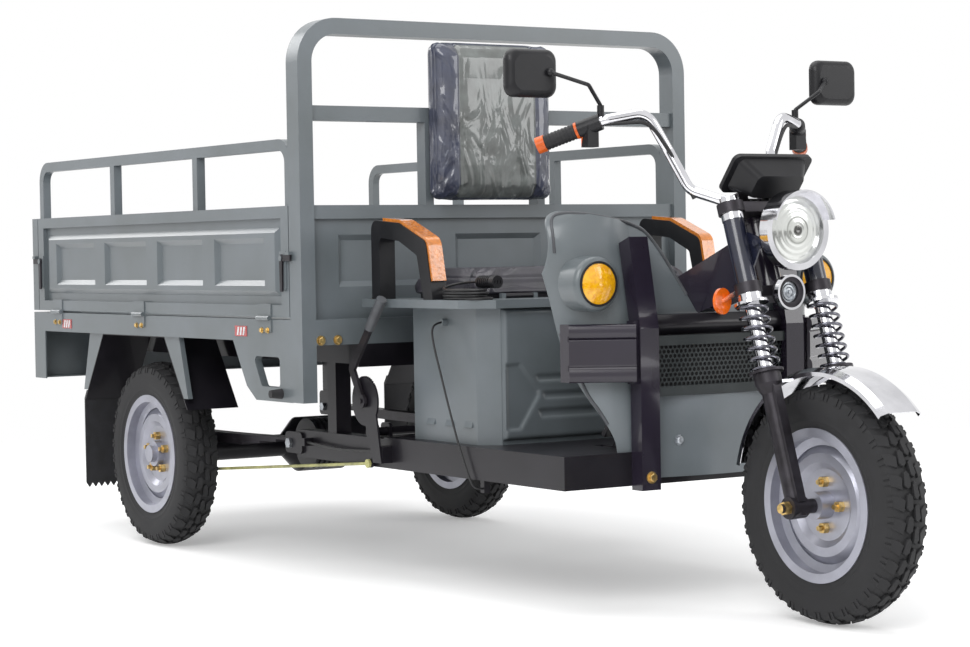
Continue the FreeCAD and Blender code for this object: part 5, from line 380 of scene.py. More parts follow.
    # The dark bulb in the middle, its bright cup, the cup's edge, and the ribbed bowl round it
    stops = ((0.0, "#3C3C3A"), (0.13, "#4A4A47"), (0.17, "#D4D6D2"), (0.33, "#C9CBC6"), (0.36, "#8E918C"),
             (0.4, "#D9DBD7"))
    for position, code in stops[:-2]:
        zones.color_ramp.elements.new(0.5)
    for element, (position, code) in zip(zones.color_ramp.elements, stops):
        element.position = position
        element.color = linear(code)
    tree.links.new(zones.outputs["Color"], shader.inputs["Base Color"])
    surface("mirror_glass", "#C4CAD0", 0.03, metallic=1.0, spread=0.02, patch=50.0)
    surface("dial_face", "#101114", 0.2, coat=1.0, spread=0.1, patch=30.0)
    # Vinyl seat cover: leather-grain emboss about 2 mm across
    for name, code, coat in (("dark_seat_vinyl", colours.seat_dark, 0.15),
                             ("grey_back_vinyl", colours.back_grey, 1.0),
                             ("navy_back_vinyl", "#34384A", 1.0), ("armrest_vinyl", "#1C1F2B", 0.2)):
        tree, shader, place = surface(name, code, 0.42, coat=coat, spread=0.12, patch=45.0)
        grain = add(tree, "ShaderNodeTexVoronoi",
                    {"Scale": per_metre(vinyl_grain), "feature": "DISTANCE_TO_EDGE"},
                    {"Vector": place})
        bump = bumped(tree, shader, grain.outputs["Distance"], 0.35, 0.0006)
        if coat > 0.5:
            # Clear wrapping film left on the pad: tight crinkles that catch the light
            slant = add(tree, "ShaderNodeMapping", {"Rotation": (math.radians(24.0), 0.0, 0.0),
                                                    "Scale": (1.0, 1.0, 0.42)},
                        {"Vector": place})
            crease = add(tree, "ShaderNodeTexNoise",
                         {"Scale": per_metre(62.0), "Detail": 2.5, "Distortion": 0.7},
                         {"Vector": slant.outputs["Vector"]})
            rise = add(tree, "ShaderNodeSeparateXYZ", None, {"Vector": place})
            reach = {"From Min": film_slack_high, "From Max": film_slack_low, "To Min": 0.12, "To Max": 1.0}
            slack = add(tree, "ShaderNodeMapRange", reach, {"Value": rise.outputs["Z"]})
            folds = worked(tree, "MULTIPLY", crease.outputs["Fac"], slack.outputs["Result"])
            film = add(tree, "ShaderNodeBump", {"Strength": 1.0, "Distance": 0.024}, {"Height": folds})
            tree.links.new(film.outputs["Normal"], shader.inputs["Coat Normal"])
            tree.links.new(film.outputs["Normal"], bump.inputs["Normal"])


def shown(name, mesh, finish, body=None, replaced=(), smooth=True):
    """Puts a finished mesh in the scene as a piece that rides on a body."""
    piece = bpy.data.objects.new(name, mesh)
    bpy.context.scene.collection.objects.link(piece)
    if finish:
        mesh.materials.clear()
        mesh.materials.append(finishes[finish])
    if smooth:
        mesh.shade_smooth()
    if body:
        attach(piece, body)
    if replaced:
        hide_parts(*replaced)
    return piece


def crisp(name, mesh, finish, body="chassis", replaced=(), degrees=32.0):
    """A piece with smooth shading that keeps the edges sharper than an angle."""
    piece = shown(name, mesh, finish, body, replaced, smooth=False)
    mesh.shade_smooth()
    shape = bmesh.new()
    shape.from_mesh(mesh)
    for edge in shape.edges:
        edge.smooth = len(edge.link_faces) == 2 and edge.calc_face_angle(0.0) < math.radians(degrees)
    shape.to_mesh(mesh)
    shape.free()
    return piece


def meshed(name, points, faces):
    """A mesh with its normals outward."""
    mesh = bpy.data.meshes.new(name)
    mesh.from_pydata([tuple(p) for p in points], [], faces)
    shape = bmesh.new()
    shape.from_mesh(mesh)
    bmesh.ops.remove_doubles(shape, verts=shape.verts, dist=1e-6)
    bmesh.ops.recalc_face_normals(shape, faces=shape.faces)
    shape.to_mesh(mesh)
    shape.free()
    return mesh


def merged(name, meshes):
    """Several meshes as one, each face keeping its material index."""
    shape = bmesh.new()
    for mesh in meshes:
        shape.from_mesh(mesh)
    whole = bpy.data.meshes.new(name)
    shape.to_mesh(whole)
    shape.free()
    return whole


def turned(name, profile, centre, direction, steps=64, closed=False):
    """A shape of revolution: profile holds radius and reach along the axis, in millimetres."""
    axis = Vector(direction).normalized()
    side = axis.orthogonal().normalized()
    other = axis.cross(side)
    points = []
    for k in range(steps):
        angle = math.tau * k / steps
        spoke = side * math.cos(angle) + other * math.sin(angle)
        points += [centre + (spoke * r + axis * a) / 1000.0 for r, a in profile]
    count = len(profile)
    faces = []
    for k in range(steps):
        here = k * count
        there = (k + 1) % steps * count
        for j in range(count if closed else count - 1):
            n = (j + 1) % count
            faces.append((here + j, here + n, there + n, there + j))
    return meshed(name, points, faces)


def plate(name, outline, front, back):
    """A flat plate between two places, from points of its outline."""
    count = len(outline)
    points = [p + front for p in outline] + [p + back for p in outline]
    faces = [tuple(range(count)), tuple(range(2 * count - 1, count - 1, -1))]
    faces += [(k, (k + 1) % count, count + (k + 1) % count, count + k) for k in range(count)]
    return meshed(name, points, faces)


def piped(name, points, radius, resolution=6, cyclic=False):
    """A NURBS spline with round section through control points, as a curve object's data."""
    data = bpy.data.curves.new(name, "CURVE")
    data.dimensions = "3D"
    data.bevel_depth = radius
    data.bevel_resolution = 3
    data.resolution_u = resolution
    data.use_fill_caps = True
    spline = data.splines.new("NURBS")
    spline.points.add(len(points) - 1)
    for place, point in zip(spline.points, points):
        place.co = (*point, 1.0)
    spline.order_u = 3
    spline.use_endpoint_u = not cyclic
    spline.use_cyclic_u = cyclic
    return data


def solid_of(data):
    """The mesh of a curve, or of an object with its modifiers."""
    piece = bpy.data.objects.new("form", data)
    bpy.context.scene.collection.objects.link(piece)
    return settled(piece)


def settled(piece):
    """The evaluated mesh of an object, which is then removed."""
    depsgraph = bpy.context.evaluated_depsgraph_get()
    mesh = bpy.data.meshes.new_from_object(piece.evaluated_get(depsgraph), depsgraph=depsgraph)
    bpy.data.objects.remove(piece)
    return mesh


def shells(node):
    """The closed shells of a node as meshes, merged, the one with most faces first."""
    shape = bmesh.new()
    shape.from_mesh(nodes[node].data)
    bmesh.ops.remove_doubles(shape, verts=shape.verts, dist=2e-6)
    waiting = set(shape.faces)
    found = []
    while waiting:
        group = [waiting.pop()]
        for face in group:
            for edge in face.edges:
                near = [f for f in edge.link_faces if f in waiting]
                waiting.difference_update(near)
                group += near
        found.append(group)
    meshes = []
    for group in sorted(found, key=len, reverse=True):
        corners = {}
        faces = [tuple(corners.setdefault(v, len(corners)) for v in f.verts) for f in group]
        mesh = bpy.data.meshes.new(node)
        mesh.from_pydata([tuple(v.co) for v in corners], [], faces)
        meshes.append(mesh)
    shape.free()
    return meshes


def paint(node, base, *rules):
    """Gives a node its finish, and other finishes where a rule's test on place and normal holds."""
    mesh = nodes[node].data
    mesh.materials.clear()
    for name in (base,) + tuple(rule[0] for rule in rules):
        mesh.materials.append(finishes[name])
    for face in mesh.polygons:
        face.material_index = 0
        for k, (name, test) in enumerate(rules, 1):
            if test(face.center * 1000.0, face.normal):
                face.material_index = k


def grown(name, base, tree, values):
    """The mesh that a node tree grows on a base mesh."""
    piece = bpy.data.objects.new(name, base)
    bpy.context.scene.collection.objects.link(piece)
    modifier = piece.modifiers.new("Grow", "NODES")
    modifier.node_group = tree
    for item in tree.interface.items_tree:
        if item.item_type == "SOCKET" and item.in_out == "INPUT" and item.name in values:
            modifier[item.identifier] = values[item.name]
    mesh = settled(piece)
    mesh.name = name
    return mesh


def open_tree(name, inputs):
    """A geometry node tree with its named inputs."""
    tree = bpy.data.node_groups.new(name, "GeometryNodeTree")
    tree.interface.new_socket("Geometry", in_out="INPUT", socket_type="NodeSocketGeometry")
    for label, kind in inputs:
        tree.interface.new_socket(label, in_out="INPUT", socket_type="NodeSocket" + kind)
    tree.interface.new_socket("Geometry", in_out="OUTPUT", socket_type="NodeSocketGeometry")
    return tree, add(tree, "NodeGroupInput").outputs, add(tree, "NodeGroupOutput")


def closed_tree(tree, geometry, given, end):
    """A tree ended with its geometry, which gets its finish."""
    painted = add(tree, "GeometryNodeSetMaterial", None, {"Geometry": geometry, "Material": given["Finish"]})
    tree.links.new(painted.outputs["Geometry"], end.inputs["Geometry"])
    return tree


def ring_tree():
    """Copies of a template turned about the Y axis through a centre."""
    tree, given, end = open_tree("Round an axle",
                                 [("Template", "Object"), ("Count", "Int"), ("Centre", "Vector"),
                                                   ("Finish", "Material")])
    line = add(tree, "GeometryNodeMeshLine", {"Offset": (0.0, 0.0, 0.0)}, {"Count": given["Count"]})
    index = add(tree, "GeometryNodeInputIndex")
    share = worked(tree, "DIVIDE", index.outputs["Index"], given["Count"])
    turn = add(tree, "ShaderNodeCombineXYZ", None, {"Y": worked(tree, "MULTIPLY", share, math.tau)})
    template = add(tree, "GeometryNodeObjectInfo", None, {"Object": given["Template"]})
    copies = add(tree, "GeometryNodeInstanceOnPoints", None, {
        "Points": line.outputs["Mesh"], "Instance": template.outputs["Geometry"],
        "Rotation": turn.outputs["Vector"]})
    real = add(tree, "GeometryNodeRealizeInstances", None, {"Geometry": copies.outputs["Instances"]})
    moved = add(tree, "GeometryNodeTransform", None,
                {"Geometry": real.outputs["Geometry"], "Translation": given["Centre"]})
    return closed_tree(tree, moved.outputs["Geometry"], given, end)


def coil_tree():
    """A coil spring of round wire that stands on a foot and leans with the fork."""
    tree, given, end = open_tree("Coil spring",
                                 [("Turns", "Float"), ("Radius", "Float"), ("Height", "Float"),
                                                 ("Wire", "Float"), ("Lean", "Vector"), ("Foot", "Vector"),
                                                 ("Finish", "Material")])
    path = add(tree, "GeometryNodeCurveSpiral", {"Resolution": 28}, {
        "Rotations": given["Turns"], "Start Radius": given["Radius"], "End Radius": given["Radius"],
        "Height": given["Height"]})
    section = add(tree, "GeometryNodeCurvePrimitiveCircle", {"Resolution": 10}, {"Radius": given["Wire"]})
    wire = add(tree, "GeometryNodeCurveToMesh", {"Fill Caps": True}, {
        "Curve": path.outputs["Curve"], "Profile Curve": section.outputs["Curve"]})
    leaned = add(tree, "GeometryNodeTransform", None, {
        "Geometry": wire.outputs["Mesh"], "Rotation": given["Lean"], "Translation": given["Foot"]})
    real = add(tree, "GeometryNodeRealizeInstances", None, {"Geometry": leaned.outputs["Geometry"]})
    return closed_tree(tree, real.outputs["Geometry"], given, end)


def perforation_tree():
    """Staggered copies of a cell with a hole, over a sheet that faces forward."""
    tree, given, end = open_tree("Perforated sheet",
                                 [("Template", "Object"), ("Columns", "Int"), ("Rows", "Int"),
                                                      ("Width", "Float"), ("Height", "Float"),
                                  ("Stagger", "Float"),
                                                      ("Centre", "Vector"), ("Finish", "Material")])
    grid = add(tree, "GeometryNodeMeshGrid", None, {
        "Size X": given["Width"], "Size Y": given["Height"], "Vertices X": given["Columns"],
        "Vertices Y": given["Rows"]})
    index = add(tree, "GeometryNodeInputIndex")
    row = worked(tree, "MODULO", index.outputs["Index"], given["Rows"])
    shift = worked(tree, "MULTIPLY", worked(tree, "MODULO", row, 2.0), given["Stagger"])
    offset = add(tree, "ShaderNodeCombineXYZ", None, {"X": shift})
    placed = add(tree, "GeometryNodeSetPosition", None,
                 {"Geometry": grid.outputs["Mesh"], "Offset": offset.outputs["Vector"]})
    template = add(tree, "GeometryNodeObjectInfo", None, {"Object": given["Template"]})
    copies = add(tree, "GeometryNodeInstanceOnPoints", None, {
        "Points": placed.outputs["Geometry"], "Instance": template.outputs["Geometry"]})
    real = add(tree, "GeometryNodeRealizeInstances", None, {"Geometry": copies.outputs["Instances"]})
    one = add(tree, "GeometryNodeMergeByDistance", {"Distance": 1e-5},
              {"Geometry": real.outputs["Geometry"]})
    stood = add(tree, "GeometryNodeTransform", {"Rotation": (math.pi / 2, 0.0, math.pi / 2)}, {
        "Geometry": one.outputs["Geometry"], "Translation": given["Centre"]})
    return closed_tree(tree, stood.outputs["Geometry"], given, end)


def bolt_tree():
    """A hex bolt on each point, standing along the point's facing."""
    tree, given, end = open_tree("Bolts", [("Template", "Object"), ("Finish", "Material")])
    facing = add(tree, "GeometryNodeInputNamedAttribute", {"data_type": "FLOAT_VECTOR", "Name": "facing"})
    size = add(tree, "GeometryNodeInputNamedAttribute", {"data_type": "FLOAT", "Name": "size"})
    turn = add(tree, "FunctionNodeAlignRotationToVector", {"axis": "Z"},
               {"Vector": facing.outputs["Attribute"]})
    template = add(tree, "GeometryNodeObjectInfo", None, {"Object": given["Template"]})
    copies = add(tree, "GeometryNodeInstanceOnPoints", None, {
        "Points": given["Geometry"], "Instance": template.outputs["Geometry"],
        "Rotation": turn.outputs["Rotation"], "Scale": size.outputs["Attribute"]})
    real = add(tree, "GeometryNodeRealizeInstances", None, {"Geometry": copies.outputs["Instances"]})
    return closed_tree(tree, real.outputs["Geometry"], given, end)


def template_of(mesh):
    """A mesh as a loose object for a tree to copy."""
    piece = bpy.data.objects.new("template", mesh)
    bpy.context.scene.collection.objects.link(piece)
    return piece


def spare():
    """An empty base mesh with one point."""
    mesh = bpy.data.meshes.new("base")
    mesh.from_pydata([(0.0, 0.0, 0.0)], [], [])
    return mesh


# Stage

def seen_rays(tree):
    """One for the rays that show the surroundings to the eye, in metal or through glass."""
    ray = add(tree, "ShaderNodeLightPath")
    seen = ray.outputs["Is Camera Ray"]
    for kind in ("Is Glossy Ray", "Is Transmission Ray"):
        seen = worked(tree, "MAXIMUM", seen, ray.outputs[kind])
    return seen


def lay_stage(colours):
    """Camera, pale floor, white surroundings and soft lamps."""
    scene = bpy.context.scene
    scene.view_settings.view_transform = "Standard"
    data = bpy.data.cameras.new("camera")
    data.lens = camera_lens
    data.sensor_width = 36.0
    data.clip_end = 100.0
    yaw, pitch, roll = (math.radians(a) for a in camera_turns)
    look = Vector((-math.sin(yaw) * math.cos(pitch), math.cos(yaw) * math.cos(pitch), -math.sin(pitch)))
    right = look.cross(Vector((0.0, 0.0, 1.0))).normalized()
    up = right.cross(look)
    rolled = right * math.cos(roll) + up * math.sin(roll)
    raised = up * math.cos(roll) - right * math.sin(roll)
    camera = bpy.data.objects.new("camera", data)
    camera.matrix_world = Matrix((rolled, raised, -look)).transposed().to_4x4()
    camera.location = camera_place
    scene.collection.objects.link(camera)
    scene.camera = camera

    world = bpy.data.worlds.new("studio")
    world.use_nodes = True
    scene.world = world
    tree = world.node_tree
    tree.nodes.clear()
    seen = seen_rays(tree)
    level = add(tree, "ShaderNodeMapRange", {"To Min": 0.55, "To Max": 1.0}, {"Value": seen})
    back = add(tree, "ShaderNodeBackground", {"Color": (1.0, 1.0, 1.0, 1.0)},
               {"Strength": level.outputs["Result"]})
    add(tree, "ShaderNodeOutputWorld", None, {"Surface": back.outputs["Background"]})

    # Studio floor: matt white roll, fading into the white surroundings far out
    floor_material = bpy.data.materials.new("matt_white_floor")
    floor_material.use_nodes = True
    tree = floor_material.node_tree
    shader = tree.nodes["Principled BSDF"]
    shader.inputs["Base Color"].default_value = linear(colours.floor_pale)
    shader.inputs["Roughness"].default_value = 0.9
    place = add(tree, "ShaderNodeTexCoord").outputs["Object"]
    reach = add(tree, "ShaderNodeVectorMath", {"operation": "LENGTH"})
    tree.links.new(place, reach.inputs[0])
    fade = add(tree, "ShaderNodeMapRange", {"From Min": 2.4, "From Max": 5.0,
                                            "interpolation_type": "SMOOTHSTEP"},
               {"Value": reach.outputs["Value"]})
    clear = add(tree, "ShaderNodeBsdfTransparent")
    lift = add(tree, "ShaderNodeMapRange", {"To Max": 0.3}, {"Value": seen_rays(tree)})
    shader.inputs["Emission Color"].default_value = (1.0, 1.0, 1.0, 1.0)
    tree.links.new(lift.outputs["Result"], shader.inputs["Emission Strength"])
    mix = add(tree, "ShaderNodeMixShader", None, {"Fac": fade.outputs["Result"]})
    tree.links.new(shader.outputs["BSDF"], mix.inputs[1])
    tree.links.new(clear.outputs["BSDF"], mix.inputs[2])
    tree.links.new(mix.outputs["Shader"], tree.nodes["Material Output"].inputs["Surface"])
    corners = [(-9, -9, 0), (9, -9, 0), (9, 9, 0), (-9, 9, 0)]
    floor = bpy.data.objects.new("studio_floor", meshed("studio_floor", corners, [(0, 1, 2, 3)]))
    floor.data.materials.append(floor_material)
    scene.collection.objects.link(floor)

    # Dark cards that only reflections see, so that chrome and gloss paint get their dark bands
    card_material = bpy.data.materials.new("black_card")
    card_material.use_nodes = True
    shader = card_material.node_tree.nodes["Principled BSDF"]
    shader.inputs["Base Color"].default_value = linear("#0A0A0C")
    shader.inputs["Roughness"].default_value = 1.0
    for name, corners in (
            ("card_right", ((-3.5, -4.2, 0.35), (2.6, -4.2, 0.35), (2.6, -4.2, 1.0), (-3.5, -4.2, 1.0))),
            ("card_front", ((4.6, -1.6, 0.1), (4.6, 2.4, 0.1), (4.6, 2.4, 0.85), (4.6, -1.6, 0.85))),
            ("card_side", ((3.4, -3.6, 1.2), (4.2, -2.8, 1.2), (4.2, -2.8, 2.2), (3.4, -3.6, 2.2)))):
        card = bpy.data.objects.new(name, meshed(name, corners, [(0, 1, 2, 3)]))
        card.data.materials.append(card_material)
        scene.collection.objects.link(card)
        card.visible_camera = False
        card.visible_diffuse = False
        card.visible_shadow = False
        card.visible_transmission = False

    target = Vector((0.2, 0.0, 0.6))
    lamps = (("key", (4.5, -5.0, 4.6), 3.8, 275.0), ("fill", (5.5, 4.5, 3.2), 3.0, 110.0),
             ("top", (-0.5, -0.5, 5.6), 5.2, 180.0), ("back", (-5.5, -2.0, 3.4), 2.6, 80.0))
    for name, place_at, size, power in lamps:
        lamp = bpy.data.lights.new(name, "AREA")
        lamp.shape = "SQUARE"
        lamp.size = size
        lamp.energy = power
        light = bpy.data.objects.new(name, lamp)
        light.location = place_at
        light.rotation_euler = (target - Vector(place_at)).to_track_quat("-Z", "Y").to_euler()
        scene.collection.objects.link(light)


# Leads and cables

def s_step(share):
    """An even S-shaped step from 0 to 1."""
    held = min(1.0, max(0.0, share))
    return held * held * (3.0 - 2.0 * held)


def coil_point(turn):
    """A point of the charging lead's flat coil on the seat plate, by turns wound, in metres."""
    layer = min(int(turn / 2), 3)
    along = turn / 2 - layer
    inward = along if layer % 2 == 0 else 1.0 - along
    reach = coil_outer - coil_gather * inward + coil_lead_in * (1.0 - s_step(2.0 * turn))
    level = sum(s_step(2.0 * (turn - 2.0 * k) + 0.5) for k in (1, 2, 3))
    rise = coil_layer * level + coil_lift * s_step(2.0 * (turn - coil_turns) + 1.0)
    angle = math.pi / 2 - math.tau * turn
    c = math.cos(angle)
    straight = coil_straight * (3.0 * c - c ** 3) / 2.0
    x, y, z = coil_centre
    return metres(x + straight + reach * c, y + reach * math.sin(angle), z + rise)


def lead_piece(name, points, radius, length, node):
    """A cord along its route, standing for its solids."""
    data = piped(name, points, radius)
    data.materials.append(finishes["cord_rubber"])
    piece = bpy.data.objects.new(name, data)
    bpy.context.scene.collection.objects.link(piece)
    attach(piece, "chassis")
    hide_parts(node)
    return piece


def spline_length(points):
    """The length of the smooth line through a route."""
    data = piped("measure", points, 0.0, 12)
    mesh = solid_of(data)
    places = [v.co for v in mesh.vertices]
    return sum((places[e.vertices[0]] - places[e.vertices[1]]).length for e in mesh.edges)


def lay_leads():
    """The coiled charging lead, the seat lock lead, the hand brake cable and the bar's harness."""
    per_turn = 20
    coil = [coil_point(k / per_turn) for k in range(coil_turns * per_turn + 1)]
    near = metres(4, 0, 0)
    far = metres(8, 0, 0)
    route = [coil[0] - far, coil[0] - near] + coil + [coil[-1] + near, coil[-1] + far]
    lead_piece("charging_lead", route, 0.003, spline_length(route), "charge_lead")
    seat_route = [from_axle(x, y, z) for x, y, z in (
        (-940, -399, 650), (-940, -416, 648), (-937, -428, 634), (-928, -432, 612), (-913, -433, 576),
        (-890, -434, 528),
        (-866, -434.5, 474), (-840, -435.5, 420), (-816, -434.5, 366), (-791, -433, 318), (-774, -433, 290),
        (-767, -429, 272), (-764, -416, 264), (-763, -404, 264))]
    lead_piece("seat_lock_lead", seat_route, 0.0025, spline_length(seat_route),
               "seat_lead")
    brake_route = [from_axle(x, y, z) for x, y, z in (
        (-1180, -440, 330), (-1300, -440, 322), (-1420, -440, 322), (-1540, -440, 330))]
    lead_piece("hand_brake_cable", brake_route, 0.004, spline_length(brake_route),
               "handbrake_cable")
    bar = [(-322, -118, 934), (-352, -136, 1002), (-362, -150, 1034), (-379, -196, 1108), (-404, -240, 1106),
           (-441, -290, 1104)]
    for side, word in ((1.0, "right"), (-1.0, "left")):
        points = [from_axle(x + 9, side * y, z - 5) for x, y, z in bar]
        harness = solid_of(piped("bar_harness_" + word, points, 0.0045))
        shown("bar_harness_" + word, harness, "cord_rubber", "steering")


# Tyres

def tread_pitch(depth):
    """One pitch of the tread about an axle at the origin: two shoulder lugs, two middle blocks and ribs."""
    shoulder = [(-20, -47), (9, -47.5), (14, -36), (20, -24.5), (-5, -20), (-14, -31)]
    middle = [(-17, -15), (11, -19.5), (19, -11), (13, -2.8), (-13, -2), (-20.5, -8)]
    half_pitch = 23.75
    outlines = []
    for block in (shoulder, middle):
        outlines.append(block)
        outlines.append([(s + half_pitch, -y) for s, y in reversed(block)])
    points, faces = [], []

    def crown(y):
        return tyre_radius - 14.0 * (y / 46.0) ** 2

    def ring(outline, share, drop):
        middle_s = sum(p[0] for p in outline) / len(outline)
        middle_y = sum(p[1] for p in outline) / len(outline)
        start = len(points)
        for s, y in outline:
            s1 = middle_s + (s - middle_s) * share
            y1 = middle_y + (y - middle_y) * share
            radius = crown(y1) - drop
            angle = s1 / tread_radius
            points.append(metres(radius * math.sin(angle), y1, radius * math.cos(angle)))
        return list(range(start, len(points)))

    for outline in outlines:
        top = ring(outline, 0.9, 0.2)
        edge = ring(outline, 0.98, 1.6)
        foot = ring(outline, 1.02, depth * 1000.0 + 3.0)
        faces.append(tuple(top))
        for high, low in ((top, edge), (edge, foot)):
            faces += [(high[k], low[k], low[(k + 1) % 6], high[(k + 1) % 6]) for k in range(6)]
    # Ribs down the shoulder wall under each lug
    for side, shift in ((-1.0, 0.0), (1.0, half_pitch)):
        for offset in (-13.0, 1.0):
            start = len(points)
            for radius, y in ((246.0, 46.0), (246.0, 48.6), (231.0, 51.8), (229.0, 50.0)):
                for half in (-4.5, 4.5):
                    angle = (offset + shift + half) / tread_radius
                    points.append(metres(radius * math.sin(angle), side * y, radius * math.cos(angle)))
            a = start
            faces += [(a, a + 1, a + 3, a + 2), (a + 2, a + 3, a + 5, a + 4), (a + 4, a + 5, a + 7, a + 6),
                      (a, a + 2, a + 4, a + 6), (a + 1, a + 7, a + 5, a + 3), (a, a + 6, a + 7, a + 1)]
    return meshed("tread_pitch", points, faces)


def fit_tyres(sizes):
    """Three tyres: a turned carcass and its tread blocks."""
    half = [(152, 43), (160, 44.4), (167.5, 45.2), (170, 46.2), (173, 46.4), (182, 49.6), (184, 50.6),
            (186, 50.2), (196, 51.6),
            (198, 52.0), (206, 52.0), (218, 51.6), (230, 50.0), (238, 48.4), (243, 46.0), (246.5, 40),
            (249.5, 26), (251, 12)]
    profile = half + [(r, -y) for r, y in reversed(half)]
    tree = ring_tree()
    template = template_of(tread_pitch(sizes.tread_depth))
    for name, node, body, centre in (
            ("front_tread_tyre", "front_tyre", "front_wheel_body", front_axle),
            ("rear_right_tread_tyre", "rear_tyre_right", "rear_wheel_right_body", right_wheel),
            ("rear_left_tread_tyre", "rear_tyre_left", "rear_wheel_left_body", left_wheel)):
        carcass = turned("carcass", profile, metres(*centre), (0, 1, 0), 112, True)
        tread = grown("tread", spare(), tree, {"Template": template, "Count": sizes.tread_pitches,
                                               "Centre": metres(*centre),
                                               "Finish": finishes["tyre_rubber"]})
        whole = merged(name, [carcass, tread])
        crisp(name, whole, "tyre_rubber", body, (node,))
    bpy.data.objects.remove(template)


# Springs

def fit_fork_springs(sizes):
    """The two coil springs round the stanchions, riding on the fork's lower legs."""
    tree = coil_tree()
    coils = []
    for side in (-fork_side, fork_side):
        coils.append(grown("coil", spare(), tree, {
            "Turns": sizes.spring_turns, "Radius": sizes.spring_radius, "Height": spring_length / 1000.0,
            "Wire": sizes.spring_wire, "Lean": (0.0, -fork_rake, 0.0),
            "Foot": along_fork(0.0, side, spring_foot),
            "Finish": finishes["black_chrome_plate"]}))
    piece = shown("fork_coils", merged("fork_coils", coils), "black_chrome_plate", "fork_lower",
                  ("fork_springs",))
    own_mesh(piece)


def fit_leaf_springs():
    """The leaf packs, halved at the axle into a front and a rear half."""
    for word, toward in (("front", 1.0), ("rear", -1.0)):
        mesh = merged("leaf_half_" + word, shells("leaf_springs"))
        shape = bmesh.new()
        shape.from_mesh(mesh)
        cut = bmesh.ops.bisect_plane(shape, geom=shape.verts[:] + shape.edges[:] + shape.faces[:], dist=1e-6,
                                     plane_co=metres(rear_axle_x, 0, 0), plane_no=(-toward, 0, 0),
                                     clear_outer=True)
        rim = [e for e in cut["geom_cut"] if isinstance(e, bmesh.types.BMEdge)]
        bmesh.ops.holes_fill(shape, edges=rim, sides=0)
        shape.to_mesh(mesh)
        shape.free()
        piece = crisp("leaf_half_" + word, mesh, "dark_worked_steel", None, ("leaf_springs",))
        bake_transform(piece)


# Seat and back

def foam(name, mesh, cap, held):
    """Foam under its cover: remeshed, swollen by pressure within a cap, and smoothed."""
    voxel = 0.006
    frames = 20
    scene = bpy.context.scene
    piece = bpy.data.objects.new(name, mesh)
    scene.collection.objects.link(piece)
    remesh = piece.modifiers.new("Remesh", "REMESH")
    remesh.mode = "VOXEL"
    remesh.voxel_size = voxel
    base = settled(piece)
    piece = bpy.data.objects.new(name, base.copy())
    scene.collection.objects.link(piece)
    group = piece.vertex_groups.new(name="held")
    group.add([v.index for v in base.vertices if held(v.co * 1000.0)], 1.0, "REPLACE")
    cloth = piece.modifiers.new("Cloth", "CLOTH")
    cloth.settings.quality = 4
    cloth.settings.use_pressure = True
    cloth.settings.uniform_pressure_force = 4.0
    cloth.settings.effector_weights.gravity = 0.0
    cloth.settings.vertex_group_mass = "held"
    cloth.point_cache.frame_start = 1
    cloth.point_cache.frame_end = frames
    for step in range(1, frames + 1):
        scene.frame_set(step)
    swelled = settled(piece)
    scene.frame_set(1)
    moved = []
    for place, goal in zip(base.vertices, swelled.vertices):
        move = goal.co - place.co
        moved.extend(place.co + move * min(1.0, cap / max(move.length, 1e-9)))
    base.vertices.foreach_set("co", moved)
    piece = bpy.data.objects.new(name, base)
    scene.collection.objects.link(piece)
    finer = piece.modifiers.new("Finer", "SUBSURF")
    finer.levels = 1
    finer.render_levels = 1
    return settled(piece)


def sewn(mesh, side, level, depth, width):
    """Presses a sewn line into a mesh: side gives a point's distance to the line, level where it lies."""
    outward = [v.normal.copy() for v in mesh.vertices]
    places = [v.co.copy() for v in mesh.vertices]
    for k, place in enumerate(places):
        spot = place * 1000.0
        if level(spot):
            places[k] = place - outward[k] * (depth / 1000.0 * math.exp(-(side(spot) / width) ** 2))
    mesh.vertices.foreach_set("co", [c for place in places for c in place])
    mesh.update()


def shrink(mesh, centre, shares):
    """Draws a mesh in about a centre, so that its foam can swell to the solid's size."""
    drawn_in = Matrix.Diagonal((*shares, 1.0))
    mesh.transform(Matrix.Translation(centre) @ drawn_in @ Matrix.Translation(-centre))


def fit_seat(sizes):
    """The seat cushion on its pan."""
    start, *rest = shells("seat_cushion")
    shrink(start, metres(seat_middle_x, 0, pan_top), (0.985, 0.99, 0.93))
    pad = foam("cushion_foam", start, sizes.seat_swell, lambda place: place.z < pan_top + 3.0)
    sewn(pad, lambda place: place.z - seat_seam, lambda place: True, 2.6, 3.0)
    cushion = shown("seat_cushion_pad", pad, "dark_seat_vinyl", "seat_cushion_body",
                    ("seat_cushion",))
    crisp("seat_pan", merged("seat_pan", rest), "black_frame_paint", "seat_cushion_body")


def fit_back(sizes):
    """The backrest pad, grey in the middle and navy at the sides."""
    start = shells("backrest_pad")[0]
    shrink(start, metres(board_front, back_middle_y, back_middle_z), (0.93, 0.985, 0.985))
    pad = foam("back_foam", start, sizes.back_swell, lambda place: place.x < board_front + 3.0)

    def past_panel(place):
        return abs(place.y - back_middle_y) - back_panel_half

    sewn(pad, past_panel, lambda place: place.x > board_front + 6.0, 4.5, 4.0)
    sewn(pad, lambda place: place.x - back_seam, lambda place: True, 2.2, 3.0)
    piece = shown("backrest_cushion", pad, "grey_back_vinyl", "chassis", ("backrest_pad",))
    pad.materials.append(finishes["navy_back_vinyl"])
    for face in pad.polygons:
        place = face.center * 1000.0
        face.material_index = 1 if past_panel(place) > 0.0 or place.x < back_seam else 0


# Pressed sheet

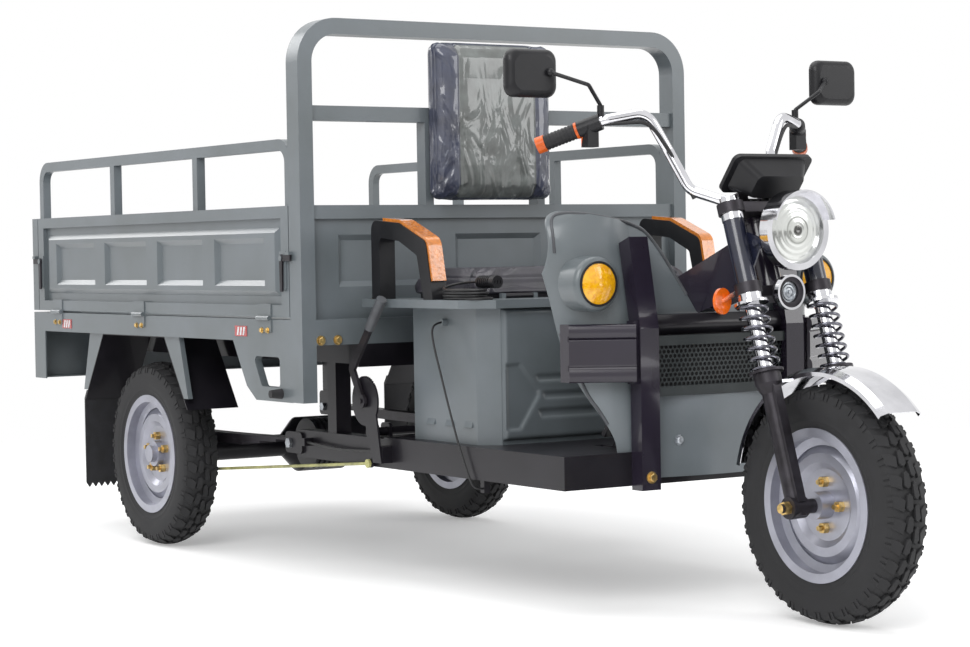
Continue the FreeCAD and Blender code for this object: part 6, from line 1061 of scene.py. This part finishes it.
def pressed_sheet(name, corner, along, up, counts, relief):
    """A rectangle of sheet, closed behind and pressed to the height that relief gives at a place."""
    outward = along.cross(up).normalized()
    wide, high = counts
    row = wide + 3
    points = []
    for j in range(-1, high + 2):
        for i in range(-1, wide + 2):
            across = min(1.0, max(0.0, i / wide))
            rise = min(1.0, max(0.0, j / high))
            inner = 0 <= i <= wide and 0 <= j <= high
            height = relief(across * along.length * 1000.0,
                            rise * up.length * 1000.0) if inner else -sheet_back
            points.append(corner + along * across + up * rise + outward * (height / 1000.0))
    faces = []
    for j in range(high + 2):
        faces += [(k, k + 1, k + 1 + row, k + row) for k in range(j * row, j * row + wide + 2)]
    last = (high + 2) * row
    rim = list(range(1, wide + 2)) + [j * row + wide + 2 for j in range(1, high + 2)]
    rim += list(range(last + wide + 1, last, -1)) + [j * row for j in range(high + 1, 0, -1)]
    faces.append(tuple(rim[::-1]))
    return meshed(name, points, faces)


def inside(outline, across, rise):
    """How deep a point lies inside a convex outline, less than zero outside."""
    ends = outline[1:] + outline[:1]
    return min(((c - a) * (rise - b) - (d - b) * (across - a)) / math.hypot(c - a, d - b)
               for (a, b), (c, d) in zip(outline, ends))


def rounded(gap, radius):
    """Height share of a rounded edge at a distance from it."""
    lack = 1.0 - min(1.0, max(0.0, gap / radius))
    return math.sqrt(1.0 - lack * lack)


def box_relief(across, rise):
    """The seat box front: a wedge at each side and three long steps pressed in between."""
    width = 2 * box_half
    edge = min(across, width - across, rise, box_high - box_low - rise)
    side = -abs(across - box_half)
    level = rise + box_low
    deep = s_step(inside(box_wedge, side, level) / 9.0)
    for start, low, high in box_steps:
        step = [(-start + 10.0, low), (50.0, low), (50.0, high), (-start, high)]
        deep = max(deep, 0.85 * s_step(inside(step, side, level) / 8.0))
    return 11.6 * rounded(edge, 11.6) - 6.0 * deep


def wing_relief(across, rise):
    """A wing's two rounded ribs over and under its flat middle."""
    share = rise / wing_high
    for centre, half in ((0.125, 0.135), (0.875, 0.125)):
        if abs(share - centre) < half:
            return 2.0 + 9.0 * math.sqrt(1.0 - ((share - centre) / half) ** 2)
    return 2.0 + 4.0 * rounded(min(share - 0.26, 0.75 - share) * wing_high, 5.0)


def fit_pressings():
    """Pressed sheets of the seat box front, the wings, the apron and the panel over the mesh."""
    upright = metres(0, 0, 1)
    box = pressed_sheet("box", metres(box_front, -box_half, box_low), metres(0, 2 * box_half, 0),
                        upright * (box_high - box_low), (150, 72), box_relief)
    crisp("seat_box_pressing", box, "stoved_grey_paint", degrees=40.0)
    near = wing_inner[0], -wing_inner[1], wing_low
    far = wing_outer[0], -wing_outer[1], wing_low
    wings = []
    for start, end in ((far, near), ((near[0], -near[1], wing_low), (far[0], -far[1], wing_low))):
        along = metres(*end) - metres(*start)
        wings.append(pressed_sheet("wing", metres(*start), along, upright * wing_high, (6, 64), wing_relief))
    crisp("wing_pressings", merged("wing_pressings", wings), "purple_black_paint",
          degrees=50.0)
    wide = 2 * post_inner

    def apron_relief(across, rise):
        return apron_skin + apron_bow * math.sin(math.pi * across / wide)

    def cover_relief(across, rise):
        return apron_skin + cover_bow * math.sin(math.pi * rise / cover_high)

    apron = pressed_sheet("apron", metres(apron_x, -post_inner, apron_low), metres(0, wide, 0),
                          upright * apron_high, (48, 6), apron_relief)
    crisp("apron_pressing", apron, "stoved_grey_paint", degrees=40.0)
    cover = pressed_sheet("cover", metres(apron_x, -post_inner, cover_low), metres(0, wide, 0),
                          upright * cover_high, (8, 20), cover_relief)
    crisp("mesh_cover_pressing", cover, "black_frame_paint", degrees=50.0)
    # A black sheet behind the punched mesh: painted shade standing for the dark hollow behind the grille, so
    # that the holes read black.
    corners = [metres(0, y, z) for y, z in ((-post_inner, grille_low), (post_inner, grille_low),
                                            (post_inner, grille_high), (-post_inner, grille_high))]
    painted_shade_sheet = plate("mesh_backing", corners, metres(apron_x, 0, 0), metres(apron_x - 2.0, 0, 0))
    shown("mesh_backing", painted_shade_sheet, "black_moulded_abs", "chassis", smooth=False)
    head = [(0.0, 7.0), (6.0, 6.4), (9.0, 4.0), (9.0, 0.5), (12.5, 0.5), (12.5, -4.0)]
    heads = []
    for y in (-116.0, 116.0):
        heads.append(turned("head", head, metres(apron_x + apron_relief(y + post_inner, 0.0), y, 384),
                            (1, 0, 0), 24))
    crisp("apron_screws", merged("apron_screws", heads), "bright_zinc_plate")


# Front

def fit_grille(sizes):
    """The punched mesh between the grille bars."""
    pitch = sizes.mesh_pitch
    row = pitch * math.sqrt(3.0) / 2.0
    half = 0.0008
    points, faces = [], []
    corner = math.atan2(row, pitch)
    turns = []
    for a, b in ((0.0, corner), (corner, math.pi / 2), (math.pi / 2, math.pi - corner),
                 (math.pi - corner, math.pi)):
        turns += [a, (a + b) / 2]
    turns += [a + math.pi for a in turns]
    for angle in turns:
        c, s = math.cos(angle), math.sin(angle)
        reach = min(pitch / 2 / max(abs(c), 1e-9), row / 2 / max(abs(s), 1e-9))
        for z in (half, -half):
            points.append((c * reach, s * reach, z))
            points.append((c * sizes.mesh_hole, s * sizes.mesh_hole, z))
    for k in range(len(turns)):
        a = 4 * k
        b = 4 * ((k + 1) % len(turns))
        faces += [(a, b, b + 1, a + 1), (a + 2, a + 3, b + 3, b + 2), (a + 1, b + 1, b + 3, a + 3)]
    cell = template_of(meshed("mesh_cell", points, faces))
    columns = int(2 * post_inner / 1000.0 / pitch)
    rows = int((grille_high - grille_low) / 1000.0 / row) + 1
    sheet = grown("grille_sheet", spare(), perforation_tree(), {
        "Template": cell, "Columns": columns, "Rows": rows, "Width": (columns - 1) * pitch,
        "Height": (rows - 1) * row,
        "Stagger": pitch / 2, "Centre": metres(grille_x, 0, (grille_low + grille_high) / 2),
        "Finish": finishes["dark_grey_mesh_paint"]})
    bpy.data.objects.remove(cell)
    shown("grille_punched_sheet", sheet, "dark_grey_mesh_paint", "chassis", ("grille_mesh",),
          smooth=False)


def ray_tree(node):
    """The faces of a node, ready for rays."""
    mesh = nodes[node].data
    return BVHTree.FromPolygons([v.co for v in mesh.vertices], [p.vertices for p in mesh.polygons])


def fit_shield_trim(sizes):
    """The rubber edging along the shield's lobes and sides."""
    tree = ray_tree("front_shield")
    low_run = [(274, 392), (284, 425), (300, 458), (319, 490), (331, 530), (339, 560), (347, 596),
               (354, 630)]
    high_run = [(379, 812), (380, 850), (378, 880), (368, 897), (344, 903), (300, 899), (250, 891),
                (205, 882), (170, 869),
                (146, 856), (118, 818), (90, 768), (58, 712)]
    for side, word in ((-1.0, "right"), (1.0, "left")):
        beads = []
        for run in (low_run, high_run):
            met = [tree.ray_cast(metres(far_ahead, side * y, z), Vector((-1, 0, 0)))[0] for y, z in run]
            beads.append(solid_of(piped("bead", [place for place in met if place is not None],
                                        sizes.bead_radius)))
        shown("shield_bead_" + word, merged("shield_bead_" + word, beads), "grey_moulded_abs", "chassis")


def bolt_mesh(across):
    """A hex bolt head on a washer, standing on the origin along Z."""
    points, faces = [], []

    def ring(radius, z, count):
        start = len(points)
        for k in range(count):
            angle = math.tau * k / count
            points.append((radius * math.cos(angle), radius * math.sin(angle), z))
        return list(range(start, len(points)))

    radius = across / math.sqrt(3.0)
    for levels, count in ((((radius * 1.35, -0.002), (radius * 1.35, 0.0018), (radius * 0.8, 0.002)), 18),
                          (((radius, 0.0), (radius, across * 0.5), (radius * 0.86, across * 0.6)), 6)):
        rings = [ring(r, z, count) for r, z in levels]
        for a, b in zip(rings, rings[1:]):
            faces += [(a[k], a[(k + 1) % count], b[(k + 1) % count], b[k]) for k in range(count)]
        faces.append(tuple(rings[-1]))
    return meshed("hex_bolt", points, faces)


def fit_bolts(sizes):
    """Hex bolts where panels and brackets are fastened."""
    front = (-1, 0, 0)
    down = (0, 0, -1)
    wanted = []
    for side in (-1, 1):
        for y, z, scale in ((96, 646, 0.9), (212, 306, 1.1)):
            wanted.append(("bumper_frame", (far_ahead, side * y, z), front, scale))
        for node in ("bed_frame", "headboard"):
            wanted += [(node, (far_ahead, side * y, 604), front, 1.0) for y in (548, 500)]
        wanted += [("seat_box", (x, side * 420, far_ahead), down, 0.7) for x in (150, 600)]
    for side in (-1, 1):
        for middle in hinge_places:
            for shift in (-16, 16):
                start = (middle + shift, side * far_ahead, hinge_height)
                wanted.append(("bed_frame", start, (0, -side, 0), 0.62))
    trees = {node: ray_tree(node) for node in ("bumper_frame", "bed_frame", "headboard", "seat_box")}
    places, facings, scales = [], [], []
    for node, start, direction, scale in wanted:
        place, normal, index, gap = trees[node].ray_cast(metres(*start), Vector(direction))
        if place is not None and normal.dot(Vector(direction)) < -0.9:
            places.append(place)
            facings.append(normal)
            scales.append(scale)
    base = bpy.data.meshes.new("bolt_places")
    base.from_pydata([tuple(p) for p in places], [], [])
    facing = base.attributes.new("facing", "FLOAT_VECTOR", "POINT")
    facing.data.foreach_set("vector", [c for n in facings for c in n])
    size = base.attributes.new("size", "FLOAT", "POINT")
    size.data.foreach_set("value", scales)
    template = template_of(bolt_mesh(sizes.bolt_across))
    bolts = grown("panel_bolts", base, bolt_tree(),
                  {"Template": template, "Finish": finishes["yellow_zinc_plate"]})
    bpy.data.objects.remove(template)
    crisp("panel_bolts", bolts, "yellow_zinc_plate")


def fit_reflectors():
    """Striped reflectors along the bed's sides, the horn's diaphragm and the rims of the shield lamps."""
    wide, high = reflector_wide, reflector_high

    def out_to(side, proud):
        return metres(0, side * (bed_side + proud), 0)

    face = ((0, 0), (wide, 0), (wide, high), (0, high))
    slash = ((0, 3), (8, 3), (14, 24), (6, 24))
    for side, word in ((-1.0, "right"), (1.0, "left")):
        plates, stripes = [], []
        for x in reflector_starts:
            corners = [metres(x + a, 0.0, reflector_low + b) for a, b in face]
            plates.append(plate("plate", corners, out_to(side, 0.0), out_to(side, 2.6)))
            for start in (12.0, 28.0, 44.0):
                bar = [metres(x + start + a, 0.0, reflector_low + b) for a, b in slash]
                stripes.append(plate("stripe", bar, out_to(side, 1.0), out_to(side, 3.2)))
        shown("reflector_plates_" + word, merged("plates", plates), "red_lens", "chassis",
              smooth=False)
        shown("reflector_stripes_" + word, merged("stripes", stripes), "white_reflector", "chassis",
              smooth=False)
    rings = [(0.0, 8.0), (4.5, 8.0), (4.5, 3.0), (9.0, 2.5), (10.5, 5.0), (12.0, 2.5), (16.0, 2.0),
             (17.5, 4.5),
             (19.0, 2.0), (23.4, 1.5), (23.4, -2.0)]
    diaphragm = turned("diaphragm", rings, metres(horn_face - 12.0, 0, horn_height), (1, 0, 0), 40)
    crisp("horn_diaphragm", diaphragm, "bright_zinc_plate", "steering")
    rim = [(45.0, -3.0), (46.5, 2.0), (50.5, 2.0), (52.5, -3.0)]
    rims = [turned("rim", rim, from_axle(-pod_setback, side, pod_height), (1, 0, 0), 48, True)
            for side in (-pod_side, pod_side)]
    crisp("lamp_pod_rims", merged("lamp_pod_rims", rims), "black_moulded_abs")


def paint_frame():
    """Finishes of the frame's own pieces, with other finishes where a piece has them."""
    by_slot = {"tyre_rubber": "tyre_rubber", "wheel_silver": "silver_wheel_paint",
               "dark_metal": "dark_worked_steel",
               "chrome": "chrome_plate", "cover_plastic": "navy_moulded_abs",
               "black_plastic": "black_moulded_abs",
               "grip_rubber": "grip_rubber", "clear_lens": "ribbed_lamp_glass", "amber_lens": "amber_lens",
               "red_lens": "red_lens", "yellow_lens": "yellow_lens", "black_paint": "black_frame_paint",
               "grey_paint": "stoved_grey_paint", "zinc_steel": "bright_zinc_plate",
               "vinyl": "armrest_vinyl",
               "cord_rubber": "cord_rubber", "flap_rubber": "flap_rubber", "battery_case": "battery_case"}

    def nuts(axle, outward):
        def test(place, normal):
            reach = math.hypot(place.x - axle[0], place.z - axle[2])
            return 36.0 < reach < 64.0 and (place.y - axle[1]) * outward > 19.4
        return ("yellow_zinc_plate", test)

    root = Vector((front_axle[0] - 425, 280, 1108))
    grip = (Vector((front_axle[0] - 539, 386, 1054)) - root)
    length = grip.length
    grip.normalize()

    def ringed(place, normal):
        reach = (Vector((place.x, abs(place.y), place.z)) - root).dot(grip)
        return 64.0 < reach < 71.0 or reach > length - 20.5

    def always(place, normal):
        return True

    def glass(place, normal):
        return normal.x < -0.8

    def on_disc(place, normal):
        across = (abs(place.y) - 141.0) / 22.5
        return abs(place.x - 1178.5) < 10.0 and math.hypot(across, (place.z - 701.0) / 29.0) < 1.02

    def on_horn_rim(place, normal):
        reach = math.hypot(place.y, place.z - horn_height)
        return 33.5 < reach < 45.0 and place.x > horn_face - 20.0

    dial_slant = math.radians(51)
    facing = Vector((-math.sin(dial_slant), 0, math.cos(dial_slant)))
    rules = {
        "front_wheel": [nuts(front_axle, -1.0), nuts(front_axle, 1.0)],
        "rear_wheel_right": [nuts(right_wheel, -1.0)],
        "rear_wheel_left": [nuts(left_wheel, 1.0)],
        "fork_lowers": [("yellow_zinc_plate", lambda place,
                         normal: abs(place.y) > 122.0 and place.z < 300.0)],
        "throttle_grip": [("orange_moulded_cap", ringed)],
        "hand_controls": [("orange_moulded_cap", ringed)],
        "mirror_right": [("mirror_glass", glass)],
        "mirror_left": [("mirror_glass", glass)],
        "horn": [("chrome_plate", on_horn_rim)],
        "instrument_cluster": [("dial_face", lambda place, normal: normal.dot(facing) > 0.97)],
        "chassis_frame": [("purple_black_paint", lambda place, normal: place.x > 835.0 and place.z > 363.0)],
        "bumper_frame": [("purple_black_paint", always),
                         ("dark_grey_mesh_paint", lambda place,
                          normal: abs(place.y) < 185.4 and place.z < 622.4),
                         ("stoved_grey_paint", lambda place,
                          normal: abs(place.y) < 185.4 and place.z < 485.0)],
        "fork_reflectors": [("black_moulded_abs", always), ("orange_reflector", on_disc)],
        "handbrake_lever": [("grey_moulded_abs", lambda place, normal: place.z > 640.0)],
        "brake_rod": [("yellow_green_rod_paint", always)],
        "tail_lamps": [("amber_lens", lambda place, normal: abs(place.y) > 480.0),
                       ("white_reflector", lambda place, normal: abs(place.y) < 380.0)],
    }
    for corner in ("right_front", "right_rear", "left_front", "left_rear"):
        rules["latch_" + corner] = [("dark_worked_steel", always)]
    for part in frame["record"]["subparts"]:
        paint(part["node"], by_slot[part["material_slot"]], *rules.get(part["node"], []))


# Operators

class TRICYCLE_OT_stage(bpy.types.Operator):
    """Camera, pale floor and soft lamps"""
    bl_idname = "tricycle.stage"
    bl_label = "Stage"

    def execute(self, context):
        lay_stage(context.scene.tricycle_colours)
        return {"FINISHED"}


class TRICYCLE_OT_finishes(bpy.types.Operator):
    """Finishes of the frame's own pieces"""
    bl_idname = "tricycle.finishes"
    bl_label = "Finishes"

    def execute(self, context):
        make_finishes(context.scene.tricycle_colours)
        paint_frame()
        return {"FINISHED"}


class TRICYCLE_OT_leads(bpy.types.Operator):
    """Charging lead, seat lock lead, hand brake cable and bar harness"""
    bl_idname = "tricycle.leads"
    bl_label = "Leads"

    def execute(self, context):
        lay_leads()
        return {"FINISHED"}


class TRICYCLE_OT_tyres(bpy.types.Operator):
    """Tyres with their tread"""
    bl_idname = "tricycle.tyres"
    bl_label = "Tyres"

    def execute(self, context):
        fit_tyres(context.scene.tricycle_sizes)
        return {"FINISHED"}


class TRICYCLE_OT_fork_springs(bpy.types.Operator):
    """Coil springs of the fork"""
    bl_idname = "tricycle.fork_springs"
    bl_label = "Fork springs"

    def execute(self, context):
        fit_fork_springs(context.scene.tricycle_sizes)
        return {"FINISHED"}


class TRICYCLE_OT_leaf_springs(bpy.types.Operator):
    """Leaf springs of the rear axle"""
    bl_idname = "tricycle.leaf_springs"
    bl_label = "Leaf springs"

    def execute(self, context):
        fit_leaf_springs()
        return {"FINISHED"}


class TRICYCLE_OT_seat(bpy.types.Operator):
    """Seat cushion and its pan"""
    bl_idname = "tricycle.seat"
    bl_label = "Seat"

    def execute(self, context):
        fit_seat(context.scene.tricycle_sizes)
        return {"FINISHED"}


class TRICYCLE_OT_backrest(bpy.types.Operator):
    """Backrest pad"""
    bl_idname = "tricycle.backrest"
    bl_label = "Backrest"

    def execute(self, context):
        fit_back(context.scene.tricycle_sizes)
        return {"FINISHED"}


class TRICYCLE_OT_grille(bpy.types.Operator):
    """Punched mesh of the grille"""
    bl_idname = "tricycle.grille"
    bl_label = "Grille"

    def execute(self, context):
        fit_grille(context.scene.tricycle_sizes)
        return {"FINISHED"}


class TRICYCLE_OT_pressings(bpy.types.Operator):
    """Pressed sheets of the seat box front, the wings and the apron"""
    bl_idname = "tricycle.pressings"
    bl_label = "Pressed sheets"

    def execute(self, context):
        fit_pressings()
        return {"FINISHED"}


class TRICYCLE_OT_shield_trim(bpy.types.Operator):
    """Edging of the shield"""
    bl_idname = "tricycle.shield_trim"
    bl_label = "Shield trim"

    def execute(self, context):
        fit_shield_trim(context.scene.tricycle_sizes)
        return {"FINISHED"}


class TRICYCLE_OT_bolts(bpy.types.Operator):
    """Hex bolts of panels and brackets"""
    bl_idname = "tricycle.bolts"
    bl_label = "Bolts"

    def execute(self, context):
        fit_bolts(context.scene.tricycle_sizes)
        return {"FINISHED"}


class TRICYCLE_OT_reflectors(bpy.types.Operator):
    """Reflector plates of the bed, horn diaphragm and lamp rims"""
    bl_idname = "tricycle.reflectors"
    bl_label = "Reflectors"

    def execute(self, context):
        fit_reflectors()
        return {"FINISHED"}


class TRICYCLE_PT_pieces(bpy.types.Panel):
    """Lists the steps that dress the tricycle"""
    bl_idname = "TRICYCLE_PT_pieces"
    bl_label = "Cargo tricycle"
    bl_space_type = "VIEW_3D"
    bl_region_type = "UI"
    bl_category = "Tricycle"

    def draw(self, context):
        for step in steps:
            self.layout.operator(step.bl_idname)


steps = (
    TRICYCLE_OT_stage,
    TRICYCLE_OT_finishes,
    TRICYCLE_OT_leads,
    TRICYCLE_OT_tyres,
    TRICYCLE_OT_fork_springs,
    TRICYCLE_OT_leaf_springs,
    TRICYCLE_OT_seat,
    TRICYCLE_OT_backrest,
    TRICYCLE_OT_grille,
    TRICYCLE_OT_pressings,
    TRICYCLE_OT_shield_trim,
    TRICYCLE_OT_bolts,
    TRICYCLE_OT_reflectors,
)


def register():
    for group in (TricycleColours, TricycleSizes) + steps + (TRICYCLE_PT_pieces,):
        bpy.utils.register_class(group)
    bpy.types.Scene.tricycle_colours = bpy.props.PointerProperty(type=TricycleColours)
    bpy.types.Scene.tricycle_sizes = bpy.props.PointerProperty(type=TricycleSizes)


def unregister():
    del bpy.types.Scene.tricycle_sizes
    del bpy.types.Scene.tricycle_colours
    for group in (TRICYCLE_PT_pieces,) + steps[::-1] + (TricycleSizes, TricycleColours):
        bpy.utils.unregister_class(group)


def main():
    """Runs every step in order."""
    register()
    bpy.ops.tricycle.stage()
    bpy.ops.tricycle.finishes()
    bpy.ops.tricycle.leads()
    bpy.ops.tricycle.tyres()
    bpy.ops.tricycle.fork_springs()
    bpy.ops.tricycle.leaf_springs()
    bpy.ops.tricycle.seat()
    bpy.ops.tricycle.backrest()
    bpy.ops.tricycle.grille()
    bpy.ops.tricycle.pressings()
    bpy.ops.tricycle.shield_trim()
    bpy.ops.tricycle.bolts()
    bpy.ops.tricycle.reflectors()


if __name__ == "__main__":
    main()
